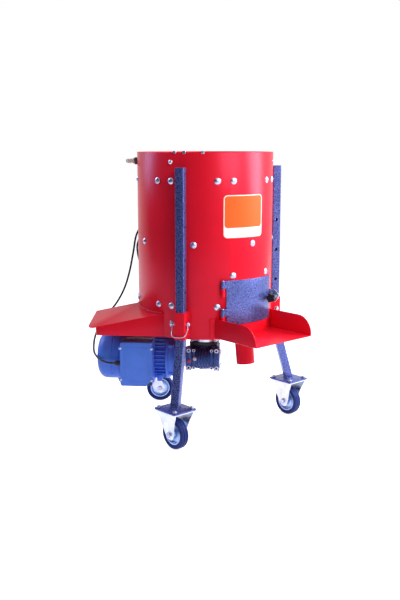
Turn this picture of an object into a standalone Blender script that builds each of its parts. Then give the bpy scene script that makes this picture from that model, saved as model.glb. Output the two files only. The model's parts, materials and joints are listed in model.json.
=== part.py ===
"""Walnut peeling machine: a steel drum on three legs with casters, driven from below by a worm gear motor.

Metres, +Z up, front of the machine at -Y. Azimuths are degrees from the front, positive towards +X.
"""
import math

import bmesh
import bpy
from mathutils import Matrix, Vector

# Clearances and helpers that every piece shares
GAP = 0.0003
OVERRUN = 0.004
FUSE = 0.0015
MERGE_DISTANCE = 0.0000002

# Drum
DRUM_RADIUS = 0.225
DRUM_WALL = 0.003
DRUM_BOTTOM = 0.337
DRUM_HEIGHT = 0.587
FLOOR_RISE = 0.004
FLOOR_THICKNESS = 0.003
DRUM_SEGMENTS_PER_LINER = 6

# Liner plates and their carriage bolts
LINER_COUNT = 7
LINER_THICKNESS = 0.002
LINER_BOLT_ANGLE = 19.0
LINER_TOP_DROP = 0.062
LINER_RISE = 0.087
LINER_OVER_DOOR_RISE = 0.006
BOLT_TOP_INSET = 0.026
BOLT_LOW_INSET = 0.018
BOLT_OVER_DOOR_RISE = 0.0145
BOLT_HEAD_RADIUS = 0.0103
BOLT_HEAD_HEIGHT = 0.0048
BOLT_SHANK_RADIUS = 0.004
BOLT_SIDES = 6
LINER_BOLT_SIDES = 7

# Spray ring, its three bolts and the water inlet
SPRAY_RADIUS = 0.206
SPRAY_PIPE_RADIUS = 0.008
SPRAY_DROP = 0.030
SPRAY_BOLT_AZIMUTH = -70.7
SPRAY_BOLT_HEAD_RADIUS = 0.007
SPRAY_SEGMENTS = 36
NOZZLE_RADIUS = 0.0022
NOZZLE_COUNT = 6
INLET_AZIMUTH = -134.0
INLET_TUBE_RADIUS = 0.0075
INLET_NUT_RADIUS = 0.0135
INLET_NUT_LENGTH = 0.009
INLET_NIPPLE_RADIUS = 0.008
INLET_NIPPLE_LENGTH = 0.028
INLET_BORE_RADIUS = 0.0045

# Door, its lift-off hinges and its latch
DOOR_LEFT = -25.0
DOOR_RIGHT = 26.4
DOOR_RISE = 0.046
DOOR_HEIGHT = 0.143
DOOR_THICKNESS = 0.003
DOOR_LAP_ANGLE = 3.6
DOOR_LAP = 0.012
DOOR_SEGMENTS = 9
HINGE_AZIMUTH = -28.4
HINGE_STAND_OFF = 0.009
KNUCKLE_RADIUS = 0.006
KNUCKLE_HEIGHT = 0.025
HINGE_PIN_RADIUS = 0.003
UPPER_HINGE_RISE = 0.093
LOWER_HINGE_RISE = 0.003
LATCH_AZIMUTH = 24.0
LATCH_RISE = 0.072
LATCH_REACH = 0.022
LUG_THICKNESS = 0.004
LUG_WIDTH = 0.0295
LUG_HEIGHT = 0.022
LUG_OFFSET = 0.003
BRACKET_OFFSET = 0.0125
BRACKET_THICKNESS = 0.003
BRACKET_REACH = 0.034
BRACKET_HEIGHT = 0.043
BRACKET_CHAMFER = 0.013
BRACKET_FOOT = 0.016
BRACKET_HOLE_RADIUS = 0.0035
KNOB_RADIUS = 0.0155
KNOB_LOBES = 5
KNOB_THICKNESS = 0.016
KNOB_OFFSET = -0.015
KNOB_STUD_RADIUS = 0.004

# Discharge tray
TRAY_HALF_WIDTH = 0.1275
TRAY_FRONT = 0.368
TRAY_SHEET = 0.002
TRAY_WALL_HEIGHT = 0.063
TRAY_UNDER_DRUM_RISE = 0.0045
TRAY_CORNER_RADIUS = 0.056
TRAY_FLANGE_ANGLE = 4.0

# Husk outlet tube
OUTLET_RADIUS = 0.030
OUTLET_WALL = 0.002
OUTLET_TOP_REACH = 0.187
OUTLET_SLOPE = 7.0
OUTLET_LENGTH = 0.100

# Disc, shaft and bearing housing
DISC_RADIUS = 0.214
DISC_THICKNESS = 0.006
DISC_RISE = 0.030
DISC_RIB_COUNT = 4
DISC_RIB_WIDTH = 0.012
DISC_RIB_HEIGHT = 0.010
SCRAPER_COUNT = 2
SCRAPER_THICKNESS = 0.005
SCRAPER_CLEARANCE = 0.006
SHAFT_RADIUS = 0.0125
SHAFT_FLANGE_RADIUS = 0.036
SHAFT_FLANGE_THICKNESS = 0.008
SHAFT_NUT_RADIUS = 0.019
SHAFT_NUT_HEIGHT = 0.014
HOUSING_RADIUS = 0.049
HOUSING_NECK_RADIUS = 0.038
HOUSING_NECK_RISE = 0.012
BEARING_RADIUS = 0.026
BEARING_HEIGHT = 0.015

# Gearbox
GEAR_AXIS_DROP = 0.101
GEARBOX_DROP = 0.0628
GEARBOX_HEIGHT = 0.0767
GEARBOX_HALF_LENGTH = 0.056
GEARBOX_WHEEL_RADIUS = 0.052
GEARBOX_CAVITY_RADIUS = 0.0435
GEARBOX_ROOF = 0.012
GEARBOX_RIB_COUNT = 2
GEARBOX_RIB_THICKNESS = 0.006
GEARBOX_RIB_PITCH = 0.016
GEARBOX_LUG = 0.018
BARREL_RADIUS = 0.033
BARREL_RIB_RADIUS = 0.0365
COVER_THICKNESS = 0.004
MOUNT_PLATE_HALF = 0.048
MOUNT_PLATE_THICKNESS = 0.0125
MOUNT_PLATE_BORE = 0.030
CENTRE_DISTANCE = 0.050
WHEEL_TEETH = 20
WORM_STARTS = 2
MODULE = 0.00375
TOOTH_CLEARANCE = 0.00045
WHEEL_WIDTH = 0.018
WORM_HALF_LENGTH = 0.023
WORM_STEPS_PER_TURN = 15

# Motor
MOTOR_AZIMUTH = -138.0
MOTOR_FLANGE_START = 0.0565
MOTOR_BODY_START = 0.122
MOTOR_BODY_END = 0.270
MOTOR_END = 0.356
MOTOR_CORE_RADIUS = 0.066
MOTOR_FIN_RADIUS = 0.0745
MOTOR_FIN_COUNT = 16
MOTOR_FIN_THICKNESS = 0.003
MOTOR_BORE_RADIUS = 0.037
ROTOR_CORE_RADIUS = 0.0360
MOTOR_SHAFT_RADIUS = 0.0095
SHIELD_FLANGE_RADIUS = 0.078
SHIELD_FLANGE_THICKNESS = 0.011
FAN_COVER_RADIUS = 0.079
FAN_COVER_SHEET = 0.0018
FAN_COVER_LAP = 0.006
FAN_COVER_ROUND = 0.030
FAN_COVER_HOLE = 0.006
FAN_GRILLE_SLOTS = 5
FAN_RADIUS = 0.062
FAN_BLADES = 6
FAN_WIDTH = 0.022
FAN_BLADE_SHEET = 0.003
TERMINAL_BOX_START = 0.1585
TERMINAL_BOX_LENGTH = 0.105
TERMINAL_BOX_HEIGHT = 0.148
TERMINAL_BOX_FACE = 0.166
TERMINAL_BOX_WALL = 0.003
TERMINAL_LID_THICKNESS = 0.006
TERMINAL_EAR_RADIUS = 0.0065
GLAND_RADIUS = 0.0095
GLAND_LENGTH = 0.026
GLAND_INSET = 0.014
GLAND_DROP = 0.002

# Hood over the motor
HOOD_HALF_WIDTH = 0.145
HOOD_SHEET = 0.002
HOOD_END = 0.341
HOOD_ROOF_END = 0.367
HOOD_CORNER_RADIUS = 0.018
HOOD_ROOF_CORNER_RADIUS = 0.030
HOOD_RIDGE_RISE = 0.134
HOOD_FALL_OUTWARD = 0.2232
HOOD_FALL_SIDEWAYS = 0.2125

# Legs, sockets and lock pins
LEG_AZIMUTHS = {"front_left": -60.0, "front_right": 60.0, "rear": 180.0}
LEG_TUBE = 0.028
LEG_WALL = 0.002
LEG_REACH = 0.246
LEG_TOP_DROP = 0.046
LEG_CLEARANCE = 0.0004
LEG_HOLE_PITCH = 0.102
LEG_HOLE_COUNT = 4
LEG_HOLE_SIDES = 7
FOOT_REACH = 0.304
FOOT_PLATE_LENGTH = 0.101
FOOT_PLATE_WIDTH = 0.093
FOOT_PLATE_THICKNESS = 0.005
SOCKET_WIDTH = 0.035
SOCKET_RISE = 0.005
SOCKET_HEIGHT = 0.087
LOCK_PIN_RISE = 0.048
LOCK_PIN_RADIUS = 0.005
LOCK_PIN_HEAD = 0.020
LOCK_PIN_TIP = 0.012
KEEPER_WIRE_RADIUS = 0.0015
KEEPER_EYE_RADIUS = 0.0072
KEEPER_DROP = 0.045
KEEPER_LEAN = 29.0

# Casters
WHEEL_RADIUS = 0.050
WHEEL_TREAD_WIDTH = 0.030
RIM_RADIUS = 0.0357
RIM_WIDTH = 0.025
RIM_HUB_RADIUS = 0.013
RIM_HUB_WIDTH = 0.034
AXLE_RADIUS = 0.005
AXLE_HEAD_RADIUS = 0.009
AXLE_HEAD_THICKNESS = 0.006
CASTER_HEIGHT = 0.1272
CASTER_SHEET = 0.003
CHEEK_HALF_GAP = 0.018
CHEEK_END_RADIUS = 0.018
CHEEK_WAIST_RISE = 0.60
CHEEK_WAIST_HALF_LENGTH = 0.027
FIXED_CHEEK_TOP_HALF_GAP = 0.037
CASTER_BOLT_INSET = 0.012
CASTER_BOLT_RADIUS = 0.004
CASTER_NUT_RADIUS = 0.0075
CASTER_NUT_HEIGHT = 0.006
SWIVEL_TRAIL = 0.036
SWIVEL_AZIMUTH = 47.8
SWIVEL_CROWN_RADIUS = 0.036
SWIVEL_CROWN_THICKNESS = 0.004
SWIVEL_RACE_HEIGHT = 0.008
KINGPIN_RADIUS = 0.006
WHEEL_SEGMENTS = 24
RIM_SEGMENTS = 14

# Switch box on the rear leg
SWITCH_WIDTH = 0.070
SWITCH_DEPTH = 0.055
SWITCH_HEIGHT = 0.110
SWITCH_BASE_DROP = 0.189
SWITCH_WALL = 0.003
SWITCH_KNOB_RADIUS = 0.019
SWITCH_KNOB_LENGTH = 0.018
SWITCH_SPINDLE_RADIUS = 0.004
SWITCH_GLAND_SPREAD = 0.021

# Cords
CORD_DIAMETER = 0.007
CORD_POINT_STEP_DIAMETERS = 2.9
MOTOR_LEAD_ROUTE = [
    (-0.0420, 0.2960, 0.6600), (-0.0620, 0.2990, 0.6280), (-0.0780, 0.2975, 0.5680),
    (-0.0978, 0.2954, 0.5000), (-0.1158, 0.3035, 0.4400), (-0.1388, 0.3231, 0.3850),
    (-0.1685, 0.3381, 0.3470), (-0.2082, 0.3239, 0.3200), (-0.2563, 0.2846, 0.2980),
    (-0.2922, 0.2469, 0.2740), (-0.3208, 0.2009, 0.2520), (-0.3268, 0.1552, 0.2390),
    (-0.3202, 0.1315, 0.2350),
]
SUPPLY_LEAD_ROUTE = [
    (0.005, 0.3025, 0.656), (-0.021, 0.3235, 0.622), (-0.031, 0.3340, 0.588), (-0.027, 0.3380, 0.556),
    (-0.014, 0.3430, 0.520), (0.006, 0.3620, 0.450), (0.022, 0.3920, 0.360), (0.022, 0.4280, 0.260),
    (0.006, 0.4620, 0.165), (-0.008, 0.4860, 0.092), (-0.002, 0.5020, 0.040), (0.024, 0.5095, 0.0130),
    (0.058, 0.5100, 0.0046),
]
COIL_CENTRE = (0.128, 0.560)
COIL_OUTER_RADIUS = 0.052
COIL_TURN_PITCH = 0.0080
COIL_LAYER_RISE = 0.0080
COIL_TURNS_PER_LAYER = 2
COIL_START_AZIMUTH = -90.0
COIL_POINTS_PER_LOOP = 24
PLUG_RADIUS = 0.0185
PLUG_BODY_LENGTH = 0.036
PLUG_RELIEF_LENGTH = 0.028
PLUG_PIN_RADIUS = 0.0024
PLUG_PIN_LENGTH = 0.019
PLUG_PIN_SPACING = 0.019
PLUG_LEAD_IN = 0.050

# Values worked out from the sizes above
DRUM_TOP = DRUM_BOTTOM + DRUM_HEIGHT
DRUM_BORE = DRUM_RADIUS - DRUM_WALL
LINER_TOP = DRUM_TOP - LINER_TOP_DROP
LINER_BOTTOM = DRUM_BOTTOM + LINER_RISE
DOOR_BOTTOM = DRUM_BOTTOM + DOOR_RISE
DOOR_TOP = DOOR_BOTTOM + DOOR_HEIGHT
LINER_OVER_DOOR = DOOR_TOP + LINER_OVER_DOOR_RISE
BOLT_TOP = LINER_TOP - BOLT_TOP_INSET
BOLT_LOW = LINER_BOTTOM + BOLT_LOW_INSET
BOLT_OVER_DOOR = DOOR_TOP + BOLT_OVER_DOOR_RISE
SPRAY_HEIGHT = DRUM_TOP - SPRAY_DROP
LATCH_HEIGHT = DOOR_BOTTOM + LATCH_RISE
UPPER_HINGE_BASE = DOOR_BOTTOM + UPPER_HINGE_RISE
LOWER_HINGE_BASE = DOOR_BOTTOM + LOWER_HINGE_RISE
GEAR_AXIS_HEIGHT = DRUM_BOTTOM - GEAR_AXIS_DROP
GEARBOX_TOP = DRUM_BOTTOM - GEARBOX_DROP
GEARBOX_BOTTOM = GEARBOX_TOP - GEARBOX_HEIGHT
HOOD_RIDGE_HEIGHT = DRUM_BOTTOM + HOOD_RIDGE_RISE
HOOD_SKIRT_BOTTOM = DRUM_BOTTOM
SOCKET_BOTTOM = DRUM_BOTTOM + SOCKET_RISE
SOCKET_TOP = SOCKET_BOTTOM + SOCKET_HEIGHT
LOCK_PIN_HEIGHT = SOCKET_BOTTOM + LOCK_PIN_RISE
LEG_TOP = DRUM_TOP - LEG_TOP_DROP
SWITCH_BASE = DRUM_TOP - SWITCH_BASE_DROP
FLOOR_BASE = DRUM_BOTTOM + FLOOR_RISE
FLOOR_TOP = FLOOR_BASE + FLOOR_THICKNESS
DISC_BASE = FLOOR_TOP + DISC_RISE
DRUM_SEGMENTS = LINER_COUNT * DRUM_SEGMENTS_PER_LINER
DRUM_PHASE = (-DRUM_SEGMENTS / 4 - 0.5) % 1
LINER_HALF_ANGLE = 180 / DRUM_SEGMENTS * (DRUM_SEGMENTS_PER_LINER - 1)
HINGE_REACH = DRUM_RADIUS + HINGE_STAND_OFF
SOCKET_OUTER = LEG_REACH + SOCKET_WIDTH / 2
MOUNT_PLATE_BASE = GEARBOX_TOP + GAP
MOUNT_PLATE_TOP = MOUNT_PLATE_BASE + MOUNT_PLATE_THICKNESS
PITCH = math.pi * MODULE
WHEEL_PITCH_RADIUS = MODULE * WHEEL_TEETH / 2
WORM_PITCH_RADIUS = CENTRE_DISTANCE - WHEEL_PITCH_RADIUS
FOOT_TOP = CASTER_HEIGHT + GAP + FOOT_PLATE_THICKNESS
SWITCH_BACK = LEG_REACH + LEG_TUBE / 2 + GAP
CORD_RADIUS = CORD_DIAMETER / 2
SWIVEL_PLATE_UNDERSIDE = CASTER_HEIGHT - CASTER_SHEET
SWIVEL_CROWN_TOP = SWIVEL_PLATE_UNDERSIDE - GAP
CHEEK_BOTTOM = WHEEL_RADIUS - CHEEK_END_RADIUS


def clear_scene():
    """Remove whatever the scene holds."""
    for item in list(bpy.data.objects):
        bpy.data.objects.remove(item, do_unlink=True)


MATERIALS = {}


def material(name, colour, roughness, metallic):
    """A Principled material, kept by name."""
    shader = bpy.data.materials.new(name)
    shader.use_nodes = True
    node = shader.node_tree.nodes["Principled BSDF"]
    node.inputs["Base Color"].default_value = (*colour, 1)
    node.inputs["Roughness"].default_value = roughness
    node.inputs["Metallic"].default_value = metallic
    shader.diffuse_color = (*colour, 1)
    MATERIALS[name] = shader


def make_materials():
    """The machine's finishes, with their colours from the photograph."""
    material("red_paint", (0.62, 0.012, 0.022), 0.28, 0.0)
    material("hammered_paint", (0.10, 0.13, 0.24), 0.45, 0.3)
    material("zinc", (0.62, 0.66, 0.76), 0.32, 1.0)
    material("steel", (0.55, 0.55, 0.57), 0.38, 1.0)
    material("motor_paint", (0.07, 0.17, 0.50), 0.45, 0.1)
    material("gearbox_casting", (0.10, 0.12, 0.20), 0.5, 0.6)
    material("black_plastic", (0.02, 0.02, 0.025), 0.4, 0.0)
    material("black_rubber", (0.02, 0.022, 0.03), 0.75, 0.0)
    material("blue_rim", (0.35, 0.47, 0.78), 0.35, 0.8)
    material("bronze", (0.55, 0.33, 0.12), 0.35, 1.0)
    material("pale_plastic", (0.75, 0.73, 0.68), 0.4, 0.0)


def turn_z(degrees):
    """Turn about the drum axis."""
    return Matrix.Rotation(math.radians(degrees), 4, "Z")


def shift(x, y, z):
    """A move by x, y and z."""
    return Matrix.Translation((x, y, z))


def polar(radius, azimuth, height):
    """The point at a radius and azimuth round the drum axis."""
    angle = math.radians(azimuth)
    return Vector((radius * math.sin(angle), -radius * math.cos(angle), height))


X_AXIS = Matrix(((0, 0, 1, 0), (1, 0, 0, 0), (0, 1, 0, 0), (0, 0, 0, 1)))
MINUS_Y_AXIS = Matrix(((1, 0, 0, 0), (0, 0, -1, 0), (0, 1, 0, 0), (0, 0, 0, 1)))


def solid(faces_from):
    """A bmesh made by a function that fills it, cleaned up."""
    mesh = bmesh.new()
    faces_from(mesh)
    bmesh.ops.recalc_face_normals(mesh, faces=mesh.faces[:])
    return mesh


def lathe(profile, segments, place=None, phase=0):
    """A turned solid from (radius, height) points that run round its half section; radius 0 closes a pole."""
    def fill(mesh):
        rings = []
        for index, (radius, height) in enumerate(profile):
            if radius == 0:
                beside = profile[1] if index == 0 else profile[index - 1]
                if index in (0, len(profile) - 1) and beside[1] == height:
                    continue
                rings.append([mesh.verts.new((0, 0, height))])
                continue
            ring = []
            for index in range(segments):
                angle = 2 * math.pi * (index + phase) / segments
                ring.append(mesh.verts.new((radius * math.cos(angle), radius * math.sin(angle), height)))
            rings.append(ring)
        closed = profile[0][0] > 0 and profile[-1][0] > 0
        pairs = list(zip(rings, rings[1:])) + ([(rings[-1], rings[0])] if closed else [])
        for cap in (rings[0], rings[-1]):
            if not closed and len(cap) > 2:
                mesh.faces.new(cap)
        for low, high in pairs:
            for index in range(segments):
                after = (index + 1) % segments
                corners = [low[index % len(low)], low[after % len(low)], high[after % len(high)], high[index % len(high)]]
                unique = list(dict.fromkeys(corners))
                if len(unique) > 2:
                    mesh.faces.new(unique)
    mesh = solid(fill)
    if place is not None:
        mesh.transform(place)
    return mesh


def rod(radius, start, end, segments, place=None, phase=0):
    """A round bar along Z."""
    return lathe([(0, start), (radius, start), (radius, end), (0, end)], segments, place, phase)


def ring(outer, inner, start, end, segments, place=None, phase=0):
    """A round tube along Z."""
    return lathe([(outer, start), (outer, end), (inner, end), (inner, start)], segments, place, phase)


def clear_bore(radius, sides):
    """The corner radius of a many-sided bore whose flats stay clear of a shaft."""
    return (radius + GAP) / math.cos(math.pi / sides)


def bore(radius, start, end, sides, place=None):
    """The cutter of a bore that is clear of a shaft of this radius."""
    return rod(clear_bore(radius, sides), start, end, sides, place)


def drum_plug(radius, start, end):
    """A solid as round as the drum, with its flats lined up with the drum's own."""
    return rod(radius, start, end, DRUM_SEGMENTS, None, DRUM_PHASE)


def prism(outline, start, end, place=None):
    """A flat outline of (x, y) points, from one height to another."""
    def fill(mesh):
        low = [mesh.verts.new((x, y, start)) for x, y in outline]
        high = [mesh.verts.new((x, y, end)) for x, y in outline]
        mesh.faces.new(low)
        mesh.faces.new(high)
        count = len(outline)
        for index in range(count):
            after = (index + 1) % count
            mesh.faces.new([low[index], low[after], high[after], high[index]])
    mesh = solid(fill)
    if place is not None:
        mesh.transform(place)
    return mesh


def block(low, high, place=None):
    """A box between two corners."""
    outline = [(low[0], low[1]), (high[0], low[1]), (high[0], high[1]), (low[0], high[1])]
    return prism(outline, low[2], high[2], place)


def arc(centre, radius, start, end, steps):
    """Points of a round stretch of an outline; angles in degrees."""
    points = []
    for index in range(steps + 1):
        angle = math.radians(start + (end - start) * index / steps)
        points.append((centre[0] + radius * math.cos(angle), centre[1] + radius * math.sin(angle)))
    return points


def rounded_rectangle(low, high, radius, steps):
    """The outline of a rectangle with round corners."""
    corners = [
        ((high[0] - radius, high[1] - radius), 0),
        ((low[0] + radius, high[1] - radius), 90),
        ((low[0] + radius, low[1] + radius), 180),
        ((high[0] - radius, low[1] + radius), 270),
    ]
    points = []
    for centre, start in corners:
        points.extend(arc(centre, radius, start, start + 90, steps))
    return points


def shell_sector(inner, outer, left, right, bottom, top, steps):
    """A curved plate round the drum axis, between two azimuths."""
    outline = []
    for index in range(steps + 1):
        point = polar(outer, left + (right - left) * index / steps, 0)
        outline.append((point.x, point.y))
    for index in range(steps + 1):
        point = polar(inner, right + (left - right) * index / steps, 0)
        outline.append((point.x, point.y))
    return prism(outline, bottom, top)


def combine(base, tool, operation):
    """The exact Boolean of two bmeshes; both are used up."""
    objects = []
    for source in (base, tool):
        data = bpy.data.meshes.new("operand")
        source.to_mesh(data)
        source.free()
        item = bpy.data.objects.new("operand", data)
        bpy.context.scene.collection.objects.link(item)
        objects.append(item)
    modifier = objects[0].modifiers.new("combine", "BOOLEAN")
    modifier.operation = operation
    modifier.solver = "EXACT"
    modifier.object = objects[1]
    graph = bpy.context.evaluated_depsgraph_get()
    result = bmesh.new()
    result.from_mesh(objects[0].evaluated_get(graph).to_mesh())
    for item in objects:
        data = item.data
        bpy.data.objects.remove(item, do_unlink=True)
        bpy.data.meshes.remove(data)
    return result


def union(first, *others):
    """Join solids that run into each other."""
    for other in others:
        first = combine(first, other, "UNION")
    return first


def cut(base, *tools):
    """Take tools away from a solid."""
    for tool in tools:
        base = combine(base, tool, "DIFFERENCE")
    return base


def loose(*parts):
    """Put apart solids into one bmesh, to cut with all of them at once."""
    merged = bmesh.new()
    for part in parts:
        data = bpy.data.meshes.new("loose")
        part.to_mesh(data)
        part.free()
        merged.from_mesh(data)
        bpy.data.meshes.remove(data)
    return merged


ROOT = None


def piece(name, mesh, finish, origin=None, parent=None, smooth_angle=35):
    """An object from a bmesh in world space, with its origin at a joint or at its own middle."""
    bmesh.ops.remove_doubles(mesh, verts=mesh.verts[:], dist=MERGE_DISTANCE)
    low = Vector([min(v.co[i] for v in mesh.verts) for i in range(3)])
    high = Vector([max(v.co[i] for v in mesh.verts) for i in range(3)])
    place = Vector(origin) if origin is not None else (low + high) / 2
    mesh.transform(Matrix.Translation(-place))
    data = bpy.data.meshes.new(name)
    mesh.to_mesh(data)
    mesh.free()
    data.shade_smooth()
    data.set_sharp_from_angle(angle=math.radians(smooth_angle))
    data.materials.append(MATERIALS[finish])
    item = bpy.data.objects.new(name, data)
    bpy.context.scene.collection.objects.link(item)
    carrier = parent if parent is not None else ROOT
    item.parent = carrier
    item.location = place - carrier_place(carrier)
    return item


def carrier_place(item):
    """Where an empty or object stands in the machine's own frame."""
    place = Vector((0, 0, 0))
    while item is not None and item is not ROOT:
        place += item.location
        item = item.parent
    return place


def joint_empty(name, place, parent=None):
    """An empty on a joint's axis, which carries the pieces that move with it."""
    item = bpy.data.objects.new(name, None)
    bpy.context.scene.collection.objects.link(item)
    carrier = parent if parent is not None else ROOT
    item.parent = carrier
    item.location = Vector(place) - carrier_place(carrier)
    return item


def smooth_route(points, step):
    """Points at an even step along a Catmull-Rom curve through a route's own points."""
    knots = [Vector(point) for point in points]
    knots = [2 * knots[0] - knots[1]] + knots + [2 * knots[-1] - knots[-2]]
    fine = []
    for a, b, c, d in zip(knots, knots[1:], knots[2:], knots[3:]):
        spans = [math.sqrt((q - p).length) for p, q in ((a, b), (b, c), (c, d))]
        t0, t1 = 0, spans[0]
        t2 = t1 + spans[1]
        t3 = t2 + spans[2]
        for index in range(24):
            t = t1 + (t2 - t1) * index / 24
            p1 = a * ((t1 - t) / (t1 - t0)) + b * ((t - t0) / (t1 - t0))
            p2 = b * ((t2 - t) / (t2 - t1)) + c * ((t - t1) / (t2 - t1))
            p3 = c * ((t3 - t) / (t3 - t2)) + d * ((t - t2) / (t3 - t2))
            q1 = p1 * ((t2 - t) / (t2 - t0)) + p2 * ((t - t0) / (t2 - t0))
            q2 = p2 * ((t3 - t) / (t3 - t1)) + p3 * ((t - t1) / (t3 - t1))
            fine.append(q1 * ((t2 - t) / (t2 - t1)) + q2 * ((t - t1) / (t2 - t1)))
    fine.append(knots[-2])
    lengths = [0]
    for p, q in zip(fine, fine[1:]):
        lengths.append(lengths[-1] + (q - p).length)
    count = max(4, round(lengths[-1] / step))
    even = []
    index = 0
    for number in range(count + 1):
        want = lengths[-1] * number / count
        while index < len(fine) - 2 and lengths[index + 1] < want:
            index += 1
        share = (want - lengths[index]) / (lengths[index + 1] - lengths[index])
        even.append(fine[index].lerp(fine[index + 1], share))
    # The first and last stretches leave their glands squarely
    even[1] = even[0] + (knots[2] - knots[1]).normalized() * (even[1] - even[0]).length
    even[-2] = even[-1] + (knots[-3] - knots[-2]).normalized() * (even[-2] - even[-1]).length
    return even


def route_length(points):
    """The length of a line through points."""
    return sum((q - p).length for p, q in zip(points, points[1:]))


def cord_object(name, points, finish, resolution=2):
    """A cord as a curve with a round bevel and filled caps."""
    data = bpy.data.curves.new(name, "CURVE")
    data.dimensions = "3D"
    data.resolution_u = 1
    data.render_resolution_u = 0
    data.bevel_depth = CORD_RADIUS
    data.bevel_resolution = resolution
    data.use_fill_caps = True
    spline = data.splines.new("POLY")
    spline.points.add(len(points) - 1)
    for slot, point in zip(spline.points, points):
        slot.co = (*point, 1)
    data.materials.append(MATERIALS[finish])
    item = bpy.data.objects.new(name, data)
    bpy.context.scene.collection.objects.link(item)
    item.parent = ROOT
    return item


def wire(points, radius, sides):
    """A bent wire as a closed tube through points."""
    def fill(mesh):
        rings = []
        side = None
        for index, point in enumerate(points):
            ahead = points[min(index + 1, len(points) - 1)] - points[max(index - 1, 0)]
            ahead = ahead.normalized()
            if side is None:
                side = ahead.orthogonal().normalized()
            side = (side - ahead * side.dot(ahead)).normalized()
            other = ahead.cross(side)
            ring_verts = []
            for number in range(sides):
                angle = 2 * math.pi * number / sides
                ring_verts.append(mesh.verts.new(point + radius * (math.cos(angle) * side + math.sin(angle) * other)))
            rings.append(ring_verts)
        for low, high in zip(rings, rings[1:]):
            for number in range(sides):
                after = (number + 1) % sides
                mesh.faces.new([low[number], low[after], high[after], high[number]])
        mesh.faces.new(rings[0])
        mesh.faces.new(rings[-1])
    return solid(fill)


def bolt_profile(radius, height, base, shank, depth):
    """The half section of a domed bolt: shank inside, head outside, along +Z."""
    return [
        (0, base - depth), (shank, base - depth), (shank, base), (radius, base), (radius * 0.75, base + height * 0.7),
        (0, base + height),
    ]


def bolt_head_profile(radius, height, base):
    """The half section of a domed head that is sunk a little into its wall."""
    return [(0, base - FUSE), (radius, base - FUSE), (radius, base + height * 0.2), (radius * 0.7, base + height * 0.8),
            (0, base + height)]


def radial_place(azimuth, height):
    """A frame whose +Z runs outward from the drum axis at an azimuth and height."""
    return turn_z(azimuth) @ shift(0, 0, height) @ MINUS_Y_AXIS


def liner_centres():
    """Azimuths of the liner plates, the first over the door."""
    return [360 * index / LINER_COUNT for index in range(LINER_COUNT)]


def liner_bolts(azimuth):
    """Azimuth and height of each of a liner plate's five bolts."""
    low = BOLT_OVER_DOOR if azimuth == 0 else BOLT_LOW
    spots = [(azimuth, (BOLT_TOP + BOLT_LOW) / 2)]
    for side in (-1, 1):
        for height in (BOLT_TOP, low):
            spots.append((azimuth + side * LINER_BOLT_ANGLE, height))
    return spots


def spray_azimuths():
    """Azimuths of the spray ring's bolts."""
    return [SPRAY_BOLT_AZIMUTH + 120 * index for index in range(3)]


def make_drum_shell():
    """The drum wall with its leg sockets, hinge knuckles, door opening and bolt holes."""
    wall = ring(DRUM_RADIUS, DRUM_BORE, DRUM_BOTTOM, DRUM_TOP, DRUM_SEGMENTS, None, DRUM_PHASE)
    root = DRUM_RADIUS - FUSE
    half = SOCKET_WIDTH / 2
    for azimuth in LEG_AZIMUTHS.values():
        wall = union(wall, block((-half, -SOCKET_OUTER, SOCKET_BOTTOM), (half, -root, SOCKET_TOP), turn_z(azimuth)))
    for base in (UPPER_HINGE_BASE, LOWER_HINGE_BASE):
        place = turn_z(HINGE_AZIMUTH)
        web = block((-KNUCKLE_RADIUS / 2, -HINGE_REACH, base), (KNUCKLE_RADIUS / 2, -root, base + KNUCKLE_HEIGHT), place)
        seat = place @ shift(0, -HINGE_REACH, 0)
        pin_top = base + KNUCKLE_HEIGHT + KNUCKLE_HEIGHT * 0.8
        knuckle = lathe([
            (0, base), (KNUCKLE_RADIUS, base), (KNUCKLE_RADIUS, base + KNUCKLE_HEIGHT),
            (HINGE_PIN_RADIUS, base + KNUCKLE_HEIGHT), (HINGE_PIN_RADIUS, pin_top), (0, pin_top),
        ], 10, seat)
        wall = union(wall, union(web, knuckle))
    cutters = []
    inside = LEG_TUBE / 2 + LEG_CLEARANCE
    reach = SOCKET_WIDTH + OVERRUN
    for azimuth in LEG_AZIMUTHS.values():
        place = turn_z(azimuth) @ shift(0, -LEG_REACH, 0)
        tunnel = block((-inside, -inside, SOCKET_BOTTOM - OVERRUN), (inside, inside, SOCKET_TOP + OVERRUN), place)
        pin_hole = bore(LOCK_PIN_RADIUS, -reach, reach, LEG_HOLE_SIDES, place @ shift(0, 0, LOCK_PIN_HEIGHT) @ X_AXIS)
        wall = cut(wall, tunnel)
        wall = cut(wall, pin_hole)
    heads = []
    for azimuth in liner_centres():
        for spot, height in liner_bolts(azimuth):
            place = radial_place(spot, height)
            profile = bolt_head_profile(BOLT_HEAD_RADIUS, BOLT_HEAD_HEIGHT, DRUM_RADIUS)
            heads.append(lathe(profile, LINER_BOLT_SIDES, place))
    wall = union(wall, loose(*heads))
    for azimuth in spray_azimuths():
        cutters.append(bore(BOLT_SHANK_RADIUS, DRUM_BORE - OVERRUN, DRUM_RADIUS + OVERRUN, BOLT_SIDES,
                            radial_place(azimuth, SPRAY_HEIGHT)))
    cutters.append(bore(INLET_TUBE_RADIUS, DRUM_BORE - OVERRUN, DRUM_RADIUS + OVERRUN, 10,
                        radial_place(INLET_AZIMUTH, SPRAY_HEIGHT)))
    cutters.append(shell_sector(DRUM_BORE - OVERRUN, DRUM_RADIUS + OVERRUN, DOOR_LEFT + DOOR_LAP_ANGLE,
                                DOOR_RIGHT - DOOR_LAP_ANGLE, DOOR_BOTTOM + DOOR_LAP, DOOR_TOP - DOOR_LAP,
                                DOOR_SEGMENTS))
    wall = cut(wall, loose(*cutters))
    piece("drum_shell", wall, "red_paint", origin=(0, 0, DRUM_BOTTOM))


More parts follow.
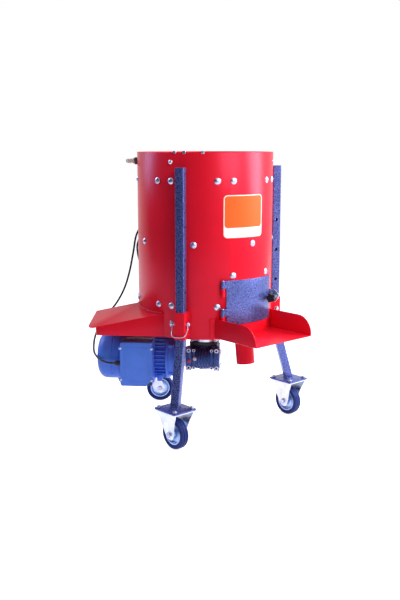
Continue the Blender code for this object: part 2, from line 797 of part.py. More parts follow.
def make_liner_plates():
    """Curved liner plates inside the drum, under the heads of their bolts."""
    outer = DRUM_BORE - GAP
    inner = outer - LINER_THICKNESS
    for index, azimuth in enumerate(liner_centres()):
        low = LINER_OVER_DOOR if azimuth == 0 else LINER_BOTTOM
        plate = shell_sector(inner, outer, azimuth - LINER_HALF_ANGLE, azimuth + LINER_HALF_ANGLE, low, LINER_TOP,
                             DRUM_SEGMENTS_PER_LINER - 1)
        piece("liner_plate_%d" % (index + 1), plate, "steel")


def make_drum_floor():
    """The floor of the drum, with a hole for the bearing neck and one for the outlet."""
    floor = drum_plug(DRUM_BORE - GAP, FLOOR_BASE, FLOOR_TOP)
    neck = bore(HOUSING_NECK_RADIUS, FLOOR_BASE - OVERRUN, FLOOR_TOP + OVERRUN, 22)
    outlet = rod(OUTLET_RADIUS - OUTLET_WALL, FLOOR_BASE - OVERRUN, FLOOR_TOP + OVERRUN, 20,
                 shift(0, -OUTLET_TOP_REACH, 0))
    piece("drum_floor", cut(floor, neck, outlet), "red_paint")


def make_outlet_tube():
    """The husk outlet, a tube that slants out from under the floor and is cut level with it."""
    tilt = Matrix.Rotation(math.radians(-OUTLET_SLOPE), 4, "X")
    top = FLOOR_BASE - GAP
    place = shift(0, -OUTLET_TOP_REACH, top) @ tilt
    tube = ring(OUTLET_RADIUS, OUTLET_RADIUS - OUTLET_WALL, -OUTLET_LENGTH, OUTLET_RADIUS, 24, place)
    above = block((-DRUM_RADIUS, -DRUM_RADIUS, top), (DRUM_RADIUS, 0, DRUM_TOP))
    piece("outlet_tube", cut(tube, above), "red_paint")


def make_tray():
    """The three-sided discharge tray under the door, flanged to the drum."""
    base = DRUM_BOTTOM + TRAY_UNDER_DRUM_RISE
    top = base + TRAY_WALL_HEIGHT
    back = -DRUM_RADIUS * math.cos(math.radians(45))
    bend = (-TRAY_FRONT + TRAY_CORNER_RADIUS, top - TRAY_CORNER_RADIUS)
    side = [(back, base), (-TRAY_FRONT, base)] + arc(bend, TRAY_CORNER_RADIUS, 180, 90, 7) + [(back, top)]
    body = prism(side, -TRAY_HALF_WIDTH, TRAY_HALF_WIDTH, X_AXIS)
    inside = TRAY_HALF_WIDTH - TRAY_SHEET
    body = cut(body, block((-inside, -TRAY_FRONT - OVERRUN, base + TRAY_SHEET), (inside, OVERRUN, top + OVERRUN)))
    flange_inner = DRUM_RADIUS + GAP
    contact = math.degrees(math.asin((TRAY_HALF_WIDTH - TRAY_SHEET / 2) / flange_inner))
    for sign in (-1, 1):
        flange = shell_sector(flange_inner, flange_inner + TRAY_SHEET, sign * contact,
                              sign * (contact + TRAY_FLANGE_ANGLE), base, top, 2)
        body = union(body, flange)
    drum = drum_plug(flange_inner, base - OVERRUN, top + OVERRUN)
    piece("discharge_tray", cut(body, drum), "red_paint")


def make_spray_ring():
    """The water pipe inside the rim: a ring with nozzle pips, three bolts and its inlet tube."""
    section = [(SPRAY_RADIUS + x, SPRAY_HEIGHT + y) for x, y in arc((0, 0), SPRAY_PIPE_RADIUS, 0, 288, 4)]
    pipe = lathe(section, SPRAY_SEGMENTS)
    seat = DRUM_RADIUS + GAP
    depth = seat - SPRAY_RADIUS
    extras = []
    for azimuth in spray_azimuths():
        profile = bolt_profile(SPRAY_BOLT_HEAD_RADIUS, BOLT_HEAD_HEIGHT, seat, BOLT_SHANK_RADIUS, depth)
        extras.append(lathe(profile, BOLT_SIDES, radial_place(azimuth, SPRAY_HEIGHT)))
    inlet_end = DRUM_RADIUS + INLET_NUT_LENGTH + GAP
    extras.append(rod(INLET_TUBE_RADIUS, SPRAY_RADIUS, inlet_end, 10, radial_place(INLET_AZIMUTH, SPRAY_HEIGHT)))
    for index in range(NOZZLE_COUNT):
        azimuth = SPRAY_BOLT_AZIMUTH + 360 * (index + 0.5) / NOZZLE_COUNT
        extras.append(rod(NOZZLE_RADIUS, -SPRAY_PIPE_RADIUS * 1.5, 0, 4,
                          turn_z(azimuth) @ shift(0, -SPRAY_RADIUS, SPRAY_HEIGHT)))
    piece("spray_ring", union(pipe, loose(*extras)), "zinc")
    place = radial_place(INLET_AZIMUTH, SPRAY_HEIGHT)
    nut_end = DRUM_RADIUS + GAP + INLET_NUT_LENGTH
    nut = ring(INLET_NUT_RADIUS, clear_bore(INLET_TUBE_RADIUS, 6), DRUM_RADIUS + GAP, nut_end, 6, place)
    piece("inlet_nut", nut, "black_plastic")
    start = nut_end + 2 * GAP
    barbs = [(INLET_NIPPLE_RADIUS, start)]
    for step in (0.5, 0.85):
        barbs.append((INLET_NIPPLE_RADIUS * 0.8, start + INLET_NIPPLE_LENGTH * (step - 0.02)))
        barbs.append((INLET_NIPPLE_RADIUS, start + INLET_NIPPLE_LENGTH * step))
    barbs.append((INLET_NIPPLE_RADIUS * 0.7, start + INLET_NIPPLE_LENGTH))
    barbs.extend([(INLET_BORE_RADIUS, start + INLET_NIPPLE_LENGTH), (INLET_BORE_RADIUS, start)])
    piece("inlet_nipple", lathe(barbs, 8, place), "pale_plastic")


def make_door():
    """The curved door with its two upper knuckles and the lug that the latch screw runs in."""
    inner = DRUM_RADIUS + 2 * GAP
    outer = inner + DOOR_THICKNESS
    door = shell_sector(inner, outer, DOOR_LEFT, DOOR_RIGHT, DOOR_BOTTOM, DOOR_TOP, DOOR_SEGMENTS)
    place = turn_z(HINGE_AZIMUTH)
    span = outer * math.sin(math.radians(DOOR_LEFT - HINGE_AZIMUTH)) + DOOR_THICKNESS
    for base in (UPPER_HINGE_BASE, LOWER_HINGE_BASE):
        low = base + KNUCKLE_HEIGHT + GAP
        high = low + KNUCKLE_HEIGHT
        strap = block((0, -HINGE_REACH + GAP, low), (span, -HINGE_REACH + KNUCKLE_RADIUS, high), place)
        door = union(door, union(rod(KNUCKLE_RADIUS, low, high, 10, place @ shift(0, -HINGE_REACH, 0)), strap))
        door = cut(door, bore(HINGE_PIN_RADIUS, low - OVERRUN, low + KNUCKLE_HEIGHT * 0.85, 10,
                              place @ shift(0, -HINGE_REACH, 0)))
    latch = turn_z(LATCH_AZIMUTH)
    half = LUG_HEIGHT / 2
    lug = block((LUG_OFFSET, -DRUM_RADIUS - LUG_WIDTH, LATCH_HEIGHT - half),
                (LUG_OFFSET + LUG_THICKNESS, -inner - DOOR_THICKNESS / 2, LATCH_HEIGHT + half), latch)
    door = union(door, lug)
    reach = DRUM_RADIUS + LATCH_REACH
    hole = bore(KNOB_STUD_RADIUS, 0, LUG_OFFSET + LUG_THICKNESS + OVERRUN, 10,
                latch @ shift(0, -reach, LATCH_HEIGHT) @ X_AXIS)
    hinge = joint_empty("door_hinge", polar(HINGE_REACH, HINGE_AZIMUTH, LOWER_HINGE_BASE))
    piece("door", cut(door, hole), "hammered_paint", parent=hinge,
          origin=polar(HINGE_REACH, HINGE_AZIMUTH, LOWER_HINGE_BASE))
    make_latch(latch, reach, hinge)


def make_latch(latch, reach, hinge):
    """The star knob with its stud on the door, and the keeper bracket on the drum."""
    axis = latch @ shift(0, -reach, LATCH_HEIGHT)
    lobes = []
    steps = KNOB_LOBES * 4
    for index in range(steps):
        angle = 2 * math.pi * index / steps
        radius = KNOB_RADIUS * (0.86 + 0.14 * math.cos(KNOB_LOBES * angle))
        lobes.append((radius * math.cos(angle), radius * math.sin(angle)))
    knob = prism(lobes, KNOB_OFFSET - KNOB_THICKNESS, KNOB_OFFSET, axis @ X_AXIS)
    stud = rod(KNOB_STUD_RADIUS, KNOB_OFFSET - KNOB_THICKNESS / 2, BRACKET_OFFSET - GAP, 10, axis @ X_AXIS)
    piece("latch_knob", union(knob, stud), "black_plastic", parent=hinge,
          origin=axis @ Vector((0, 0, 0)))
    inner = DRUM_RADIUS + GAP
    low, high = inner, DRUM_RADIUS + BRACKET_REACH
    chamfer = BRACKET_CHAMFER
    base, top = LATCH_HEIGHT - BRACKET_HEIGHT / 2, LATCH_HEIGHT + BRACKET_HEIGHT / 2
    outline = [(-low, base), (-low, top), (-high + chamfer, top), (-high, top - chamfer),
               (-high, base + chamfer), (-high + chamfer, base)]
    plate = prism(outline, BRACKET_OFFSET, BRACKET_OFFSET + BRACKET_THICKNESS, latch @ X_AXIS)
    angle = math.degrees(BRACKET_OFFSET / DRUM_RADIUS)
    foot = shell_sector(inner, inner + BRACKET_THICKNESS, LATCH_AZIMUTH + angle,
                        LATCH_AZIMUTH + angle + math.degrees(BRACKET_FOOT / DRUM_RADIUS), LATCH_HEIGHT, top - FUSE, 2)
    low_edge = drum_plug(inner, base - OVERRUN, top + OVERRUN)
    bracket = cut(union(plate, foot), low_edge)
    hole = rod(BRACKET_HOLE_RADIUS, BRACKET_OFFSET - OVERRUN, BRACKET_OFFSET + BRACKET_THICKNESS + OVERRUN, 12,
               latch @ shift(0, -DRUM_RADIUS - BRACKET_REACH * 0.4, top - chamfer) @ X_AXIS)
    piece("latch_bracket", cut(bracket, hole), "zinc")


def make_disc_and_shaft():
    """The peeling disc, the shaft that drives it, its bearing and the bearing housing."""
    top = DISC_BASE + DISC_THICKNESS
    spin = joint_empty("disc_spin", (0, 0, DISC_BASE))
    disc = ring(DISC_RADIUS, clear_bore(SHAFT_RADIUS, 36), DISC_BASE, top, 36)
    inner = SHAFT_NUT_RADIUS + OVERRUN
    for index in range(DISC_RIB_COUNT):
        rib = block((inner, -DISC_RIB_WIDTH / 2, top - FUSE), (DISC_RADIUS - OVERRUN, DISC_RIB_WIDTH / 2,
                    top + DISC_RIB_HEIGHT), turn_z(360 * index / DISC_RIB_COUNT))
        disc = union(disc, rib)
    for index in range(SCRAPER_COUNT):
        blade = block((HOUSING_NECK_RADIUS + 2 * OVERRUN, -SCRAPER_THICKNESS / 2, FLOOR_TOP + SCRAPER_CLEARANCE),
                      (DISC_RADIUS - OVERRUN, SCRAPER_THICKNESS / 2, DISC_BASE + FUSE),
                      turn_z(360 * (index + 0.25) / SCRAPER_COUNT))
        disc = union(disc, blade)
    piece("peeling_disc", disc, "steel", origin=(0, 0, DISC_BASE), parent=spin)
    flange_top = DISC_BASE - GAP
    nut = top + GAP
    shaft = union(lathe([
        (0, GEAR_AXIS_HEIGHT - WHEEL_WIDTH), (SHAFT_RADIUS, GEAR_AXIS_HEIGHT - WHEEL_WIDTH),
        (SHAFT_RADIUS, flange_top - SHAFT_FLANGE_THICKNESS), (SHAFT_FLANGE_RADIUS, flange_top - SHAFT_FLANGE_THICKNESS),
        (SHAFT_FLANGE_RADIUS, flange_top), (SHAFT_RADIUS, flange_top), (SHAFT_RADIUS, nut + SHAFT_NUT_HEIGHT / 2),
        (0, nut + SHAFT_NUT_HEIGHT / 2)], 20),
        lathe([(0, nut), (SHAFT_NUT_RADIUS, nut), (SHAFT_NUT_RADIUS, nut + SHAFT_NUT_HEIGHT * 0.7),
               (0, nut + SHAFT_NUT_HEIGHT)], 6))
    piece("output_shaft", shaft, "zinc", origin=(0, 0, DISC_BASE), parent=spin)
    make_worm_wheel(spin)
    neck_top = FLOOR_TOP + HOUSING_NECK_RISE
    base = MOUNT_PLATE_TOP + GAP
    pocket = FLOOR_BASE - GAP - BEARING_HEIGHT * 2
    running = SHAFT_RADIUS + 2 * GAP
    housing = lathe([
        (HOUSING_RADIUS, base), (HOUSING_RADIUS, FLOOR_BASE - GAP), (HOUSING_NECK_RADIUS, FLOOR_BASE - GAP),
        (HOUSING_NECK_RADIUS, neck_top), (running, neck_top), (running, pocket + BEARING_HEIGHT),
        (BEARING_RADIUS, pocket + BEARING_HEIGHT), (BEARING_RADIUS, base)], 22)
    piece("bearing_housing", housing, "zinc")


def worm_tooth_share(height):
    """Half width of the worm's thread as a share of the pitch, at a height from the pitch line."""
    return 0.25 - height * math.tan(math.radians(20)) / PITCH


def make_worm_wheel(spin):
    """The bronze worm wheel: slanting teeth cut at the worm's lead angle."""
    lead = WORM_STARTS * PITCH
    slant = lead / (2 * math.pi * WORM_PITCH_RADIUS)
    root = WHEEL_PITCH_RADIUS - 1.2 * MODULE
    tip = WHEEL_PITCH_RADIUS + MODULE - TOOTH_CLEARANCE
    half = WHEEL_WIDTH / 2
    lateral = lateral_axis()
    start = math.atan2(lateral.y, lateral.x)
    hole = clear_bore(SHAFT_RADIUS, 20)

    def fill(mesh):
        rings = []
        for level in (-half, half):
            twist = slant * level / WHEEL_PITCH_RADIUS
            points = []
            for tooth in range(WHEEL_TEETH):
                centre = start + 2 * math.pi * (tooth + 0.5) / WHEEL_TEETH + twist
                for radius, side in ((root, -1), (tip, -1), (tip, 1), (root, 1)):
                    offset = radius - WHEEL_PITCH_RADIUS
                    width = PITCH * worm_tooth_share(offset) - TOOTH_CLEARANCE
                    angle = centre + side * width / WHEEL_PITCH_RADIUS
                    points.append(mesh.verts.new((radius * math.cos(angle), radius * math.sin(angle),
                                                  GEAR_AXIS_HEIGHT + level)))
            rings.append(points)
        bore = []
        for level in (-half, half):
            points = []
            for index in range(20):
                angle = 2 * math.pi * index / 20
                points.append(mesh.verts.new((hole * math.cos(angle), hole * math.sin(angle),
                                              GEAR_AXIS_HEIGHT + level)))
            bore.append(points)
        count = len(rings[0])
        for low, high in zip(rings, rings[1:]):
            for index in range(count):
                after = (index + 1) % count
                mesh.faces.new([low[index], low[after], high[after], high[index]])
        for index in range(20):
            after = (index + 1) % 20
            mesh.faces.new([bore[0][after], bore[0][index], bore[1][index], bore[1][after]])
        for outer, inner in ((rings[0], bore[0]), (rings[-1], bore[1])):
            edges = []
            for loop in (outer, inner):
                for first, second in zip(loop, loop[1:] + loop[:1]):
                    edges.append(mesh.edges.get((first, second)))
            bmesh.ops.triangle_fill(mesh, edges=edges, use_beauty=False)
    piece("worm_wheel", solid(fill), "bronze", origin=(0, 0, GEAR_AXIS_HEIGHT), parent=spin)


def motor_axis():
    """The direction of the motor from the drum axis."""
    return polar(1, MOTOR_AZIMUTH, 0)


def lateral_axis():
    """The level direction across the motor, towards the terminal box."""
    ahead = motor_axis()
    return Vector((-ahead.y, ahead.x, 0))


def motor_frame():
    """A frame whose +X runs out along the motor, +Y to the terminal box, with its origin under the gear axis."""
    ahead, side = motor_axis(), lateral_axis()
    return Matrix(((ahead.x, side.x, 0, 0), (ahead.y, side.y, 0, 0), (0, 0, 1, 0), (0, 0, 0, 1)))


def motor_line():
    """A frame whose +Z is the motor's own axis, out from the gearbox."""
    return motor_frame() @ shift(0, CENTRE_DISTANCE, GEAR_AXIS_HEIGHT) @ X_AXIS


def make_gearbox():
    """The worm gearbox: casting, bottom cover and the square plate that it hangs from."""
    frame = motor_frame()
    line = motor_line()
    half = GEARBOX_HALF_LENGTH
    body = rod(GEARBOX_WHEEL_RADIUS, GEARBOX_BOTTOM, GEARBOX_TOP, 28)
    step = FUSE / 2
    outline = [(0, step - half), (BARREL_RADIUS, step - half)]
    first = -(GEARBOX_RIB_COUNT - 1) / 2
    for index in range(GEARBOX_RIB_COUNT):
        centre = (first + index) * GEARBOX_RIB_PITCH
        low, high = centre - GEARBOX_RIB_THICKNESS / 2, centre + GEARBOX_RIB_THICKNESS / 2
        outline += [(BARREL_RADIUS, low), (BARREL_RIB_RADIUS, low), (BARREL_RIB_RADIUS, high), (BARREL_RADIUS, high)]
    barrel = lathe(outline + [(BARREL_RADIUS, half - step), (0, half - step)], 20, line)
    saddle = block((-half + 2 * OVERRUN, 0, GEARBOX_BOTTOM + FUSE), (half - 2 * OVERRUN, CENTRE_DISTANCE + OVERRUN,
                   GEARBOX_TOP - FUSE), frame)
    body = union(body, saddle, barrel)
    span = GEARBOX_LUG
    for end in (-half, half - span):
        cheek = block((end, OVERRUN, GEARBOX_BOTTOM + step), (end + span, CENTRE_DISTANCE + BARREL_RADIUS + step,
                      GEARBOX_TOP - step), frame)
        body = union(body, cheek)
    cavity = rod(GEARBOX_CAVITY_RADIUS, GEARBOX_BOTTOM - OVERRUN, GEARBOX_TOP - GEARBOX_ROOF, 28)
    tip = WORM_PITCH_RADIUS + MODULE + 2 * TOOTH_CLEARANCE
    tunnel = rod(tip + TOOTH_CLEARANCE, -WORM_HALF_LENGTH - OVERRUN, half + OVERRUN, 18, line)
    journal = bore(MOTOR_SHAFT_RADIUS, OVERRUN - half, -WORM_HALF_LENGTH, 12, line)
    shaft_hole = bore(SHAFT_RADIUS, GEARBOX_TOP - GEARBOX_ROOF - OVERRUN, GEARBOX_TOP + OVERRUN, 20)
    body = cut(body, cavity, tunnel, journal, shaft_hole)
    piece("gearbox_housing", body, "gearbox_casting")
    cover = rod(GEARBOX_WHEEL_RADIUS - OVERRUN, GEARBOX_BOTTOM - GAP - COVER_THICKNESS, GEARBOX_BOTTOM - GAP, 28)
    piece("gearbox_cover", cover, "gearbox_casting")
    edge = MOUNT_PLATE_HALF
    outline = rounded_rectangle((-edge, -edge), (edge, edge), edge / 6, 2)
    plate = prism(outline, MOUNT_PLATE_BASE, MOUNT_PLATE_TOP, frame)
    plate = cut(plate, rod(MOUNT_PLATE_BORE, MOUNT_PLATE_BASE - OVERRUN, MOUNT_PLATE_TOP + OVERRUN, 24))
    piece("mounting_plate", plate, "black_plastic")


def make_motor_shaft():
    """The motor shaft with its rotor core and the three-start worm cut on its end."""
    line = motor_line()
    root = WORM_PITCH_RADIUS - MODULE * 1.2
    tip = WORM_PITCH_RADIUS + MODULE - TOOTH_CLEARANCE
    core_start = MOTOR_BODY_START + OVERRUN
    core_end = MOTOR_BODY_END - 4 * OVERRUN
    end = MOTOR_END - 4 * OVERRUN
    start = -GEARBOX_HALF_LENGTH + 2 * OVERRUN
    lead = WORM_STARTS * PITCH
    shares = [0, 0, 0, 0]
    for slot, (radius, side) in enumerate(((root, -1), (tip, -1), (tip, 1), (root, 1))):
        width = PITCH * worm_tooth_share(radius - WORM_PITCH_RADIUS) - TOOTH_CLEARANCE
        shares[slot] = (radius, side * 2 * math.pi * width / lead)
    steps = round(2 * WORM_HALF_LENGTH / lead * WORM_STEPS_PER_TURN)
    stations = [(start, MOTOR_SHAFT_RADIUS, False), (-WORM_HALF_LENGTH - FUSE, MOTOR_SHAFT_RADIUS, False)]
    for index in range(steps + 1):
        stations.append((-WORM_HALF_LENGTH + 2 * WORM_HALF_LENGTH * index / steps, 0, True))
    stations += [
        (WORM_HALF_LENGTH + FUSE, MOTOR_SHAFT_RADIUS, False), (core_start, MOTOR_SHAFT_RADIUS, False),
        (core_start, ROTOR_CORE_RADIUS, False), (core_end, ROTOR_CORE_RADIUS, False),
        (core_end, MOTOR_SHAFT_RADIUS, False), (end, MOTOR_SHAFT_RADIUS, False)]

    def fill(mesh):
        rings = []
        for along, radius, threaded in stations:
            turned = worm_angle(max(-WORM_HALF_LENGTH, min(WORM_HALF_LENGTH, along)), lead)
            points = []
            for number in range(WORM_STARTS):
                middle = turned + 2 * math.pi * number / WORM_STARTS
                for slot, (tooth_radius, offset) in enumerate(shares):
                    if threaded:
                        reach, angle = tooth_radius, middle + offset
                    else:
                        reach, angle = radius, middle + (slot - 1.5) * 2 * math.pi / (4 * WORM_STARTS)
                    points.append(mesh.verts.new((reach * math.cos(angle), reach * math.sin(angle), along)))
            rings.append(points)
        count = len(rings[0])
        for low, high in zip(rings, rings[1:]):
            for index in range(count):
                after = (index + 1) % count
                mesh.faces.new([low[index], low[after], high[after], high[index]])
        mesh.faces.new(rings[0])
        mesh.faces.new(rings[-1])
    shaft = solid(fill)
    shaft.transform(line)
    spin = joint_empty("motor_spin", line @ Vector((0, 0, 0)))
    piece("motor_shaft", shaft, "steel", origin=line @ Vector((0, 0, 0)), parent=spin)
    near = MOTOR_BODY_END + 2 * OVERRUN
    hub = MOTOR_SHAFT_RADIUS * 2
    blades = rod(hub, near, near + FAN_WIDTH + OVERRUN, 16, line)
    for index in range(FAN_BLADES):
        blade = block((hub - OVERRUN, -FAN_BLADE_SHEET / 2, near + FUSE), (FAN_RADIUS, FAN_BLADE_SHEET / 2,
                      near + FAN_WIDTH), line @ turn_z(360 * (index + 0.5) / FAN_BLADES))
        blades = union(blades, blade)
    shaft_hole = bore(MOTOR_SHAFT_RADIUS, MOTOR_BODY_END, MOTOR_END, 12, line)
    piece("cooling_fan", cut(blades, shaft_hole), "black_plastic", origin=line @ Vector((0, 0, 0)), parent=spin)


def worm_angle(along, lead):
    """The angle in the motor's frame at which the first thread stands at a place along the worm."""
    toward_wheel = math.pi
    return toward_wheel + 2 * math.pi * along / lead


def make_motor():
    """The motor: end shield with its flange, finned body with the terminal box, fan cover."""
    line = motor_line()
    frame = motor_frame()
    start = MOTOR_FLANGE_START
    rear = MOTOR_BODY_START - GAP
    flange = start + SHIELD_FLANGE_THICKNESS * 2
    running = MOTOR_SHAFT_RADIUS + GAP
    shield = lathe([
        (running, start), (BARREL_RADIUS, start), (BARREL_RADIUS, flange), (SHIELD_FLANGE_RADIUS, flange),
        (SHIELD_FLANGE_RADIUS, flange + SHIELD_FLANGE_THICKNESS), (MOTOR_CORE_RADIUS, flange + 2 * SHIELD_FLANGE_THICKNESS),
        (MOTOR_FIN_RADIUS, rear), (MOTOR_BORE_RADIUS, rear), (running, rear - 2 * SHIELD_FLANGE_THICKNESS)], 22, line)
    piece("motor_end_shield", shield, "motor_paint")
    wall_start = MOTOR_BODY_END - 2 * OVERRUN
    seat = FAN_COVER_RADIUS - FAN_COVER_SHEET - GAP
    seat_start = MOTOR_BODY_END - FAN_COVER_LAP - FUSE
    body = lathe([
        (MOTOR_CORE_RADIUS, MOTOR_BODY_START), (MOTOR_CORE_RADIUS, seat_start), (seat, seat_start),
        (seat, MOTOR_BODY_END), (running, MOTOR_BODY_END), (running, wall_start), (MOTOR_BORE_RADIUS, wall_start),
        (MOTOR_BORE_RADIUS, MOTOR_BODY_START)], 20, line)
    fins = []
    for index in range(MOTOR_FIN_COUNT):
        angle = 360 * (index + 0.5) / MOTOR_FIN_COUNT
        fins.append(block((MOTOR_CORE_RADIUS - OVERRUN, -MOTOR_FIN_THICKNESS / 2, MOTOR_BODY_START + FUSE),
                          (MOTOR_FIN_RADIUS, MOTOR_FIN_THICKNESS / 2, seat_start + FUSE),
                          line @ turn_z(angle)))
    body = union(body, loose(*fins))
    low = (TERMINAL_BOX_START, CENTRE_DISTANCE + MOTOR_CORE_RADIUS * 0.6, GEAR_AXIS_HEIGHT - TERMINAL_BOX_HEIGHT / 2)
    high = (TERMINAL_BOX_START + TERMINAL_BOX_LENGTH, TERMINAL_BOX_FACE, GEAR_AXIS_HEIGHT + TERMINAL_BOX_HEIGHT / 2)
    inside = CENTRE_DISTANCE + MOTOR_FIN_RADIUS + TERMINAL_BOX_WALL
    body = union(body, block(low, high, frame))
    wall = TERMINAL_BOX_WALL
    pocket = block((low[0] + wall, inside, low[2] + wall), (high[0] - wall, high[1] + OVERRUN, high[2] - wall), frame)
    gland_place = frame @ shift(high[0], TERMINAL_BOX_FACE - GLAND_INSET, GEAR_AXIS_HEIGHT - GLAND_DROP) @ X_AXIS
    gland_hole = rod(GLAND_RADIUS * 0.75, -2 * wall, OVERRUN, 10, gland_place)
    body = cut(body, pocket, gland_hole)
    piece("motor_body", body, "motor_paint")
    make_terminal_lid(low, high, frame)
    gland = lathe([
        (CORD_RADIUS + GAP, -wall), (GLAND_RADIUS * 0.75 - GAP, -wall), (GLAND_RADIUS * 0.75 - GAP, GAP),
        (GLAND_RADIUS, GAP), (GLAND_RADIUS, GLAND_LENGTH * 0.4), (GLAND_RADIUS * 0.85, GLAND_LENGTH * 0.45),
        (CORD_RADIUS * 1.25, GLAND_LENGTH), (CORD_RADIUS + GAP, GLAND_LENGTH)], 10, gland_place)
    piece("cable_gland", gland, "motor_paint")
    make_fan_cover(line)
    return gland_place


def make_terminal_lid(low, high, frame):
    """The lid of the terminal box, with four screw ears."""
    face = high[1] + GAP
    radius = TERMINAL_EAR_RADIUS
    outline = rounded_rectangle((low[0], low[2]), (high[0], high[2]), radius, 2)
    turned = Matrix(((1, 0, 0, 0), (0, 0, 1, 0), (0, 1, 0, 0), (0, 0, 0, 1)))
    lid = prism(outline, face, face + TERMINAL_LID_THICKNESS, frame @ turned)
    inset = TERMINAL_BOX_HEIGHT * 0.14
    for along in (low[0], high[0]):
        for height in (low[2] + inset, high[2] - inset):
            ear = rod(radius, face + GAP, face + TERMINAL_LID_THICKNESS - GAP, 8,
                      frame @ turned @ shift(along, height, 0))
            lid = union(lid, ear)
    piece("terminal_box_lid", lid, "motor_paint")


def make_fan_cover(line):
    """The fan cover: a drawn cup with a slotted end."""
    start, end = MOTOR_BODY_END - FAN_COVER_LAP, MOTOR_END
    outside = [(FAN_COVER_RADIUS, start)]
    centre = (FAN_COVER_RADIUS - FAN_COVER_ROUND, end - FAN_COVER_ROUND)
    outside.extend(arc(centre, FAN_COVER_ROUND, 0, 90, 3))
    inner_round = FAN_COVER_ROUND - FAN_COVER_SHEET
    inside = arc(centre, inner_round, 90, 0, 3) + [(FAN_COVER_RADIUS - FAN_COVER_SHEET, start)]
    cover = lathe(outside + [(FAN_COVER_HOLE, end), (FAN_COVER_HOLE, end - FAN_COVER_SHEET)] + inside, 20, line)
    slots = []
    for index in range(FAN_GRILLE_SLOTS):
        slots.append(block((FAN_COVER_HOLE * 1.6, -TERMINAL_BOX_WALL, end - 2 * OVERRUN),
                           (FAN_COVER_RADIUS * 0.58, TERMINAL_BOX_WALL, end + OVERRUN),
                           line @ turn_z(360 * index / FAN_GRILLE_SLOTS)))
    piece("fan_cover", cut(cover, loose(*slots)), "motor_paint")


def roof_height(along, lateral):
    """Height of the hood's top sheet over a point of the motor frame."""
    return HOOD_RIDGE_HEIGHT - HOOD_FALL_OUTWARD * along - HOOD_FALL_SIDEWAYS * abs(lateral - CENTRE_DISTANCE)


def roof_slab(outline, thickness, lift):
    """A gabled sheet over an outline in the motor frame, split at the ridge."""
    mesh = prism(outline, 0, DRUM_HEIGHT)
    bmesh.ops.bisect_plane(mesh, geom=mesh.verts[:] + mesh.edges[:] + mesh.faces[:],
                           plane_co=(0, CENTRE_DISTANCE, 0), plane_no=(0, 1, 0))
    for vert in mesh.verts:
        height = roof_height(vert.co.x, vert.co.y) + lift
        vert.co.z = height if vert.co.z > DRUM_HEIGHT / 2 else height - thickness
    bmesh.ops.recalc_face_normals(mesh, faces=mesh.faces[:])
    mesh.transform(motor_frame())
    return mesh


def make_hood():
    """The sheet hood over the motor: a gabled roof with a skirt on three sides, cut to the drum."""
    low = CENTRE_DISTANCE - HOOD_HALF_WIDTH
    high = CENTRE_DISTANCE + HOOD_HALF_WIDTH
    frame = motor_frame()
    radius = HOOD_ROOF_CORNER_RADIUS
    eave = FUSE
    roof_outline = [(0, low - eave)] + arc((HOOD_ROOF_END - radius, low - eave + radius), radius, -90, 0, 4)
    roof_outline += arc((HOOD_ROOF_END - radius, high + eave - radius), radius, 0, 90, 4) + [(0, high + eave)]
    roof = roof_slab(roof_outline, HOOD_SHEET, 0)
    tall = HOOD_RIDGE_HEIGHT + OVERRUN
    corner = HOOD_CORNER_RADIUS
    outer = rounded_rectangle((0, low), (HOOD_END, high), corner, 3)
    sheet = HOOD_SHEET
    inner = rounded_rectangle((sheet, low + sheet), (HOOD_END - sheet, high - sheet), corner - sheet, 3)
    skirt = prism(outer, HOOD_SKIRT_BOTTOM, tall, frame)
    skirt = cut(skirt, prism(inner, HOOD_SKIRT_BOTTOM - OVERRUN, tall + OVERRUN, frame))
    wide = [(-DRUM_RADIUS, low - 2 * OVERRUN), (HOOD_ROOF_END, low - 2 * OVERRUN),
            (HOOD_ROOF_END, high + 2 * OVERRUN), (-DRUM_RADIUS, high + 2 * OVERRUN)]
    above = roof_slab(wide, -DRUM_HEIGHT, -HOOD_SHEET / 2)
    skirt = cut(skirt, above)
    hood = union(roof, skirt)
    drum = drum_plug(DRUM_RADIUS + GAP, HOOD_SKIRT_BOTTOM - OVERRUN, tall + OVERRUN)
    hood = cut(hood, drum)
    piece("motor_hood", keep_largest(hood), "red_paint")


def keep_largest(mesh):
    """Keep the largest body of a mesh; offcuts inside the drum are waste."""
    seen, bodies = set(), []
    for vert in mesh.verts:
        if vert in seen:
            continue
        body, queue = [], [vert]
        seen.add(vert)
        while queue:
            item = queue.pop()
            body.append(item)
            for edge in item.link_edges:
                other = edge.other_vert(item)
                if other not in seen:
                    seen.add(other)
                    queue.append(other)
        bodies.append(body)
    bodies.sort(key=body_span)
    waste = [vert for body in bodies[:-1] for vert in body]
    bmesh.ops.delete(mesh, geom=waste, context="VERTS")
    return mesh


def body_span(body):
    """The reach of a body's points from the drum axis."""
    return max(vert.co.to_2d().length for vert in body)


def leg_prism(half, low, high):
    """The splayed lower tube of a leg: a square section that moves out as it goes down."""
    def fill(mesh):
        rings = []
        for reach, height in (low, high):
            rings.append([mesh.verts.new((x, -reach + y, height))
                          for x, y in ((-half, -half), (half, -half), (half, half), (-half, half))])
        mesh.faces.new(rings[0])
        mesh.faces.new(rings[1])
        for index in range(4):
            after = (index + 1) % 4
            mesh.faces.new([rings[0][index], rings[0][after], rings[1][after], rings[1][index]])
    return solid(fill)


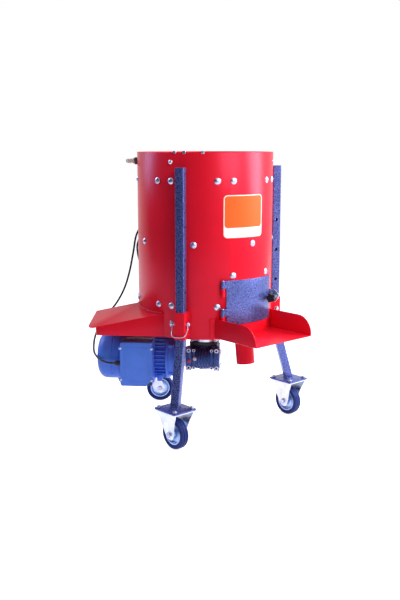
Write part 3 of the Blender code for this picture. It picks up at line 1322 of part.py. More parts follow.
def make_leg(name, azimuth):
    """A leg: upright square tube, splayed lower tube and foot plate, drilled for the lock pin."""
    half = LEG_TUBE / 2
    bend = SOCKET_BOTTOM - LEG_CLEARANCE
    place = turn_z(azimuth)
    upright = block((-half, -LEG_REACH - half, bend - GAP), (half, -LEG_REACH + half, LEG_TOP))
    splay = leg_prism(half, (FOOT_REACH, FOOT_TOP - FOOT_PLATE_THICKNESS / 2), (LEG_REACH, bend))
    leg = union(upright, splay)
    leg.transform(place)
    foot = foot_frame(azimuth)
    long, wide = FOOT_PLATE_LENGTH / 2, FOOT_PLATE_WIDTH / 2
    plate = prism(rounded_rectangle((-wide, -long), (wide, long), LEG_WALL * 3, 2), CASTER_HEIGHT + GAP, FOOT_TOP, foot)
    leg = union(leg, plate)
    inner = half - LEG_WALL
    upper = block((-inner, -LEG_REACH - inner, bend - OVERRUN), (inner, -LEG_REACH + inner, LEG_TOP - LEG_WALL))
    slope = (FOOT_REACH - LEG_REACH) / (bend - FOOT_TOP)
    low_cut = FOOT_TOP + LEG_WALL
    splay_bore = leg_prism(inner, (FOOT_REACH - slope * LEG_WALL, low_cut), (LEG_REACH, bend))
    hollow = union(upper, splay_bore)
    hollow.transform(place)
    leg = cut(leg, hollow)
    holes = []
    for index in range(LEG_HOLE_COUNT):
        height = LOCK_PIN_HEIGHT + index * LEG_HOLE_PITCH
        holes.append(bore(LOCK_PIN_RADIUS, -LEG_TUBE, LEG_TUBE, LEG_HOLE_SIDES,
                          place @ shift(0, -LEG_REACH, height) @ X_AXIS))
    for x, y in caster_bolt_spots():
        holes.append(bore(CASTER_BOLT_RADIUS, CASTER_HEIGHT - OVERRUN, FOOT_TOP + OVERRUN, 6, foot @ shift(x, y, 0)))
    piece("leg_" + name, cut(leg, loose(*holes)), "hammered_paint")


def foot_frame(azimuth):
    """The upright frame at a foot, square to the machine's front."""
    spot = polar(FOOT_REACH, azimuth, 0)
    return shift(spot.x, spot.y, 0)


def caster_bolt_spots():
    """Places of a caster's four bolts from the middle of its plate."""
    x = FOOT_PLATE_WIDTH / 2 - CASTER_BOLT_INSET
    y = FOOT_PLATE_LENGTH / 2 - CASTER_BOLT_INSET
    return [(-x, -y), (x, -y), (x, y), (-x, y)]


def caster_plate(foot):
    """A caster's top plate with its four bolts, nuts up."""
    long, wide = FOOT_PLATE_LENGTH / 2 - LEG_WALL, FOOT_PLATE_WIDTH / 2 - LEG_WALL
    outline = rounded_rectangle((-wide, -long), (wide, long), LEG_WALL * 3, 2)
    plate = prism(outline, SWIVEL_PLATE_UNDERSIDE, CASTER_HEIGHT, foot)
    nut = FOOT_TOP + GAP
    for x, y in caster_bolt_spots():
        bolt = lathe([
            (0, SWIVEL_PLATE_UNDERSIDE + GAP), (CASTER_BOLT_RADIUS, SWIVEL_PLATE_UNDERSIDE + GAP),
            (CASTER_BOLT_RADIUS, nut), (CASTER_NUT_RADIUS, nut), (CASTER_NUT_RADIUS, nut + CASTER_NUT_HEIGHT),
            (0, nut + CASTER_NUT_HEIGHT)], 6, foot @ shift(x, y, 0))
        plate = union(plate, bolt)
    return plate


def cheek_slope():
    """The angle at which a rigid caster's cheeks draw in, and their length."""
    drop = SWIVEL_PLATE_UNDERSIDE + FUSE - CHEEK_BOTTOM
    inset = FIXED_CHEEK_TOP_HALF_GAP - CHEEK_HALF_GAP
    return math.atan2(inset, drop), math.hypot(inset, drop)


def cheek(side, place, top_half_length):
    """One side of a rigid caster's fork, which narrows and draws in from the plate to the axle."""
    draw, length = cheek_slope()
    round_end = arc((0, CHEEK_END_RADIUS), CHEEK_END_RADIUS, 200, 340, 4)
    waist, waist_height = CHEEK_WAIST_HALF_LENGTH, length * CHEEK_WAIST_RISE
    outline = round_end + [(waist, waist_height), (top_half_length, length), (-top_half_length, length),
                           (-waist, waist_height)]
    if side > 0:
        slab = prism(outline, 0, CASTER_SHEET, X_AXIS)
    else:
        slab = prism(outline, -CASTER_SHEET, 0, X_AXIS)
    tilt = Matrix.Rotation(side * draw, 4, "Y")
    slab.transform(place @ shift(side * CHEEK_HALF_GAP, 0, CHEEK_BOTTOM) @ tilt)
    return slab


def axle_hole(place):
    """The cutter for a fork's axle holes."""
    return bore(AXLE_RADIUS, -FOOT_PLATE_WIDTH, FOOT_PLATE_WIDTH, 10, place @ shift(0, 0, WHEEL_RADIUS) @ X_AXIS)


def make_fixed_caster(name, azimuth):
    """A rigid caster: plate with two drawn-in cheeks, and its wheel."""
    foot = foot_frame(azimuth)
    fork = caster_plate(foot)
    half_length = FOOT_PLATE_LENGTH / 2 - LEG_WALL * 2
    for side in (-1, 1):
        fork = union(fork, cheek(side, foot, half_length))
    fork = cut(fork, axle_hole(foot))
    piece("caster_fork_" + name, fork, "zinc")
    make_wheel(name, foot, None, (CHEEK_END_RADIUS + AXLE_HEAD_RADIUS) * math.tan(cheek_slope()[0]) + GAP)


def make_swivel_caster(azimuth):
    """The rear caster: fixed plate with its race, swivelling fork and trailing wheel."""
    foot = foot_frame(azimuth)
    plate = caster_plate(foot)
    bottom = SWIVEL_CROWN_TOP - SWIVEL_RACE_HEIGHT
    crown_low = bottom - SWIVEL_CROWN_THICKNESS
    race = lathe([
        (0, SWIVEL_CROWN_TOP + FUSE), (SWIVEL_CROWN_RADIUS * 0.8, SWIVEL_CROWN_TOP + FUSE),
        (SWIVEL_CROWN_RADIUS * 0.7, bottom + GAP), (KINGPIN_RADIUS, bottom + GAP),
        (KINGPIN_RADIUS, crown_low - GAP), (KINGPIN_RADIUS * 1.6, crown_low - GAP),
        (KINGPIN_RADIUS * 1.6, crown_low - GAP - OVERRUN), (0, crown_low - GAP - OVERRUN)], 16, foot)
    piece("caster_plate_rear", union(plate, race), "zinc")
    axis = polar(FOOT_REACH, azimuth, SWIVEL_CROWN_TOP)
    swivel = joint_empty("rear_swivel", axis)
    turn = foot @ turn_z(SWIVEL_AZIMUTH)
    wheel_place = turn @ shift(0, -SWIVEL_TRAIL, 0)
    crown = ring(SWIVEL_CROWN_RADIUS, clear_bore(KINGPIN_RADIUS, 16), crown_low, bottom, 16, foot)
    drop = crown_low - WHEEL_RADIUS
    fork = crown
    for side in (-1, 1):
        outline = arc((0, 0), CHEEK_END_RADIUS, 170, 330, 5)
        outline += [(SWIVEL_TRAIL + SWIVEL_CROWN_RADIUS * 0.55, drop + SWIVEL_CROWN_THICKNESS / 2),
                    (SWIVEL_TRAIL - SWIVEL_CROWN_RADIUS * 0.8, drop + SWIVEL_CROWN_THICKNESS / 2)]
        low, high = (CHEEK_HALF_GAP, CHEEK_HALF_GAP + CASTER_SHEET) if side > 0 else (-CHEEK_HALF_GAP - CASTER_SHEET,
                                                                                       -CHEEK_HALF_GAP)
        slab = prism(outline, low, high, wheel_place @ shift(0, 0, WHEEL_RADIUS) @ X_AXIS)
        fork = union(fork, slab)
    fork = cut(fork, axle_hole(wheel_place))
    piece("caster_fork_rear", fork, "zinc", origin=axis, parent=swivel)
    make_wheel("rear", wheel_place, swivel, 0)


def make_wheel(name, place, parent, cheek_spread):
    """A wheel: rubber tyre, pressed rim and the axle bolt that the fork holds."""
    line = place @ shift(0, 0, WHEEL_RADIUS) @ X_AXIS
    centre = line @ Vector((0, 0, 0))
    spin = joint_empty("wheel_spin_" + name, centre, parent)
    half = WHEEL_TREAD_WIDTH / 2
    bead = clear_bore(RIM_RADIUS, WHEEL_SEGMENTS)
    # The segments are turned so that a flat one lies on the floor; the tread's radius reaches its middle.
    flat = WHEEL_RADIUS / math.cos(math.pi / WHEEL_SEGMENTS)
    tyre = lathe([
        (bead, -half * 0.8), (bead + (flat - bead) * 0.5, -half), (flat, -half * 0.55), (flat, half * 0.55),
        (bead + (flat - bead) * 0.5, half), (bead, half * 0.8)], WHEEL_SEGMENTS, line, phase=0.5)
    piece("tyre_" + name, tyre, "black_rubber", origin=centre, parent=spin)
    rim_half, hub_half = RIM_WIDTH / 2, RIM_HUB_WIDTH / 2
    axle_bore = clear_bore(AXLE_RADIUS, RIM_SEGMENTS)
    web = CASTER_SHEET / 2
    rim = lathe([
        (RIM_RADIUS, -rim_half), (RIM_RADIUS, rim_half), (RIM_RADIUS - web * 2.5, web), (RIM_HUB_RADIUS, web),
        (RIM_HUB_RADIUS * 0.9, hub_half), (axle_bore, hub_half), (axle_bore, -hub_half),
        (RIM_HUB_RADIUS * 0.9, -hub_half), (RIM_HUB_RADIUS, -web), (RIM_RADIUS - web * 2.5, -web)], RIM_SEGMENTS, line)
    piece("rim_" + name, rim, "blue_rim", origin=centre, parent=spin)
    grip = CHEEK_HALF_GAP + CASTER_SHEET + cheek_spread + GAP
    axle = lathe([
        (0, -grip - AXLE_HEAD_THICKNESS), (AXLE_HEAD_RADIUS, -grip - AXLE_HEAD_THICKNESS), (AXLE_HEAD_RADIUS, -grip),
        (AXLE_RADIUS, -grip), (AXLE_RADIUS, grip), (AXLE_HEAD_RADIUS, grip),
        (AXLE_HEAD_RADIUS, grip + AXLE_HEAD_THICKNESS), (0, grip + AXLE_HEAD_THICKNESS)], 10, line)
    piece("axle_" + name, axle, "zinc", origin=centre, parent=parent)


def make_lock_pin(name, azimuth):
    """A lock pin through socket and leg, with its wire keeper hanging over the socket."""
    place = turn_z(azimuth) @ shift(0, -LEG_REACH, LOCK_PIN_HEIGHT)
    half = SOCKET_WIDTH / 2
    line = place @ X_AXIS
    pin = lathe([
        (0, -half - LOCK_PIN_HEAD), (LOCK_PIN_RADIUS * 0.8, -half - LOCK_PIN_HEAD), (LOCK_PIN_RADIUS, -half - LOCK_PIN_HEAD * 0.9),
        (LOCK_PIN_RADIUS, half + LOCK_PIN_TIP * 0.8), (LOCK_PIN_RADIUS * 0.7, half + LOCK_PIN_TIP),
        (0, half + LOCK_PIN_TIP)], 9, line)
    piece("lock_pin_" + name, pin, "zinc")
    swing = joint_empty("keeper_swing_" + name, place @ Vector((0, 0, 0)))
    left = -half - LOCK_PIN_HEAD / 2
    right = half + LOCK_PIN_TIP / 2
    eye = KEEPER_EYE_RADIUS
    route_shares = ((0, 0.35), (0, 0.65), (0.05, 0.86), (0.18, 0.97), (0.42, 1), (0.66, 0.98), (0.84, 0.9),
                    (0.95, 0.7), (1, 0.42))
    lean = Matrix.Rotation(math.radians(-KEEPER_LEAN), 4, "X")
    frame = place @ lean
    points = [Vector((left, 0, -eye))]
    for across, down in route_shares:
        points.append(Vector((left + (right - left) * across, 0, -eye - (KEEPER_DROP - eye) * down)))
    points.append(Vector((right, 0, -eye)))
    keeper = wire(smooth_route(points, KEEPER_WIRE_RADIUS * 5.5), KEEPER_WIRE_RADIUS, 5)
    keeper.transform(frame)
    for across in (left, right):
        loop = lathe([(eye + x, across + y) for x, y in arc((0, 0), KEEPER_WIRE_RADIUS, 0, 270, 3)], 8, frame @ X_AXIS)
        keeper = union(keeper, loop)
    piece("pin_keeper_" + name, keeper, "zinc", origin=place @ Vector((0, 0, 0)), parent=swing)


def make_switch_box():
    """The switch box on the rear leg, with its turn knob and two cable glands."""
    place = turn_z(LEG_AZIMUTHS["rear"])
    half = SWITCH_WIDTH / 2
    front = -SWITCH_BACK - SWITCH_DEPTH
    outline = rounded_rectangle((-half, front), (half, -SWITCH_BACK), SWITCH_WALL * 2, 2)
    box = prism(outline, SWITCH_BASE, SWITCH_BASE + SWITCH_HEIGHT, place)
    wall = SWITCH_WALL
    pocket = block((-half + wall, front + wall, SWITCH_BASE + wall), (half - wall, -SWITCH_BACK - wall,
                   SWITCH_BASE + SWITCH_HEIGHT - wall), place)
    middle = -SWITCH_BACK - SWITCH_DEPTH / 2
    for side in (-1, 1):
        gland_place = place @ shift(side * SWITCH_GLAND_SPREAD, middle, SWITCH_BASE)
        gland = lathe([
            (0, wall), (GLAND_RADIUS, wall), (GLAND_RADIUS, -GLAND_LENGTH * 0.4), (GLAND_RADIUS * 0.85, -GLAND_LENGTH * 0.5),
            (CORD_RADIUS * 1.25, -GLAND_LENGTH), (0, -GLAND_LENGTH)], 10, gland_place)
        box = union(box, gland)
    box = cut(box, pocket)
    height = SWITCH_BASE + SWITCH_HEIGHT * 0.55
    knob_line = place @ shift(0, front, height) @ MINUS_Y_AXIS
    box = cut(box, bore(SWITCH_SPINDLE_RADIUS, -2 * wall, OVERRUN, 12, knob_line))
    piece("switch_box", box, "black_plastic")
    turn = joint_empty("switch_turn", knob_line @ Vector((0, 0, 0)))
    knob = lathe([
        (0, -2 * wall), (SWITCH_SPINDLE_RADIUS, -2 * wall), (SWITCH_SPINDLE_RADIUS, GAP), (SWITCH_KNOB_RADIUS, GAP),
        (SWITCH_KNOB_RADIUS, SWITCH_KNOB_LENGTH * 0.4), (0, SWITCH_KNOB_LENGTH * 0.4)], 16, knob_line)
    grip = block((-SWITCH_KNOB_RADIUS * 0.9, -SWITCH_SPINDLE_RADIUS, SWITCH_KNOB_LENGTH * 0.3),
                 (SWITCH_KNOB_RADIUS * 0.9, SWITCH_SPINDLE_RADIUS, SWITCH_KNOB_LENGTH), knob_line)
    piece("switch_knob", union(knob, grip), "red_paint", origin=knob_line @ Vector((0, 0, 0)), parent=turn)
    ends = []
    for side in (-1, 1):
        ends.append(place @ Vector((side * SWITCH_GLAND_SPREAD, middle, SWITCH_BASE - GLAND_LENGTH - GAP)))
    return ends


def coil_path():
    """The coil's centre line: in along the floor, up a layer, out again and level into the plug."""
    layer_height = CORD_RADIUS + GAP
    steps = COIL_POINTS_PER_LOOP
    centre = Vector((*COIL_CENTRE, 0))
    start = math.radians(COIL_START_AZIMUTH)
    points = []
    angle = start
    radius = COIL_OUTER_RADIUS
    height = layer_height
    count = COIL_TURNS_PER_LAYER * steps
    for index in range(count + 1):
        points.append(centre + Vector((radius * math.cos(angle), radius * math.sin(angle), height)))
        if index < count:
            angle += 2 * math.pi / steps
            radius -= COIL_TURN_PITCH / steps
    climb = steps // 4
    for index in range(climb):
        angle += 2 * math.pi / steps
        height = layer_height + COIL_LAYER_RISE * (index + 1) / climb
        points.append(centre + Vector((radius * math.cos(angle), radius * math.sin(angle), height)))
    for index in range(count):
        angle += 2 * math.pi / steps
        radius += COIL_TURN_PITCH / steps
        points.append(centre + Vector((radius * math.cos(angle), radius * math.sin(angle), height)))
    tangent = (points[-1] - points[-2]).normalized()
    tangent.z = 0
    rise = PLUG_RADIUS + GAP - height
    first = points[-1]
    for index in range(1, 7):
        share = index / 6
        eased = share * share * (3 - 2 * share)
        points.append(first + tangent * PLUG_LEAD_IN * share + Vector((0, 0, rise * eased)))
    points.append(points[-1] + tangent * CORD_DIAMETER)
    lead_in = -(points[1] - points[0]).normalized() * CORD_DIAMETER
    points.insert(0, points[0] + Vector((lead_in.x, lead_in.y, 0)))
    return points


def least_gap(points, skip):
    """The least gap between a tube's surface and itself, along its centre line."""
    least = math.inf
    for i, p in enumerate(points):
        for j in range(i + skip, len(points)):
            least = min(least, (points[j] - p).length)
    return least - CORD_DIAMETER


def make_cords(gland_place, switch_ends):
    """The motor lead, and the supply lead with its coil and plug behind the machine."""
    step = CORD_DIAMETER * CORD_POINT_STEP_DIAMETERS
    gland_end = gland_place @ Vector((0, 0, GLAND_LENGTH + GAP))
    gland_out = gland_place @ Vector((0, 0, GLAND_LENGTH + GAP + CORD_DIAMETER * 2))
    down = Vector((0, 0, -3 * CORD_DIAMETER))
    supply_start, motor_start = sorted(switch_ends, key=lambda end: -end.x)
    motor_route = [motor_start, motor_start + down] + [Vector(p) for p in MOTOR_LEAD_ROUTE] + [gland_out, gland_end]
    motor = smooth_route(motor_route, step)
    cord_object("motor_lead", motor, "black_rubber")
    coil = coil_path()
    ahead = (coil[1] - coil[0]).normalized()
    joint = coil[0] - ahead * GAP
    supply_route = [supply_start, supply_start + down] + [Vector(p) for p in SUPPLY_LEAD_ROUTE]
    supply_route += [joint - ahead * CORD_DIAMETER * 4, joint - ahead * CORD_DIAMETER, joint]
    supply = smooth_route(supply_route, step)
    cord_object("supply_lead", supply, "black_rubber")
    cord_object("supply_coil", coil, "black_rubber", resolution=1)
    make_plug(coil[-1], (coil[-1] - coil[-2]).normalized())
    print("coil least gap mm", round(least_gap(coil, COIL_POINTS_PER_LOOP // 2) * 1000, 3))
    print("lengths m motor", round(route_length(motor), 3), "supply", round(route_length(supply), 3),
          "coil", round(route_length(coil), 3))
    print("lowest lead points m", round(min(p.z for p in motor + supply), 4), round(min(p.z for p in coil), 4))


def make_plug(place, ahead):
    """The round two-pin mains plug with its tapered relief."""
    side = ahead.cross(Vector((0, 0, 1))).normalized()
    up = Vector((0, 0, 1))
    turned = Matrix((( side.x, up.x, ahead.x, place.x), (side.y, up.y, ahead.y, place.y),
                     (side.z, up.z, ahead.z, place.z), (0, 0, 0, 1)))
    start = GAP
    body = start + PLUG_RELIEF_LENGTH
    end = body + PLUG_BODY_LENGTH
    plug = lathe([
        (0, start), (CORD_RADIUS * 1.25, start), (CORD_RADIUS * 1.9, body), (PLUG_RADIUS * 0.75, body),
        (PLUG_RADIUS * 0.82, body + PLUG_BODY_LENGTH * 0.4), (PLUG_RADIUS, body + PLUG_BODY_LENGTH * 0.55),
        (PLUG_RADIUS, end), (0, end)], 14, turned)
    for sign in (-1, 1):
        pin = rod(PLUG_PIN_RADIUS, end - FUSE, end + PLUG_PIN_LENGTH, 6, turned @ shift(sign * PLUG_PIN_SPACING / 2, 0, 0))
        plug = union(plug, pin)
    piece("supply_plug", plug, "black_plastic")


def centre_on_base():
    """Move the whole machine so that its box stands centred on the origin, cords left out."""
    bpy.context.view_layer.update()
    graph = bpy.context.evaluated_depsgraph_get()
    low = Vector((math.inf, math.inf, math.inf))
    high = -low
    for item in bpy.context.scene.objects:
        if item.type != "MESH" or item.name == "supply_plug":
            continue
        shape = item.evaluated_get(graph)
        for vert in shape.data.vertices:
            point = shape.matrix_world @ vert.co
            low = Vector(map(min, low, point))
            high = Vector(map(max, high, point))
    ROOT.location = (-(low.x + high.x) / 2, -(low.y + high.y) / 2, -low.z)
    bpy.context.view_layer.update()
    print("machine shift m", tuple(round(value, 6) for value in ROOT.location))
    print("machine size m", tuple(round(value, 4) for value in high - low))


def report_places():
    """Print the world place of each joint's empty."""
    for item in bpy.context.scene.objects:
        if item.type == "EMPTY" and item is not ROOT:
            print("joint", item.name, tuple(round(value, 6) for value in item.matrix_world.translation))


def build_machine():
    """Build every piece of the machine, then stand it on its origin."""
    global ROOT
    clear_scene()
    make_materials()
    ROOT = bpy.data.objects.new("machine", None)
    bpy.context.scene.collection.objects.link(ROOT)
    make_drum_shell()
    make_liner_plates()
    make_drum_floor()
    make_outlet_tube()
    make_tray()
    make_spray_ring()
    make_door()
    make_disc_and_shaft()
    make_gearbox()
    make_motor_shaft()
    gland_place = make_motor()
    make_hood()
    for name, azimuth in LEG_AZIMUTHS.items():
        make_leg(name, azimuth)
        make_lock_pin(name, azimuth)
    for name in ("front_left", "front_right"):
        make_fixed_caster(name, LEG_AZIMUTHS[name])
    make_swivel_caster(LEG_AZIMUTHS["rear"])
    switch_ends = make_switch_box()
    make_cords(gland_place, switch_ends)
    centre_on_base()
    report_places()


build_machine()
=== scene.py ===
"""Looks of the walnut peeling machine: fine forms, finishes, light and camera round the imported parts."""

import json
import logging
import math
from dataclasses import dataclass
from enum import Enum
from typing import Iterable, Sequence

import bmesh
import bpy
from mathutils import Matrix, Vector


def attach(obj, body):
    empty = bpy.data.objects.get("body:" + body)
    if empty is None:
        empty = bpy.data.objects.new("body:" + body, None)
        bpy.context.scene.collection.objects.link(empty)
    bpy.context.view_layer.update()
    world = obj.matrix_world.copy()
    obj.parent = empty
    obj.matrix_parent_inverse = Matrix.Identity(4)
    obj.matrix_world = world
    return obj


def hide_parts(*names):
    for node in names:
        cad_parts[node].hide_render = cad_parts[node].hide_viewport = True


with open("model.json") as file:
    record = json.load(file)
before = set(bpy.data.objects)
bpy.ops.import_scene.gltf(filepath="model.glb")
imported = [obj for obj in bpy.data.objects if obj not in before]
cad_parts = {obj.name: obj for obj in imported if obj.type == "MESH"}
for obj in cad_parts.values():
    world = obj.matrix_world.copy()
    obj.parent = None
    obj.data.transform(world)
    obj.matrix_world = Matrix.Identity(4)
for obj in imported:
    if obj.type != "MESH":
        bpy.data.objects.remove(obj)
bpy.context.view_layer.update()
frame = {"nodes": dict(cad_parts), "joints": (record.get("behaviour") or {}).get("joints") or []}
LOG = logging.getLogger("peeler")
Point = Sequence[float]
Colour = tuple[float, float, float]
Outline = list[tuple[float, float]]


def joint_place(name: str) -> Vector:
    """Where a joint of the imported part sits."""
    return Vector(next(joint["pos_m"] for joint in frame["joints"] if joint["name"] == name))


SPIN_AXIS = joint_place("disc_spin")
SHIFT = Vector((SPIN_AXIS.x, SPIN_AXIS.y, 0))
X_AXIS = Matrix(((0, 0, 1, 0), (1, 0, 0, 0), (0, 1, 0, 0), (0, 0, 0, 1)))
OUTWARD = Matrix(((1, 0, 0, 0), (0, 0, -1, 0), (0, 1, 0, 0), (0, 0, 0, 1)))
FACING = Matrix(((1, 0, 0, 0), (0, 0, 1, 0), (0, 1, 0, 0), (0, 0, 0, 1)))
SIDEWAYS = Matrix(((1, 0, 0, 0), (0, 0, 1, 0), (0, -1, 0, 0), (0, 0, 0, 1)))
HAIR = 0.0003

DRUM_RADIUS = 0.225
DRUM_CONTACT = DRUM_RADIUS + HAIR
DRUM_BOTTOM = 0.337
DRUM_TOP = 0.924
LINER_INSIDE, LINER_OUTSIDE = 0.2195, 0.2215
HINGE_AZIMUTH, HINGE_REACH = -28.4, 0.234
HINGE_BASES = (0.476, 0.386)
LEG_REACH, LEG_HALF = 0.246, 0.014
FOOT_REACH, FOOT_TOP = 0.304, 0.1325
PIN_HEIGHT = 0.390
MOTOR_AXIS, MOTOR_LATERAL = 0.236, 0.050
GLAND_REACH = 0.026
SWITCH_BOTTOM, SWITCH_SPREAD = 0.735, 0.021


def turned(degrees: float) -> Matrix:
    """A turn about the machine's upright axis."""
    return Matrix.Rotation(math.radians(degrees), 4, "Z")


def moved(x: float, y: float, z: float) -> Matrix:
    """A move without a turn."""
    return Matrix.Translation((x, y, z))


def around(azimuth: float, reach: float, height: float) -> Vector:
    """A point at an azimuth of the drum, counted from its front towards the right."""
    return turned(azimuth) @ Vector((0, -reach, height))


def outward(azimuth: float, height: float) -> Matrix:
    """A frame on the drum's axis whose +Z points out at an azimuth."""
    return turned(azimuth) @ moved(0, 0, height) @ OUTWARD


def arc(centre: Point, radius: float, start: float, end: float, steps: int) -> Outline:
    """Points of an arc, both ends included, in degrees."""
    points = []
    for index in range(steps + 1):
        angle = math.radians(start + (end - start) * index / steps)
        points.append((centre[0] + radius * math.cos(angle), centre[1] + radius * math.sin(angle)))
    return points


def rounded(low: Point, high: Point, radius: float, steps: int = 6) -> Outline:
    """The outline of a rectangle with round corners."""
    points = arc((high[0] - radius, high[1] - radius), radius, 0, 90, steps)
    points += arc((low[0] + radius, high[1] - radius), radius, 90, 180, steps)
    points += arc((low[0] + radius, low[1] + radius), radius, 180, 270, steps)
    points += arc((high[0] - radius, low[1] + radius), radius, 270, 360, steps)
    return points


def centred(half_width: float, half_length: float, radius: float, steps: int = 6) -> Outline:
    """A rectangle with round corners about the origin."""
    return rounded((-half_width, -half_length), (half_width, half_length), radius, steps)


def polar(reaches: Iterable[float]) -> Outline:
    """Points evenly round the origin, each at its own reach."""
    reaches = list(reaches)
    step = 2 * math.pi / len(reaches)
    return [(reach * math.cos(step * index), reach * math.sin(step * index))
            for index, reach in enumerate(reaches)]


MOTOR_AHEAD = around(-138, 1, 0)
MOTOR_SIDE = Vector((-MOTOR_AHEAD.y, MOTOR_AHEAD.x, 0))
MOTOR_FRAME = Matrix((MOTOR_AHEAD, MOTOR_SIDE, (0, 0, 1))).transposed().to_4x4()
MOTOR_LINE = MOTOR_FRAME @ moved(0, MOTOR_LATERAL, MOTOR_AXIS) @ X_AXIS
GLAND_LINE = MOTOR_FRAME @ moved(0.2635, 0.152, 0.234) @ X_AXIS
QUARTERS = [turned(45 + 90 * index) for index in range(4)]
LEGS = {"front_left": -60.0, "front_right": 60.0, "rear": 180.0}


def motor_side(along: float, lateral: float, height: float) -> Matrix:
    """A frame whose +Z points sideways out of the motor, +X along it."""
    return MOTOR_FRAME @ moved(along, lateral, height) @ SIDEWAYS


def motor_corners(reach: float, along: float) -> list[Matrix]:
    """Frames at four corners round the motor's axis, not turned."""
    return [MOTOR_LINE @ moved(x, y, along) for x, y in arc((0, 0), reach, 45, 315, 3)]


def over_foot(azimuth: float) -> Matrix:
    """The upright frame over a foot, square to the machine's front."""
    spot = around(azimuth, FOOT_REACH, 0)
    return moved(spot.x, spot.y, 0)


def linked(name: str, data: bpy.types.ID) -> bpy.types.Object:
    """A new object in the scene."""
    item = bpy.data.objects.new(name, data)
    bpy.context.scene.collection.objects.link(item)
    return item


# ---------------------------------------------------------------- finishes


class Channel:
    """A node's output on which Python's operators add Math nodes."""

    def __init__(self, recipe: "Recipe", socket: bpy.types.NodeSocket) -> None:
        """Wraps one output socket of a recipe."""
        self.recipe = recipe
        self.socket = socket

    def maths(self, operation: str, first: object, second: object) -> "Channel":
        """Adds one Math node.

        Args:
            operation: the node's operation.
            first: its first value or link.
            second: its second value or link.

        Returns:
            The node's output.
        """
        return self.recipe.node("ShaderNodeMath", {"operation": operation}, {0: first, 1: second})

    def __add__(self, other: object) -> "Channel":
        """The sum."""
        return self.maths("ADD", self, other)

    def __radd__(self, other: object) -> "Channel":
        """The sum, turned round."""
        return self.maths("ADD", other, self)

    def __mul__(self, other: object) -> "Channel":
        """The product."""
        return self.maths("MULTIPLY", self, other)


class Recipe:
    """The node tree of one material, with its Principled shader."""

    def __init__(self, name: str) -> None:
        """Starts a material with a bare Principled shader."""
        self.material = bpy.data.materials.new(name)
        self.material.use_nodes = True
        self.tree = self.material.node_tree
        self.shader = next(n for n in self.tree.nodes if n.type == "BSDF_PRINCIPLED")
        self.place = self.node("ShaderNodeTexCoord", {}, {}, "Object")

    def node(self, kind: str, settings: dict, inputs: dict, output: object = 0) -> Channel:
        """Adds a node.

        Args:
            kind: the node's type.
            settings: attributes that are set first; "stops" gives a ramp its positions and colours.
            inputs: values or channels of its sockets.
            output: the output that is wanted.

        Returns:
            That output.
        """
        made = self.tree.nodes.new(kind)
        for name, value in settings.items():
            if name == "stops":
                self.fill_ramp(made.color_ramp, value)
            else:
                setattr(made, name, value)
        for name, value in inputs.items():
            if isinstance(value, Channel):
                self.tree.links.new(value.socket, made.inputs[name])
            else:
                made.inputs[name].default_value = value
        return Channel(self, made.outputs[output])

    def fill_ramp(self, ramp: bpy.types.ColorRamp, stops: Sequence[tuple[float, float]]) -> None:
        """Gives a ramp its grey stops."""
        while len(ramp.elements) < len(stops):
            ramp.elements.new(0.5)
        for element, (position, level) in zip(ramp.elements, stops):
            element.position = position
            element.color = (level, level, level, 1)

    def noise(self, scale: float, detail: float = 2, place: Channel | None = None) -> Channel:
        """Soft noise, its scale in features per metre."""
        inputs = {"Vector": place or self.place, "Scale": scale, "Detail": detail}
        return self.node("ShaderNodeTexNoise", {}, inputs)

    def cells(self, scale: float) -> Channel:
        """Rounded cells, their scale in cells per metre."""
        inputs = {"Vector": self.place, "Scale": scale}
        return self.node("ShaderNodeTexVoronoi", {"feature": "SMOOTH_F1"}, inputs)

    def stretched(self, factors: Point) -> Channel:
        """Object coordinates drawn out by factors."""
        return self.node("ShaderNodeMapping", {}, {"Vector": self.place, "Scale": factors})

    def ramp(self, level: Channel, *stops: tuple[float, float]) -> Channel:
        """A level run through grey stops."""
        return self.node("ShaderNodeValToRGB", {"stops": stops}, {"Fac": level})

    def blend(self, share: object, first: object, second: object) -> Channel:
        """One colour laid over another by a share."""
        colours = [c if isinstance(c, Channel) else (*c, 1) for c in (first, second)]
        return self.node("ShaderNodeMix", {"data_type": "RGBA"}, {0: share, 6: colours[0], 7: colours[1]}, 2)

    def relief(self, height: Channel, depth: float, under: Channel | None = None) -> Channel:
        """A bump of a depth in metres, over another one if given."""
        inputs = {"Height": height, "Distance": depth, "Strength": 1.0}
        if under:
            inputs["Normal"] = under
        return self.node("ShaderNodeBump", {}, inputs)

    def shade(self, **sockets: object) -> None:
        """Sets or links sockets of the shader, their names with _ for a space."""
        for name, value in sockets.items():
            socket = self.shader.inputs[name.replace("_", " ")]
            if isinstance(value, Channel):
                self.tree.links.new(value.socket, socket)
            else:
                socket.default_value = (*value, 1) if isinstance(value, tuple) else value


MADE: dict[str, bpy.types.Material] = {}


@dataclass(frozen=True)
class Finish:
    """A surface finish: the record's slot it belongs to, its colour and its roughness."""

    name: str
    slot: str
    colour: Colour
    roughness: float = 0.4

    def material(self) -> bpy.types.Material:
        """The finish as a material, made once."""
        if self.name not in MADE:
            recipe = Recipe(self.name)
            self.dress(recipe)
            MADE[self.name] = recipe.material
        return MADE[self.name]

    def tint(self, share: float) -> Colour:
        """The colour made darker or lighter by a share."""
        return tuple(min(1.0, level * share) for level in self.colour)

    def dress(self, recipe: Recipe) -> None:
        """Builds the nodes; each kind of finish has its own."""
        recipe.shade(Base_Color=self.colour, Roughness=self.roughness)


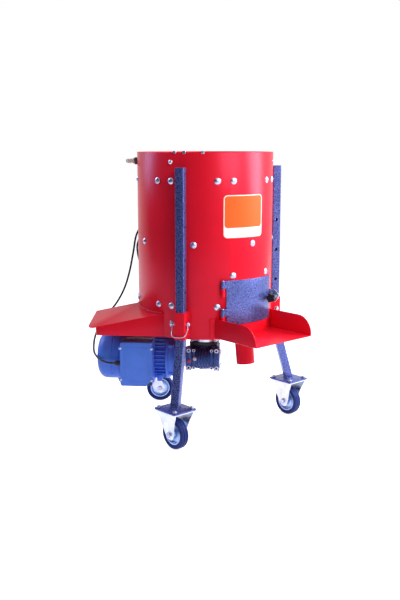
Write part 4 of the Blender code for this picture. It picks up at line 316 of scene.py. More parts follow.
@dataclass(frozen=True)
class GlossPaint(Finish):
    """Sprayed gloss paint with a slight orange peel and soft waves in the sheet under it."""

    shade_to: Colour = (0.5, 0.01, 0.02)
    drift_scale: float = 5
    drift_share: float = 0.3
    drift_dulls: float = 0.04
    dust_scale: float = 70
    dust_dulls: float = 0.10
    peel_scale: float = 620
    peel_depth: float = 0.00002
    wave_scale: float = 9
    wave_depth: float = 0.0006

    def dress(self, recipe: Recipe) -> None:
        """Paint colour with slow drifts, a fine peel and a clear top."""
        drift = recipe.ramp(recipe.noise(self.drift_scale, 3), (0.35, 0), (0.7, 1))
        dust = recipe.ramp(recipe.noise(self.dust_scale, 6), (0.55, 0), (0.8, 1))
        recipe.shade(
            Base_Color=recipe.blend(drift * self.drift_share, self.colour, self.shade_to),
            Roughness=self.roughness + dust * self.dust_dulls + drift * self.drift_dulls,
            Coat_Weight=0.08, Coat_Roughness=0.28, Specular_IOR_Level=0.16, Specular_Tint=(0.75, 0.45, 1.0),
            Normal=recipe.relief(recipe.noise(self.peel_scale, 2), self.peel_depth,
                                 recipe.relief(recipe.noise(self.wave_scale, 1), self.wave_depth)))


@dataclass(frozen=True)
class HammerPaint(Finish):
    """Hammered paint: small dimples with lighter flecks between them."""

    fleck: Colour = (0.25, 0.31, 0.82)
    pit: Colour = (0.026, 0.038, 0.14)
    fleck_scale: float = 400
    fleck_share: float = 0.70
    mottle_scale: float = 170
    mottle_dulls: float = 0.12
    dimple_scale: float = 330
    dimple_depth: float = 0.0005
    grain_scale: float = 700
    grain_depth: float = 0.00012

    def dress(self, recipe: Recipe) -> None:
        """Dimples as cells, flecked colour and a half-metal sheen."""
        speck = recipe.ramp(recipe.noise(self.fleck_scale, 4), (0.41, 0), (0.64, 1))
        mottle = recipe.ramp(recipe.noise(self.mottle_scale, 3), (0.38, 0), (0.66, 1))
        base = recipe.blend(mottle, self.pit, self.colour)
        dimples = recipe.cells(self.dimple_scale)
        recipe.shade(
            Base_Color=recipe.blend(speck * self.fleck_share, base, self.fleck), Metallic=0.55,
            Roughness=self.roughness + mottle * self.mottle_dulls, Coat_Weight=0.03, Specular_IOR_Level=0.30,
            Normal=recipe.relief(dimples, self.dimple_depth,
                                 recipe.relief(recipe.noise(self.grain_scale, 3), self.grain_depth)))


@dataclass(frozen=True)
class PlatedMetal(Finish):
    """Zinc plate or bare metal: cloudy, lightly scratched, brighter in some places than in others."""

    grain: Point = (1, 1, 1)
    depth: float = 0.00003
    cloud_scale: float = 45
    cloud_tint: float = 0.80
    cloud_dulls: float = 0.12
    scratch_scale: float = 900
    scratch_dulls: float = 0.08

    def dress(self, recipe: Recipe) -> None:
        """Clouds in colour and roughness, and fine scratches along the grain."""
        clouds = recipe.ramp(recipe.noise(self.cloud_scale, 4), (0.35, 0), (0.7, 1))
        scratch = recipe.noise(self.scratch_scale, 2, recipe.stretched(self.grain))
        recipe.shade(
            Base_Color=recipe.blend(clouds, self.colour, self.tint(self.cloud_tint)), Metallic=1.0,
            Roughness=self.roughness + clouds * self.cloud_dulls + scratch * self.scratch_dulls,
            Normal=recipe.relief(scratch, self.depth))


@dataclass(frozen=True)
class SatinPaint(Finish):
    """Satin machine enamel over a casting."""

    depth: float = 0.00012
    skin_scale: float = 420
    grime_scale: float = 22
    grime_share: float = 0.30
    grime_tint: float = 0.62
    grime_dulls: float = 0.12

    def dress(self, recipe: Recipe) -> None:
        """Enamel with a cast skin under it and a little grime in random patches."""
        skin = recipe.noise(self.skin_scale, 4)
        grime = recipe.ramp(recipe.noise(self.grime_scale, 5), (0.45, 0), (0.75, 1))
        recipe.shade(
            Base_Color=recipe.blend(grime * self.grime_share, self.colour, self.tint(self.grime_tint)),
            Roughness=self.roughness + grime * self.grime_dulls, Specular_IOR_Level=0.4,
            Normal=recipe.relief(skin, self.depth))


@dataclass(frozen=True)
class Casting(Finish):
    """A rough dark casting whose high spots are rubbed brighter."""

    rubbed: Colour = (0.25, 0.28, 0.42)
    rubbed_share: float = 0.7
    rubbed_dulls: float = -0.12
    grain_scale: float = 380
    grain_depth: float = 0.0004

    def dress(self, recipe: Recipe) -> None:
        """Coarse grain, with rubbed spots where it stands high."""
        grain = recipe.noise(self.grain_scale, 5)
        high = recipe.ramp(grain, (0.56, 0), (0.72, 1))
        recipe.shade(
            Base_Color=recipe.blend(high * self.rubbed_share, self.colour, self.rubbed), Metallic=0.45,
            Roughness=self.roughness + high * self.rubbed_dulls,
            Normal=recipe.relief(grain, self.grain_depth))


@dataclass(frozen=True)
class Moulded(Finish):
    """Moulded plastic or rubber with a fine eroded texture."""

    depth: float = 0.00005
    scale: float = 1100
    gloss: float = 0.5
    bloom_scale: float = 35
    bloom_share: float = 0.35
    bloom_tint: float = 1.7
    bloom_dulls: float = 0.1

    def dress(self, recipe: Recipe) -> None:
        """A fine texture and a slow change of roughness."""
        bloom = recipe.ramp(recipe.noise(self.bloom_scale, 4), (0.4, 0), (0.75, 1))
        recipe.shade(
            Base_Color=recipe.blend(bloom * self.bloom_share, self.colour, self.tint(self.bloom_tint)),
            Roughness=self.roughness + bloom * self.bloom_dulls, Specular_IOR_Level=self.gloss,
            Normal=recipe.relief(recipe.noise(self.scale, 3), self.depth))


@dataclass(frozen=True)
class Printed(Finish):
    """A printed vinyl label's flat ink."""

    grain_scale: float = 1500
    grain_share: float = 0.12
    grain_tint: float = 0.85
    grain_dulls: float = 0.05
    film_scale: float = 150
    film_depth: float = 0.00003

    def dress(self, recipe: Recipe) -> None:
        """Ink with a faint grain under a clear film."""
        grain = recipe.noise(self.grain_scale, 2)
        recipe.shade(
            Base_Color=recipe.blend(grain * self.grain_share, self.colour, self.tint(self.grain_tint)),
            Roughness=self.roughness + grain * self.grain_dulls,
            Normal=recipe.relief(recipe.noise(self.film_scale, 2), self.film_depth))


class Coat(Enum):
    """The finishes of this machine."""

    RED = GlossPaint("red_gloss", "red_paint", (0.84, 0.009, 0.026), 0.30)
    HAMMER = HammerPaint("hammered_blue", "hammered_paint", (0.045, 0.068, 0.29), 0.26)
    ZINC = PlatedMetal("zinc_plate", "zinc", (0.72, 0.77, 0.89), 0.24)
    BOLT = PlatedMetal("bolt_plate", "zinc", (0.50, 0.53, 0.70), 0.32)
    MACHINED = PlatedMetal("machined_alloy", "zinc", (0.78, 0.80, 0.92), 0.30, (1, 1, 12), 0.00005)
    STEEL = PlatedMetal("ground_steel", "steel", (0.55, 0.55, 0.58), 0.34, (0.15, 0.15, 6), 0.00006)
    MOTOR = SatinPaint("motor_enamel", "motor_paint", (0.085, 0.23, 0.86), 0.42)
    CASTING = Casting("gear_casting", "gearbox_casting", (0.026, 0.066, 0.26), 0.5)
    BLACK = Moulded("black_moulding", "black_plastic", (0.012, 0.013, 0.02), 0.42)
    PALE = Moulded("pale_moulding", "pale_plastic", (0.78, 0.72, 0.60), 0.4)
    RED_CAP = Moulded("red_moulding", "red_paint", (0.75, 0.02, 0.05), 0.35)
    CORD = Moulded("cord_sheath", "cord_rubber", (0.010, 0.012, 0.022), 0.48, 0.00002, 500)
    TYRE = Moulded("tyre_rubber", "tyre", (0.020, 0.036, 0.17), 0.42, 0.0001, 700, 0.12)
    RIM = PlatedMetal("rim_plate", "blue_rim", (0.42, 0.58, 0.92), 0.3)
    BRONZE = PlatedMetal("wheel_bronze", "bronze", (0.55, 0.33, 0.12), 0.35)
    LABEL_WHITE = Printed("label_white", "red_paint", (0.90, 0.90, 0.88), 0.30)
    LABEL_ORANGE = Printed("label_orange", "red_paint", (0.88, 0.115, 0.004), 0.34)


# ---------------------------------------------------------------- shaping


class Workpiece:
    """A bmesh under way, in metres, in the machine's own frame."""

    def __init__(self, mesh: bmesh.types.BMesh | None = None) -> None:
        """Starts empty, or from a bmesh."""
        self.mesh = mesh or bmesh.new()

    def placed(self, place: Matrix) -> "Workpiece":
        """The same piece, put in its place."""
        self.mesh.transform(place)
        if place.determinant() < 0:
            bmesh.ops.reverse_faces(self.mesh, faces=self.mesh.faces[:])
        return self

    def joined(self, *others: "Workpiece") -> "Workpiece":
        """This piece with others' meshes laid beside it."""
        for other in others:
            data = bpy.data.meshes.new("join")
            other.mesh.to_mesh(data)
            self.mesh.from_mesh(data)
            bpy.data.meshes.remove(data)
            other.mesh.free()
        return self

    def repeated(self, places: Iterable[Matrix]) -> "Workpiece":
        """Copies of this piece, one at each place."""
        whole = Workpiece()
        for place in places:
            whole.joined(Workpiece(self.mesh.copy()).placed(place))
        self.mesh.free()
        return whole

    def eased(self, width: float, segments: int = 2, least_angle: float = 40) -> "Workpiece":
        """Bevels the edges that are sharper than an angle.

        Args:
            width: the bevel's width in metres.
            segments: how many faces each bevel has.
            least_angle: edges that bend less than this, in degrees, stay.

        Returns:
            The same piece.
        """
        limit = math.radians(least_angle)
        edges = [e for e in self.mesh.edges if e.is_manifold and e.calc_face_angle(0) > limit]
        return self.bevelled(edges, width, segments, True)

    def bevelled(self, edges: list[bmesh.types.BMEdge], width: float, segments: int,
                 clamp: bool = False) -> "Workpiece":
        """Rounds chosen edges; a clamped bevel never runs over its neighbour."""
        bmesh.ops.bevel(self.mesh, geom=edges, offset=width, segments=segments, profile=0.5, affect="EDGES",
                        clamp_overlap=clamp, material=-1)
        return self

    def rounded_along(self, direction: Vector, width: float) -> "Workpiece":
        """Rounds the edges that run along a direction."""
        edges = [e for e in self.mesh.edges
                 if abs((e.verts[0].co - e.verts[1].co).normalized().dot(direction)) > 0.9]
        return self.bevelled(edges, width, 6)

    def split(self, place: Point, normal: Point) -> None:
        """Cuts the faces along a plane and keeps both sides."""
        bmesh.ops.bisect_plane(self.mesh, geom=self.mesh.verts[:] + self.mesh.edges[:] + self.mesh.faces[:],
                               plane_co=place, plane_no=normal)

    def without_core(self, radius: float) -> "Workpiece":
        """Drops what lies nearer to the drum's axis than a radius."""
        near = [v for v in self.mesh.verts if v.co.to_2d().length < radius]
        bmesh.ops.delete(self.mesh, geom=near, context="VERTS")
        return self

    def as_object(self, name: str) -> bpy.types.Object:
        """The mesh as an object of the scene."""
        data = bpy.data.meshes.new(name)
        self.mesh.to_mesh(data)
        return linked(name, data)

    def carved(self, tool: "Workpiece", operation: str = "DIFFERENCE") -> "Workpiece":
        """Cuts another closed piece away from this one, or keeps only what both share.

        Args:
            tool: the piece that cuts.
            operation: DIFFERENCE or INTERSECT.

        Returns:
            The same piece, with the result.
        """
        base, cutter = self.as_object("carved"), tool.as_object("tool")
        change = base.modifiers.new("cut", "BOOLEAN")
        change.object, change.operation, change.solver = cutter, operation, "EXACT"
        graph = bpy.context.evaluated_depsgraph_get()
        data = bpy.data.meshes.new_from_object(base.evaluated_get(graph))
        self.mesh.clear()
        self.mesh.from_mesh(data)
        for item in (base, cutter):
            bpy.data.objects.remove(item)
        tool.mesh.free()
        bpy.data.meshes.remove(data)
        bmesh.ops.remove_doubles(self.mesh, verts=self.mesh.verts[:], dist=0.000001)
        return self

    def bent(self, radius: float, azimuth: float, step: float = 0.004) -> "Workpiece":
        """Wraps a flat piece (x along, y up, z out) round the drum."""
        reach = max(abs(v.co.x) for v in self.mesh.verts)
        count = int(reach / step)
        for index in range(-count, count + 1):
            self.split((index * step, 0, 0), (1, 0, 0))
        for vert in self.mesh.verts:
            x, y, z = vert.co
            vert.co = around(azimuth + math.degrees(x / radius), radius + z, y)
        bmesh.ops.recalc_face_normals(self.mesh, faces=self.mesh.faces[:])
        return self

    def made(self, name: str, coat: Coat, body: str = "machine", replaced: Sequence[str] = (),
             smooth: float = 38) -> bpy.types.Object:
        """Ends the work: an object at the origin that rides on a body.

        Args:
            name: the piece's name.
            coat: its finish.
            body: the CAD body that it moves with.
            replaced: the CAD nodes that it stands for.
            smooth: edges that bend more than this, in degrees, stay sharp.

        Returns:
            The finished object.
        """
        self.mesh.transform(Matrix.Translation(SHIFT))
        item = self.as_object(name)
        self.mesh.free()
        item.data.shade_smooth()
        item.data.set_sharp_from_angle(angle=math.radians(smooth))
        return fitted(item, coat, body, replaced)


def fitted(item: bpy.types.Object, coat: Coat, body: str, replaced: Sequence[str] = ()) -> bpy.types.Object:
    """Gives a piece its finish, body and CAD nodes."""
    item.data.materials.append(coat.value.material())
    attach(item, body)
    if replaced:
        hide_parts(*replaced)
    LOG.info("%s on %s, %s", item.name, body, coat.value.name)
    return item


def lathe(profile: Sequence[Point], steps: int = 64, place: Matrix | None = None,
          closed: bool = False) -> Workpiece:
    """A turned shape about the local Z axis.

    Args:
        profile: (radius, height) pairs; the outline ends on the axis, or is closed.
        steps: segments of the turn.
        place: where the shape goes.
        closed: joins the profile's last point to its first.

    Returns:
        The shape, its faces pointing out.
    """
    mesh = bmesh.new()
    verts = [mesh.verts.new((radius, 0, height)) for radius, height in profile]
    pairs = list(zip(verts, verts[1:])) + ([(verts[-1], verts[0])] if closed else [])
    edges = [mesh.edges.new(pair) for pair in pairs]
    bmesh.ops.spin(mesh, geom=verts + edges, cent=(0, 0, 0), axis=(0, 0, 1), angle=2 * math.pi, steps=steps,
                   use_merge=True)
    bmesh.ops.remove_doubles(mesh, verts=mesh.verts[:], dist=0.0000005)
    bmesh.ops.recalc_face_normals(mesh, faces=mesh.faces[:])
    return Workpiece(mesh).placed(place or Matrix())


def merged(parts: Iterable[Workpiece]) -> Workpiece:
    """Several pieces laid together as one."""
    return Workpiece().joined(*parts)


def rod(radius: float, low: float, high: float, place: Matrix | None = None, steps: int = 32,
        ease: float = 0) -> Workpiece:
    """A round bar, its end edges eased."""
    ease = ease or min(radius, abs(high - low)) * 0.08
    return lathe([(0, low), (radius - ease, low), (radius, low + ease), (radius, high - ease),
                  (radius - ease, high), (0, high)], steps, place)


def pipe_ring(outer: float, inner: float, low: float, high: float, place: Matrix | None = None,
              steps: int = 64, ease: float = 0.0004) -> Workpiece:
    """A round tube with eased end edges."""
    return lathe([(outer - ease, low), (outer, low + ease), (outer, high - ease), (outer - ease, high),
                  (inner + ease, high), (inner, high - ease), (inner, low + ease), (inner + ease, low)],
                 steps, place, True)


def slab(outline: Sequence[Point], low: float, high: float, place: Matrix | None = None) -> Workpiece:
    """An outline drawn out from one height to another."""
    mesh = bmesh.new()
    face = mesh.faces.new([mesh.verts.new((x, y, low)) for x, y in outline])
    grown = bmesh.ops.extrude_face_region(mesh, geom=[face])
    verts = [item for item in grown["geom"] if isinstance(item, bmesh.types.BMVert)]
    bmesh.ops.translate(mesh, vec=(0, 0, high - low), verts=verts)
    bmesh.ops.recalc_face_normals(mesh, faces=mesh.faces[:])
    return Workpiece(mesh).placed(place or Matrix())


def brick(low: Point, high: Point, place: Matrix | None = None, ease: float = 0,
          segments: int = 3) -> Workpiece:
    """A box between two corners, its edges eased."""
    mesh = bmesh.new()
    size = Vector(high) - Vector(low)
    centre = (Vector(high) + Vector(low)) / 2
    bmesh.ops.create_cube(mesh, size=1, matrix=Matrix.Translation(centre) @ Matrix.Diagonal((*size, 1)))
    work = Workpiece(mesh)
    if ease:
        work.eased(ease, segments)
    return work.placed(place or Matrix())


def bowed(inner: float, outer: float, left: float, right: float, bottom: float, top: float,
          steps: int = 24) -> Workpiece:
    """A sheet that follows the drum between two azimuths."""
    mesh = bmesh.new()
    corners = [(inner, bottom), (outer, bottom), (outer, top), (inner, top)]
    face = mesh.faces.new([mesh.verts.new(around(left, radius, height)) for radius, height in corners])
    bmesh.ops.spin(mesh, geom=[face] + face.edges[:] + face.verts[:], cent=(0, 0, 0), axis=(0, 0, 1),
                   angle=math.radians(right - left), steps=steps)
    bmesh.ops.recalc_face_normals(mesh, faces=mesh.faces[:])
    return Workpiece(mesh)


def tube(points: Sequence[Vector], radius: float, sides: int = 10) -> Workpiece:
    """A bent round bar through points, made of bridged circles."""
    mesh = bmesh.new()
    side = None
    before: list = []
    for index, point in enumerate(points):
        ahead = (points[min(index + 1, len(points) - 1)] - points[max(index - 1, 0)]).normalized()
        side = (side - ahead * side.dot(ahead)).normalized() if side else ahead.orthogonal().normalized()
        other = ahead.cross(side)
        turn = Matrix((side, other, ahead)).transposed().to_4x4()
        made = bmesh.ops.create_circle(mesh, segments=sides, radius=radius, cap_ends=False,
                                       matrix=Matrix.Translation(point) @ turn)
        edges = list({edge for vert in made["verts"] for edge in vert.link_edges})
        if before:
            bmesh.ops.bridge_loops(mesh, edges=before + edges)
        before = edges
    rims = [edge for edge in mesh.edges if edge.is_boundary]
    bmesh.ops.holes_fill(mesh, edges=rims, sides=0)
    bmesh.ops.recalc_face_normals(mesh, faces=mesh.faces[:])
    return Workpiece(mesh)


def dome(radius: float, height: float, base: float, place: Matrix, steps: int = 24) -> Workpiece:
    """The domed head of a carriage bolt."""
    sphere = (radius * radius + height * height * 0.7) / (1.68 * height)
    top = base + height
    profile = [(0, top)]
    for index in range(1, 7):
        reach = radius * 0.97 * index / 6
        profile.append((reach, top - sphere + math.sqrt(max(0, sphere * sphere - reach * reach))))
    profile += [(radius, profile[-1][1] - height * 0.08), (radius, base - 0.001), (0, base - 0.001)]
    return lathe(profile, steps, place)


def nut(radius: float, low: float, high: float, place: Matrix) -> Workpiece:
    """A hexagon nut or head with chamfered corners."""
    rise = (high - low) * 0.16
    return lathe([(0, low), (radius * 0.93, low), (radius, low + rise), (radius, high - rise),
                  (radius * 0.93, high), (0, high)], 6, place)


def smooth_route(points: Sequence[Vector], step: float) -> list[Vector]:
    """Points at an even step along a Catmull-Rom curve through a route's own points."""
    knots = [Vector(point) for point in points]
    knots = [2 * knots[0] - knots[1]] + knots + [2 * knots[-1] - knots[-2]]
    fine = []
    for a, b, c, d in zip(knots, knots[1:], knots[2:], knots[3:]):
        spans = [math.sqrt((q - p).length) for p, q in ((a, b), (b, c), (c, d))]
        t0, t1 = 0, spans[0]
        t2 = t1 + spans[1]
        t3 = t2 + spans[2]
        for index in range(24):
            t = t1 + (t2 - t1) * index / 24
            p1 = a * ((t1 - t) / (t1 - t0)) + b * ((t - t0) / (t1 - t0))
            p2 = b * ((t2 - t) / (t2 - t1)) + c * ((t - t1) / (t2 - t1))
            p3 = c * ((t3 - t) / (t3 - t2)) + d * ((t - t2) / (t3 - t2))
            q1 = p1 * ((t2 - t) / (t2 - t0)) + p2 * ((t - t0) / (t2 - t0))
            q2 = p2 * ((t3 - t) / (t3 - t1)) + p3 * ((t - t1) / (t3 - t1))
            fine.append(q1 * ((t2 - t) / (t2 - t1)) + q2 * ((t - t1) / (t2 - t1)))
    fine.append(knots[-2])
    lengths = [0.0]
    for p, q in zip(fine, fine[1:]):
        lengths.append(lengths[-1] + (q - p).length)
    count = max(4, round(lengths[-1] / step))
    even, index = [], 0
    for number in range(count + 1):
        want = lengths[-1] * number / count
        while index < len(fine) - 2 and lengths[index + 1] < want:
            index += 1
        share = (want - lengths[index]) / (lengths[index + 1] - lengths[index])
        even.append(fine[index].lerp(fine[index + 1], share))
    even[1] = even[0] + (knots[2] - knots[1]).normalized() * (even[1] - even[0]).length
    even[-2] = even[-1] + (knots[-3] - knots[-2]).normalized() * (even[-2] - even[-1]).length
    return even


# ---------------------------------------------------------------- studio


@dataclass(frozen=True)
class Lamp:
    """A soft box: where it stands, how large it is, its power and its colour."""

    name: str
    azimuth: float
    elevation: float
    distance: float
    size: Point
    power: float
    colour: Colour

    def build(self, target: Vector) -> None:
        """Puts the box up so that it looks at the target."""
        data = bpy.data.lights.new(self.name, "AREA")
        data.shape, data.size, data.size_y = "RECTANGLE", *self.size
        data.energy, data.color = self.power, self.colour
        up = math.radians(self.elevation)
        item = linked(self.name, data)
        reach, rise = self.distance * math.cos(up), self.distance * math.sin(up)
        item.location = target + around(self.azimuth, reach, rise)
        item.rotation_euler = (target - item.location).to_track_quat("-Z", "Y").to_euler()


@dataclass
class Studio:
    """White surroundings, soft lamps, a dark card and the camera."""

    eye: Point = (-1.8755, -2.0683, 0.945)
    heading: float = 41.85
    pitch: float = 10.565
    lens: float = 49.8
    reach: float = 50.0
    middle: Point = (0, 0, 0.5)
    backdrop: float = 12.0
    sky: float = 0.22
    sky_colour: Colour = (0.93, 0.95, 1.0)
    floor_paint: Colour = (0.86, 0.86, 0.87)
    floor_glow: Colour = (0.82, 0.82, 0.82)
    card_azimuth: float = -96
    card_distance: float = 1.6
    card_size: Point = (5.0, 2.8)
    card_level: float = 0.02
    lamps: Sequence[Lamp] = (
        Lamp("key", 50, 30, 2.3, (0.9, 1.5), 72, (0.93, 0.95, 1)),
        Lamp("front", 2, 38, 2.8, (1.4, 1.2), 44, (1, 0.98, 0.97)),
        Lamp("rim", -150, 32, 2.6, (0.8, 1.4), 36, (0.55, 0.60, 1)))

    def white_for_views(self, tree: bpy.types.NodeTree) -> bpy.types.NodeSocket:
        """One where a camera, mirror or glass ray asks, zero elsewhere."""
        path = tree.nodes.new("ShaderNodeLightPath")
        asked = path.outputs["Is Camera Ray"]
        for name in ("Is Glossy Ray", "Is Transmission Ray"):
            either = tree.nodes.new("ShaderNodeMath")
            either.operation = "MAXIMUM"
            tree.links.new(asked, either.inputs[0])
            tree.links.new(path.outputs[name], either.inputs[1])
            asked = either.outputs[0]
        return asked

    def build_world(self) -> None:
        """A white world to look at, and a softer one to be lit by."""
        world = bpy.data.worlds.new("studio")
        bpy.context.scene.world = world
        world.use_nodes = True
        tree = world.node_tree
        tree.nodes.clear()
        seen, lit = tree.nodes.new("ShaderNodeBackground"), tree.nodes.new("ShaderNodeBackground")
        seen.inputs["Color"].default_value = (1, 1, 1, 1)
        lit.inputs["Color"].default_value = (*self.sky_colour, 1)
        lit.inputs["Strength"].default_value = self.sky
        mix, out = tree.nodes.new("ShaderNodeMixShader"), tree.nodes.new("ShaderNodeOutputWorld")
        tree.links.new(self.white_for_views(tree), mix.inputs[0])
        tree.links.new(lit.outputs[0], mix.inputs[1])
        tree.links.new(seen.outputs[0], mix.inputs[2])
        tree.links.new(mix.outputs[0], out.inputs["Surface"])

    def build_sheet(self, name: str, size: float,
                    place: Matrix) -> tuple[bpy.types.Object, bpy.types.Material]:
        """A square sheet that is no part of the machine, and its own material."""
        mesh = bmesh.new()
        bmesh.ops.create_grid(mesh, x_segments=1, y_segments=1, size=size)
        sheet = Workpiece(mesh).placed(place).as_object(name)
        material = bpy.data.materials.new(name)
        material.use_nodes = True
        sheet.data.materials.append(material)
        return sheet, material

    def build_floor(self) -> None:
        """A white floor that keeps the object's shadow."""
        tree = self.build_sheet("studio_floor", self.backdrop, moved(0, 0, -HAIR))[1].node_tree
        tree.nodes.clear()
        paint, glow = tree.nodes.new("ShaderNodeBsdfDiffuse"), tree.nodes.new("ShaderNodeEmission")
        paint.inputs["Color"].default_value = (*self.floor_paint, 1)
        whole, out = tree.nodes.new("ShaderNodeAddShader"), tree.nodes.new("ShaderNodeOutputMaterial")
        tree.links.new(self.white_for_views(tree), glow.inputs["Strength"])
        glow.inputs["Color"].default_value = (*self.floor_glow, 1)
        tree.links.new(paint.outputs[0], whole.inputs[0])
        tree.links.new(glow.outputs[0], whole.inputs[1])
        tree.links.new(whole.outputs[0], out.inputs["Surface"])

    def build_card(self) -> None:
        """A dark card out of the picture, which the gloss of the drum mirrors."""
        stand = outward(self.card_azimuth, self.card_size[1] / 2) @ moved(0, 0, self.card_distance)
        place = moved(*SHIFT) @ stand @ Matrix.Diagonal((*self.card_size, 1, 1))
        card, material = self.build_sheet("left_card", 0.5, place)
        shader = next(n for n in material.node_tree.nodes if n.type == "BSDF_PRINCIPLED")
        shader.inputs["Base Color"].default_value = (*[self.card_level] * 3, 1)
        shader.inputs["Roughness"].default_value = 1.0
        card.visible_camera = card.visible_shadow = card.visible_diffuse = False

    def build(self) -> None:
        """Camera, world, floor, lamps and card."""
        data = bpy.data.cameras.new("camera")
        data.lens, data.clip_end = self.lens, self.reach
        camera = linked("camera", data)
        camera.location = Vector(self.eye) + SHIFT
        camera.rotation_euler = (math.radians(90 - self.pitch), 0, -math.radians(self.heading))
        bpy.context.scene.camera = camera
        bpy.context.scene.view_settings.view_transform = "Standard"
        self.build_world()
        self.build_floor()
        for lamp in self.lamps:
            lamp.build(Vector(self.middle) + SHIFT)
        self.build_card()


# ---------------------------------------------------------------- sub-assemblies


@dataclass
class Leads:
    """The motor's lead and the mains lead with its coil and plug."""

    diameter: float = 0.007
    step_diameters: float = 1.4
    motor_route: tuple = (
        (-0.0420, 0.2960, 0.6600), (-0.0620, 0.2990, 0.6280), (-0.0780, 0.2975, 0.5680),
        (-0.0978, 0.2954, 0.5000), (-0.1158, 0.3035, 0.4400), (-0.1388, 0.3231, 0.3850),
        (-0.1685, 0.3381, 0.3470), (-0.2082, 0.3239, 0.3200), (-0.2563, 0.2846, 0.2980),
        (-0.2922, 0.2469, 0.2740), (-0.3208, 0.2009, 0.2520), (-0.3268, 0.1552, 0.2390),
        (-0.3202, 0.1315, 0.2350))
    supply_route: tuple = (
        (0.005, 0.3025, 0.656), (-0.021, 0.3235, 0.622), (-0.031, 0.3340, 0.588), (-0.027, 0.3380, 0.556),
        (-0.014, 0.3430, 0.520), (0.006, 0.3620, 0.450), (0.022, 0.3920, 0.360), (0.022, 0.4280, 0.260),
        (0.006, 0.4620, 0.165), (-0.008, 0.4860, 0.092), (-0.002, 0.5020, 0.040), (0.024, 0.5095, 0.0130),
        (0.058, 0.5100, 0.0046))
    coil_centre: Point = (0.128, 0.560)
    coil_radius: float = 0.052
    coil_pitch: float = 0.008
    coil_turns: int = 2
    coil_start: float = -90
    loop_points: int = 24
    plug_radius: float = 0.0185
    plug_lead_in: float = 0.050
    switch_reach: float = 0.2878
    relief_ribs: int = 6

    def coil_points(self) -> list[Vector]:
        """The coil's centre line: in along the floor, up a layer, out again and level into the plug."""
        low, steps = self.diameter / 2 + HAIR, self.loop_points
        centre = Vector((*self.coil_centre, 0))
        angle, reach, height = math.radians(self.coil_start), self.coil_radius, low
        points, count = [], self.coil_turns * steps

        def spot() -> Vector:
            """The centre line's point at the present angle."""
            return centre + Vector((reach * math.cos(angle), reach * math.sin(angle), height))

        for index in range(count + 1):
            points.append(spot())
            if index < count:
                angle += 2 * math.pi / steps
                reach -= self.coil_pitch / steps
        for index in range(steps // 4):
            angle += 2 * math.pi / steps
            height = low + self.coil_pitch * (index + 1) / (steps // 4)
            points.append(spot())
        for index in range(count):
            angle += 2 * math.pi / steps
            reach += self.coil_pitch / steps
            points.append(spot())
        ahead = (points[-1] - points[-2]).normalized()
        ahead.z = 0
        rise, first = self.plug_radius + HAIR - height, points[-1]
        for index in range(1, 7):
            share = index / 6
            points.append(first + ahead * self.plug_lead_in * share
                          + Vector((0, 0, rise * share * share * (3 - 2 * share))))
        points.append(points[-1] + ahead * self.diameter)
        lead_in = -(points[1] - points[0]).normalized() * self.diameter
        points.insert(0, points[0] + Vector((lead_in.x, lead_in.y, 0)))
        return points

    def rounded_loop(self, points: list[Vector]) -> list[Vector]:
        """A coil's points with two more on each chord, on the curve through them."""
        fine = []
        for index in range(len(points) - 1):
            a = points[max(index - 1, 0)]
            b, c = points[index], points[index + 1]
            d = points[min(index + 2, len(points) - 1)]
            for t in (0.0, 1 / 3, 2 / 3):
                fine.append(0.5 * (2 * b + (c - a) * t + (2 * a - 5 * b + 4 * c - d) * t * t
                                   + (3 * b - a - 3 * c + d) * t ** 3))
        return fine + [points[-1]]

    def cord(self, name: str, points: list[Vector], replaced: Sequence[str]) -> bpy.types.Object:
        """A cord as a curve of one open spline."""
        data = bpy.data.curves.new(name, "CURVE")
        data.dimensions, data.resolution_u, data.render_resolution_u = "3D", 1, 0
        data.bevel_depth, data.bevel_resolution, data.use_fill_caps = self.diameter / 2, 4, True
        spline = data.splines.new("POLY")
        spline.points.add(len(points) - 1)
        for slot, point in zip(spline.points, points):
            slot.co = (*(point + SHIFT), 1)
        spline.use_smooth = True
        return fitted(linked(name, data), Coat.CORD, "machine", replaced)

    def build_plug(self, place: Vector, ahead: Vector) -> bpy.types.Object:
        """The two-pin plug with its ribbed relief."""
        side, up = ahead.cross(Vector((0, 0, 1))).normalized(), Vector((0, 0, 1))
        line = Matrix((side, up, ahead)).transposed().to_4x4()
        line.translation = place
        half = self.diameter / 2
        relief = [(0, HAIR), (half * 1.2, HAIR)]
        for index in range(self.relief_ribs):
            low = 0.002 + index * 0.0042
            wide = half * (1.3 + 0.11 * index)
            narrow = wide * 0.84
            relief += [(wide, low), (wide, low + 0.0026), (narrow, low + 0.003), (narrow, low + 0.0040)]
        radius = self.plug_radius
        body = relief + [(half * 2.0, 0.028), (radius * 0.70, 0.0285), (radius * 0.76, 0.032),
                         (radius * 0.82, 0.043), (radius * 0.97, 0.0475), (radius - HAIR, 0.050),
                         (radius - HAIR, 0.0625), (radius * 0.95, 0.064), (0, 0.064)]
        pins = rod(0.0024, 0.0630, 0.083, None, 20, 0.0009)
        pins = pins.repeated([line @ moved(x, 0, 0) for x in (-0.0095, 0.0095)])
        plug = lathe(body, 48, line).made("mains_plug", Coat.BLACK, replaced=["supply_plug"])
        metal = pins.made("plug_pins", Coat.BOLT)
        metal.parent = plug
        return plug

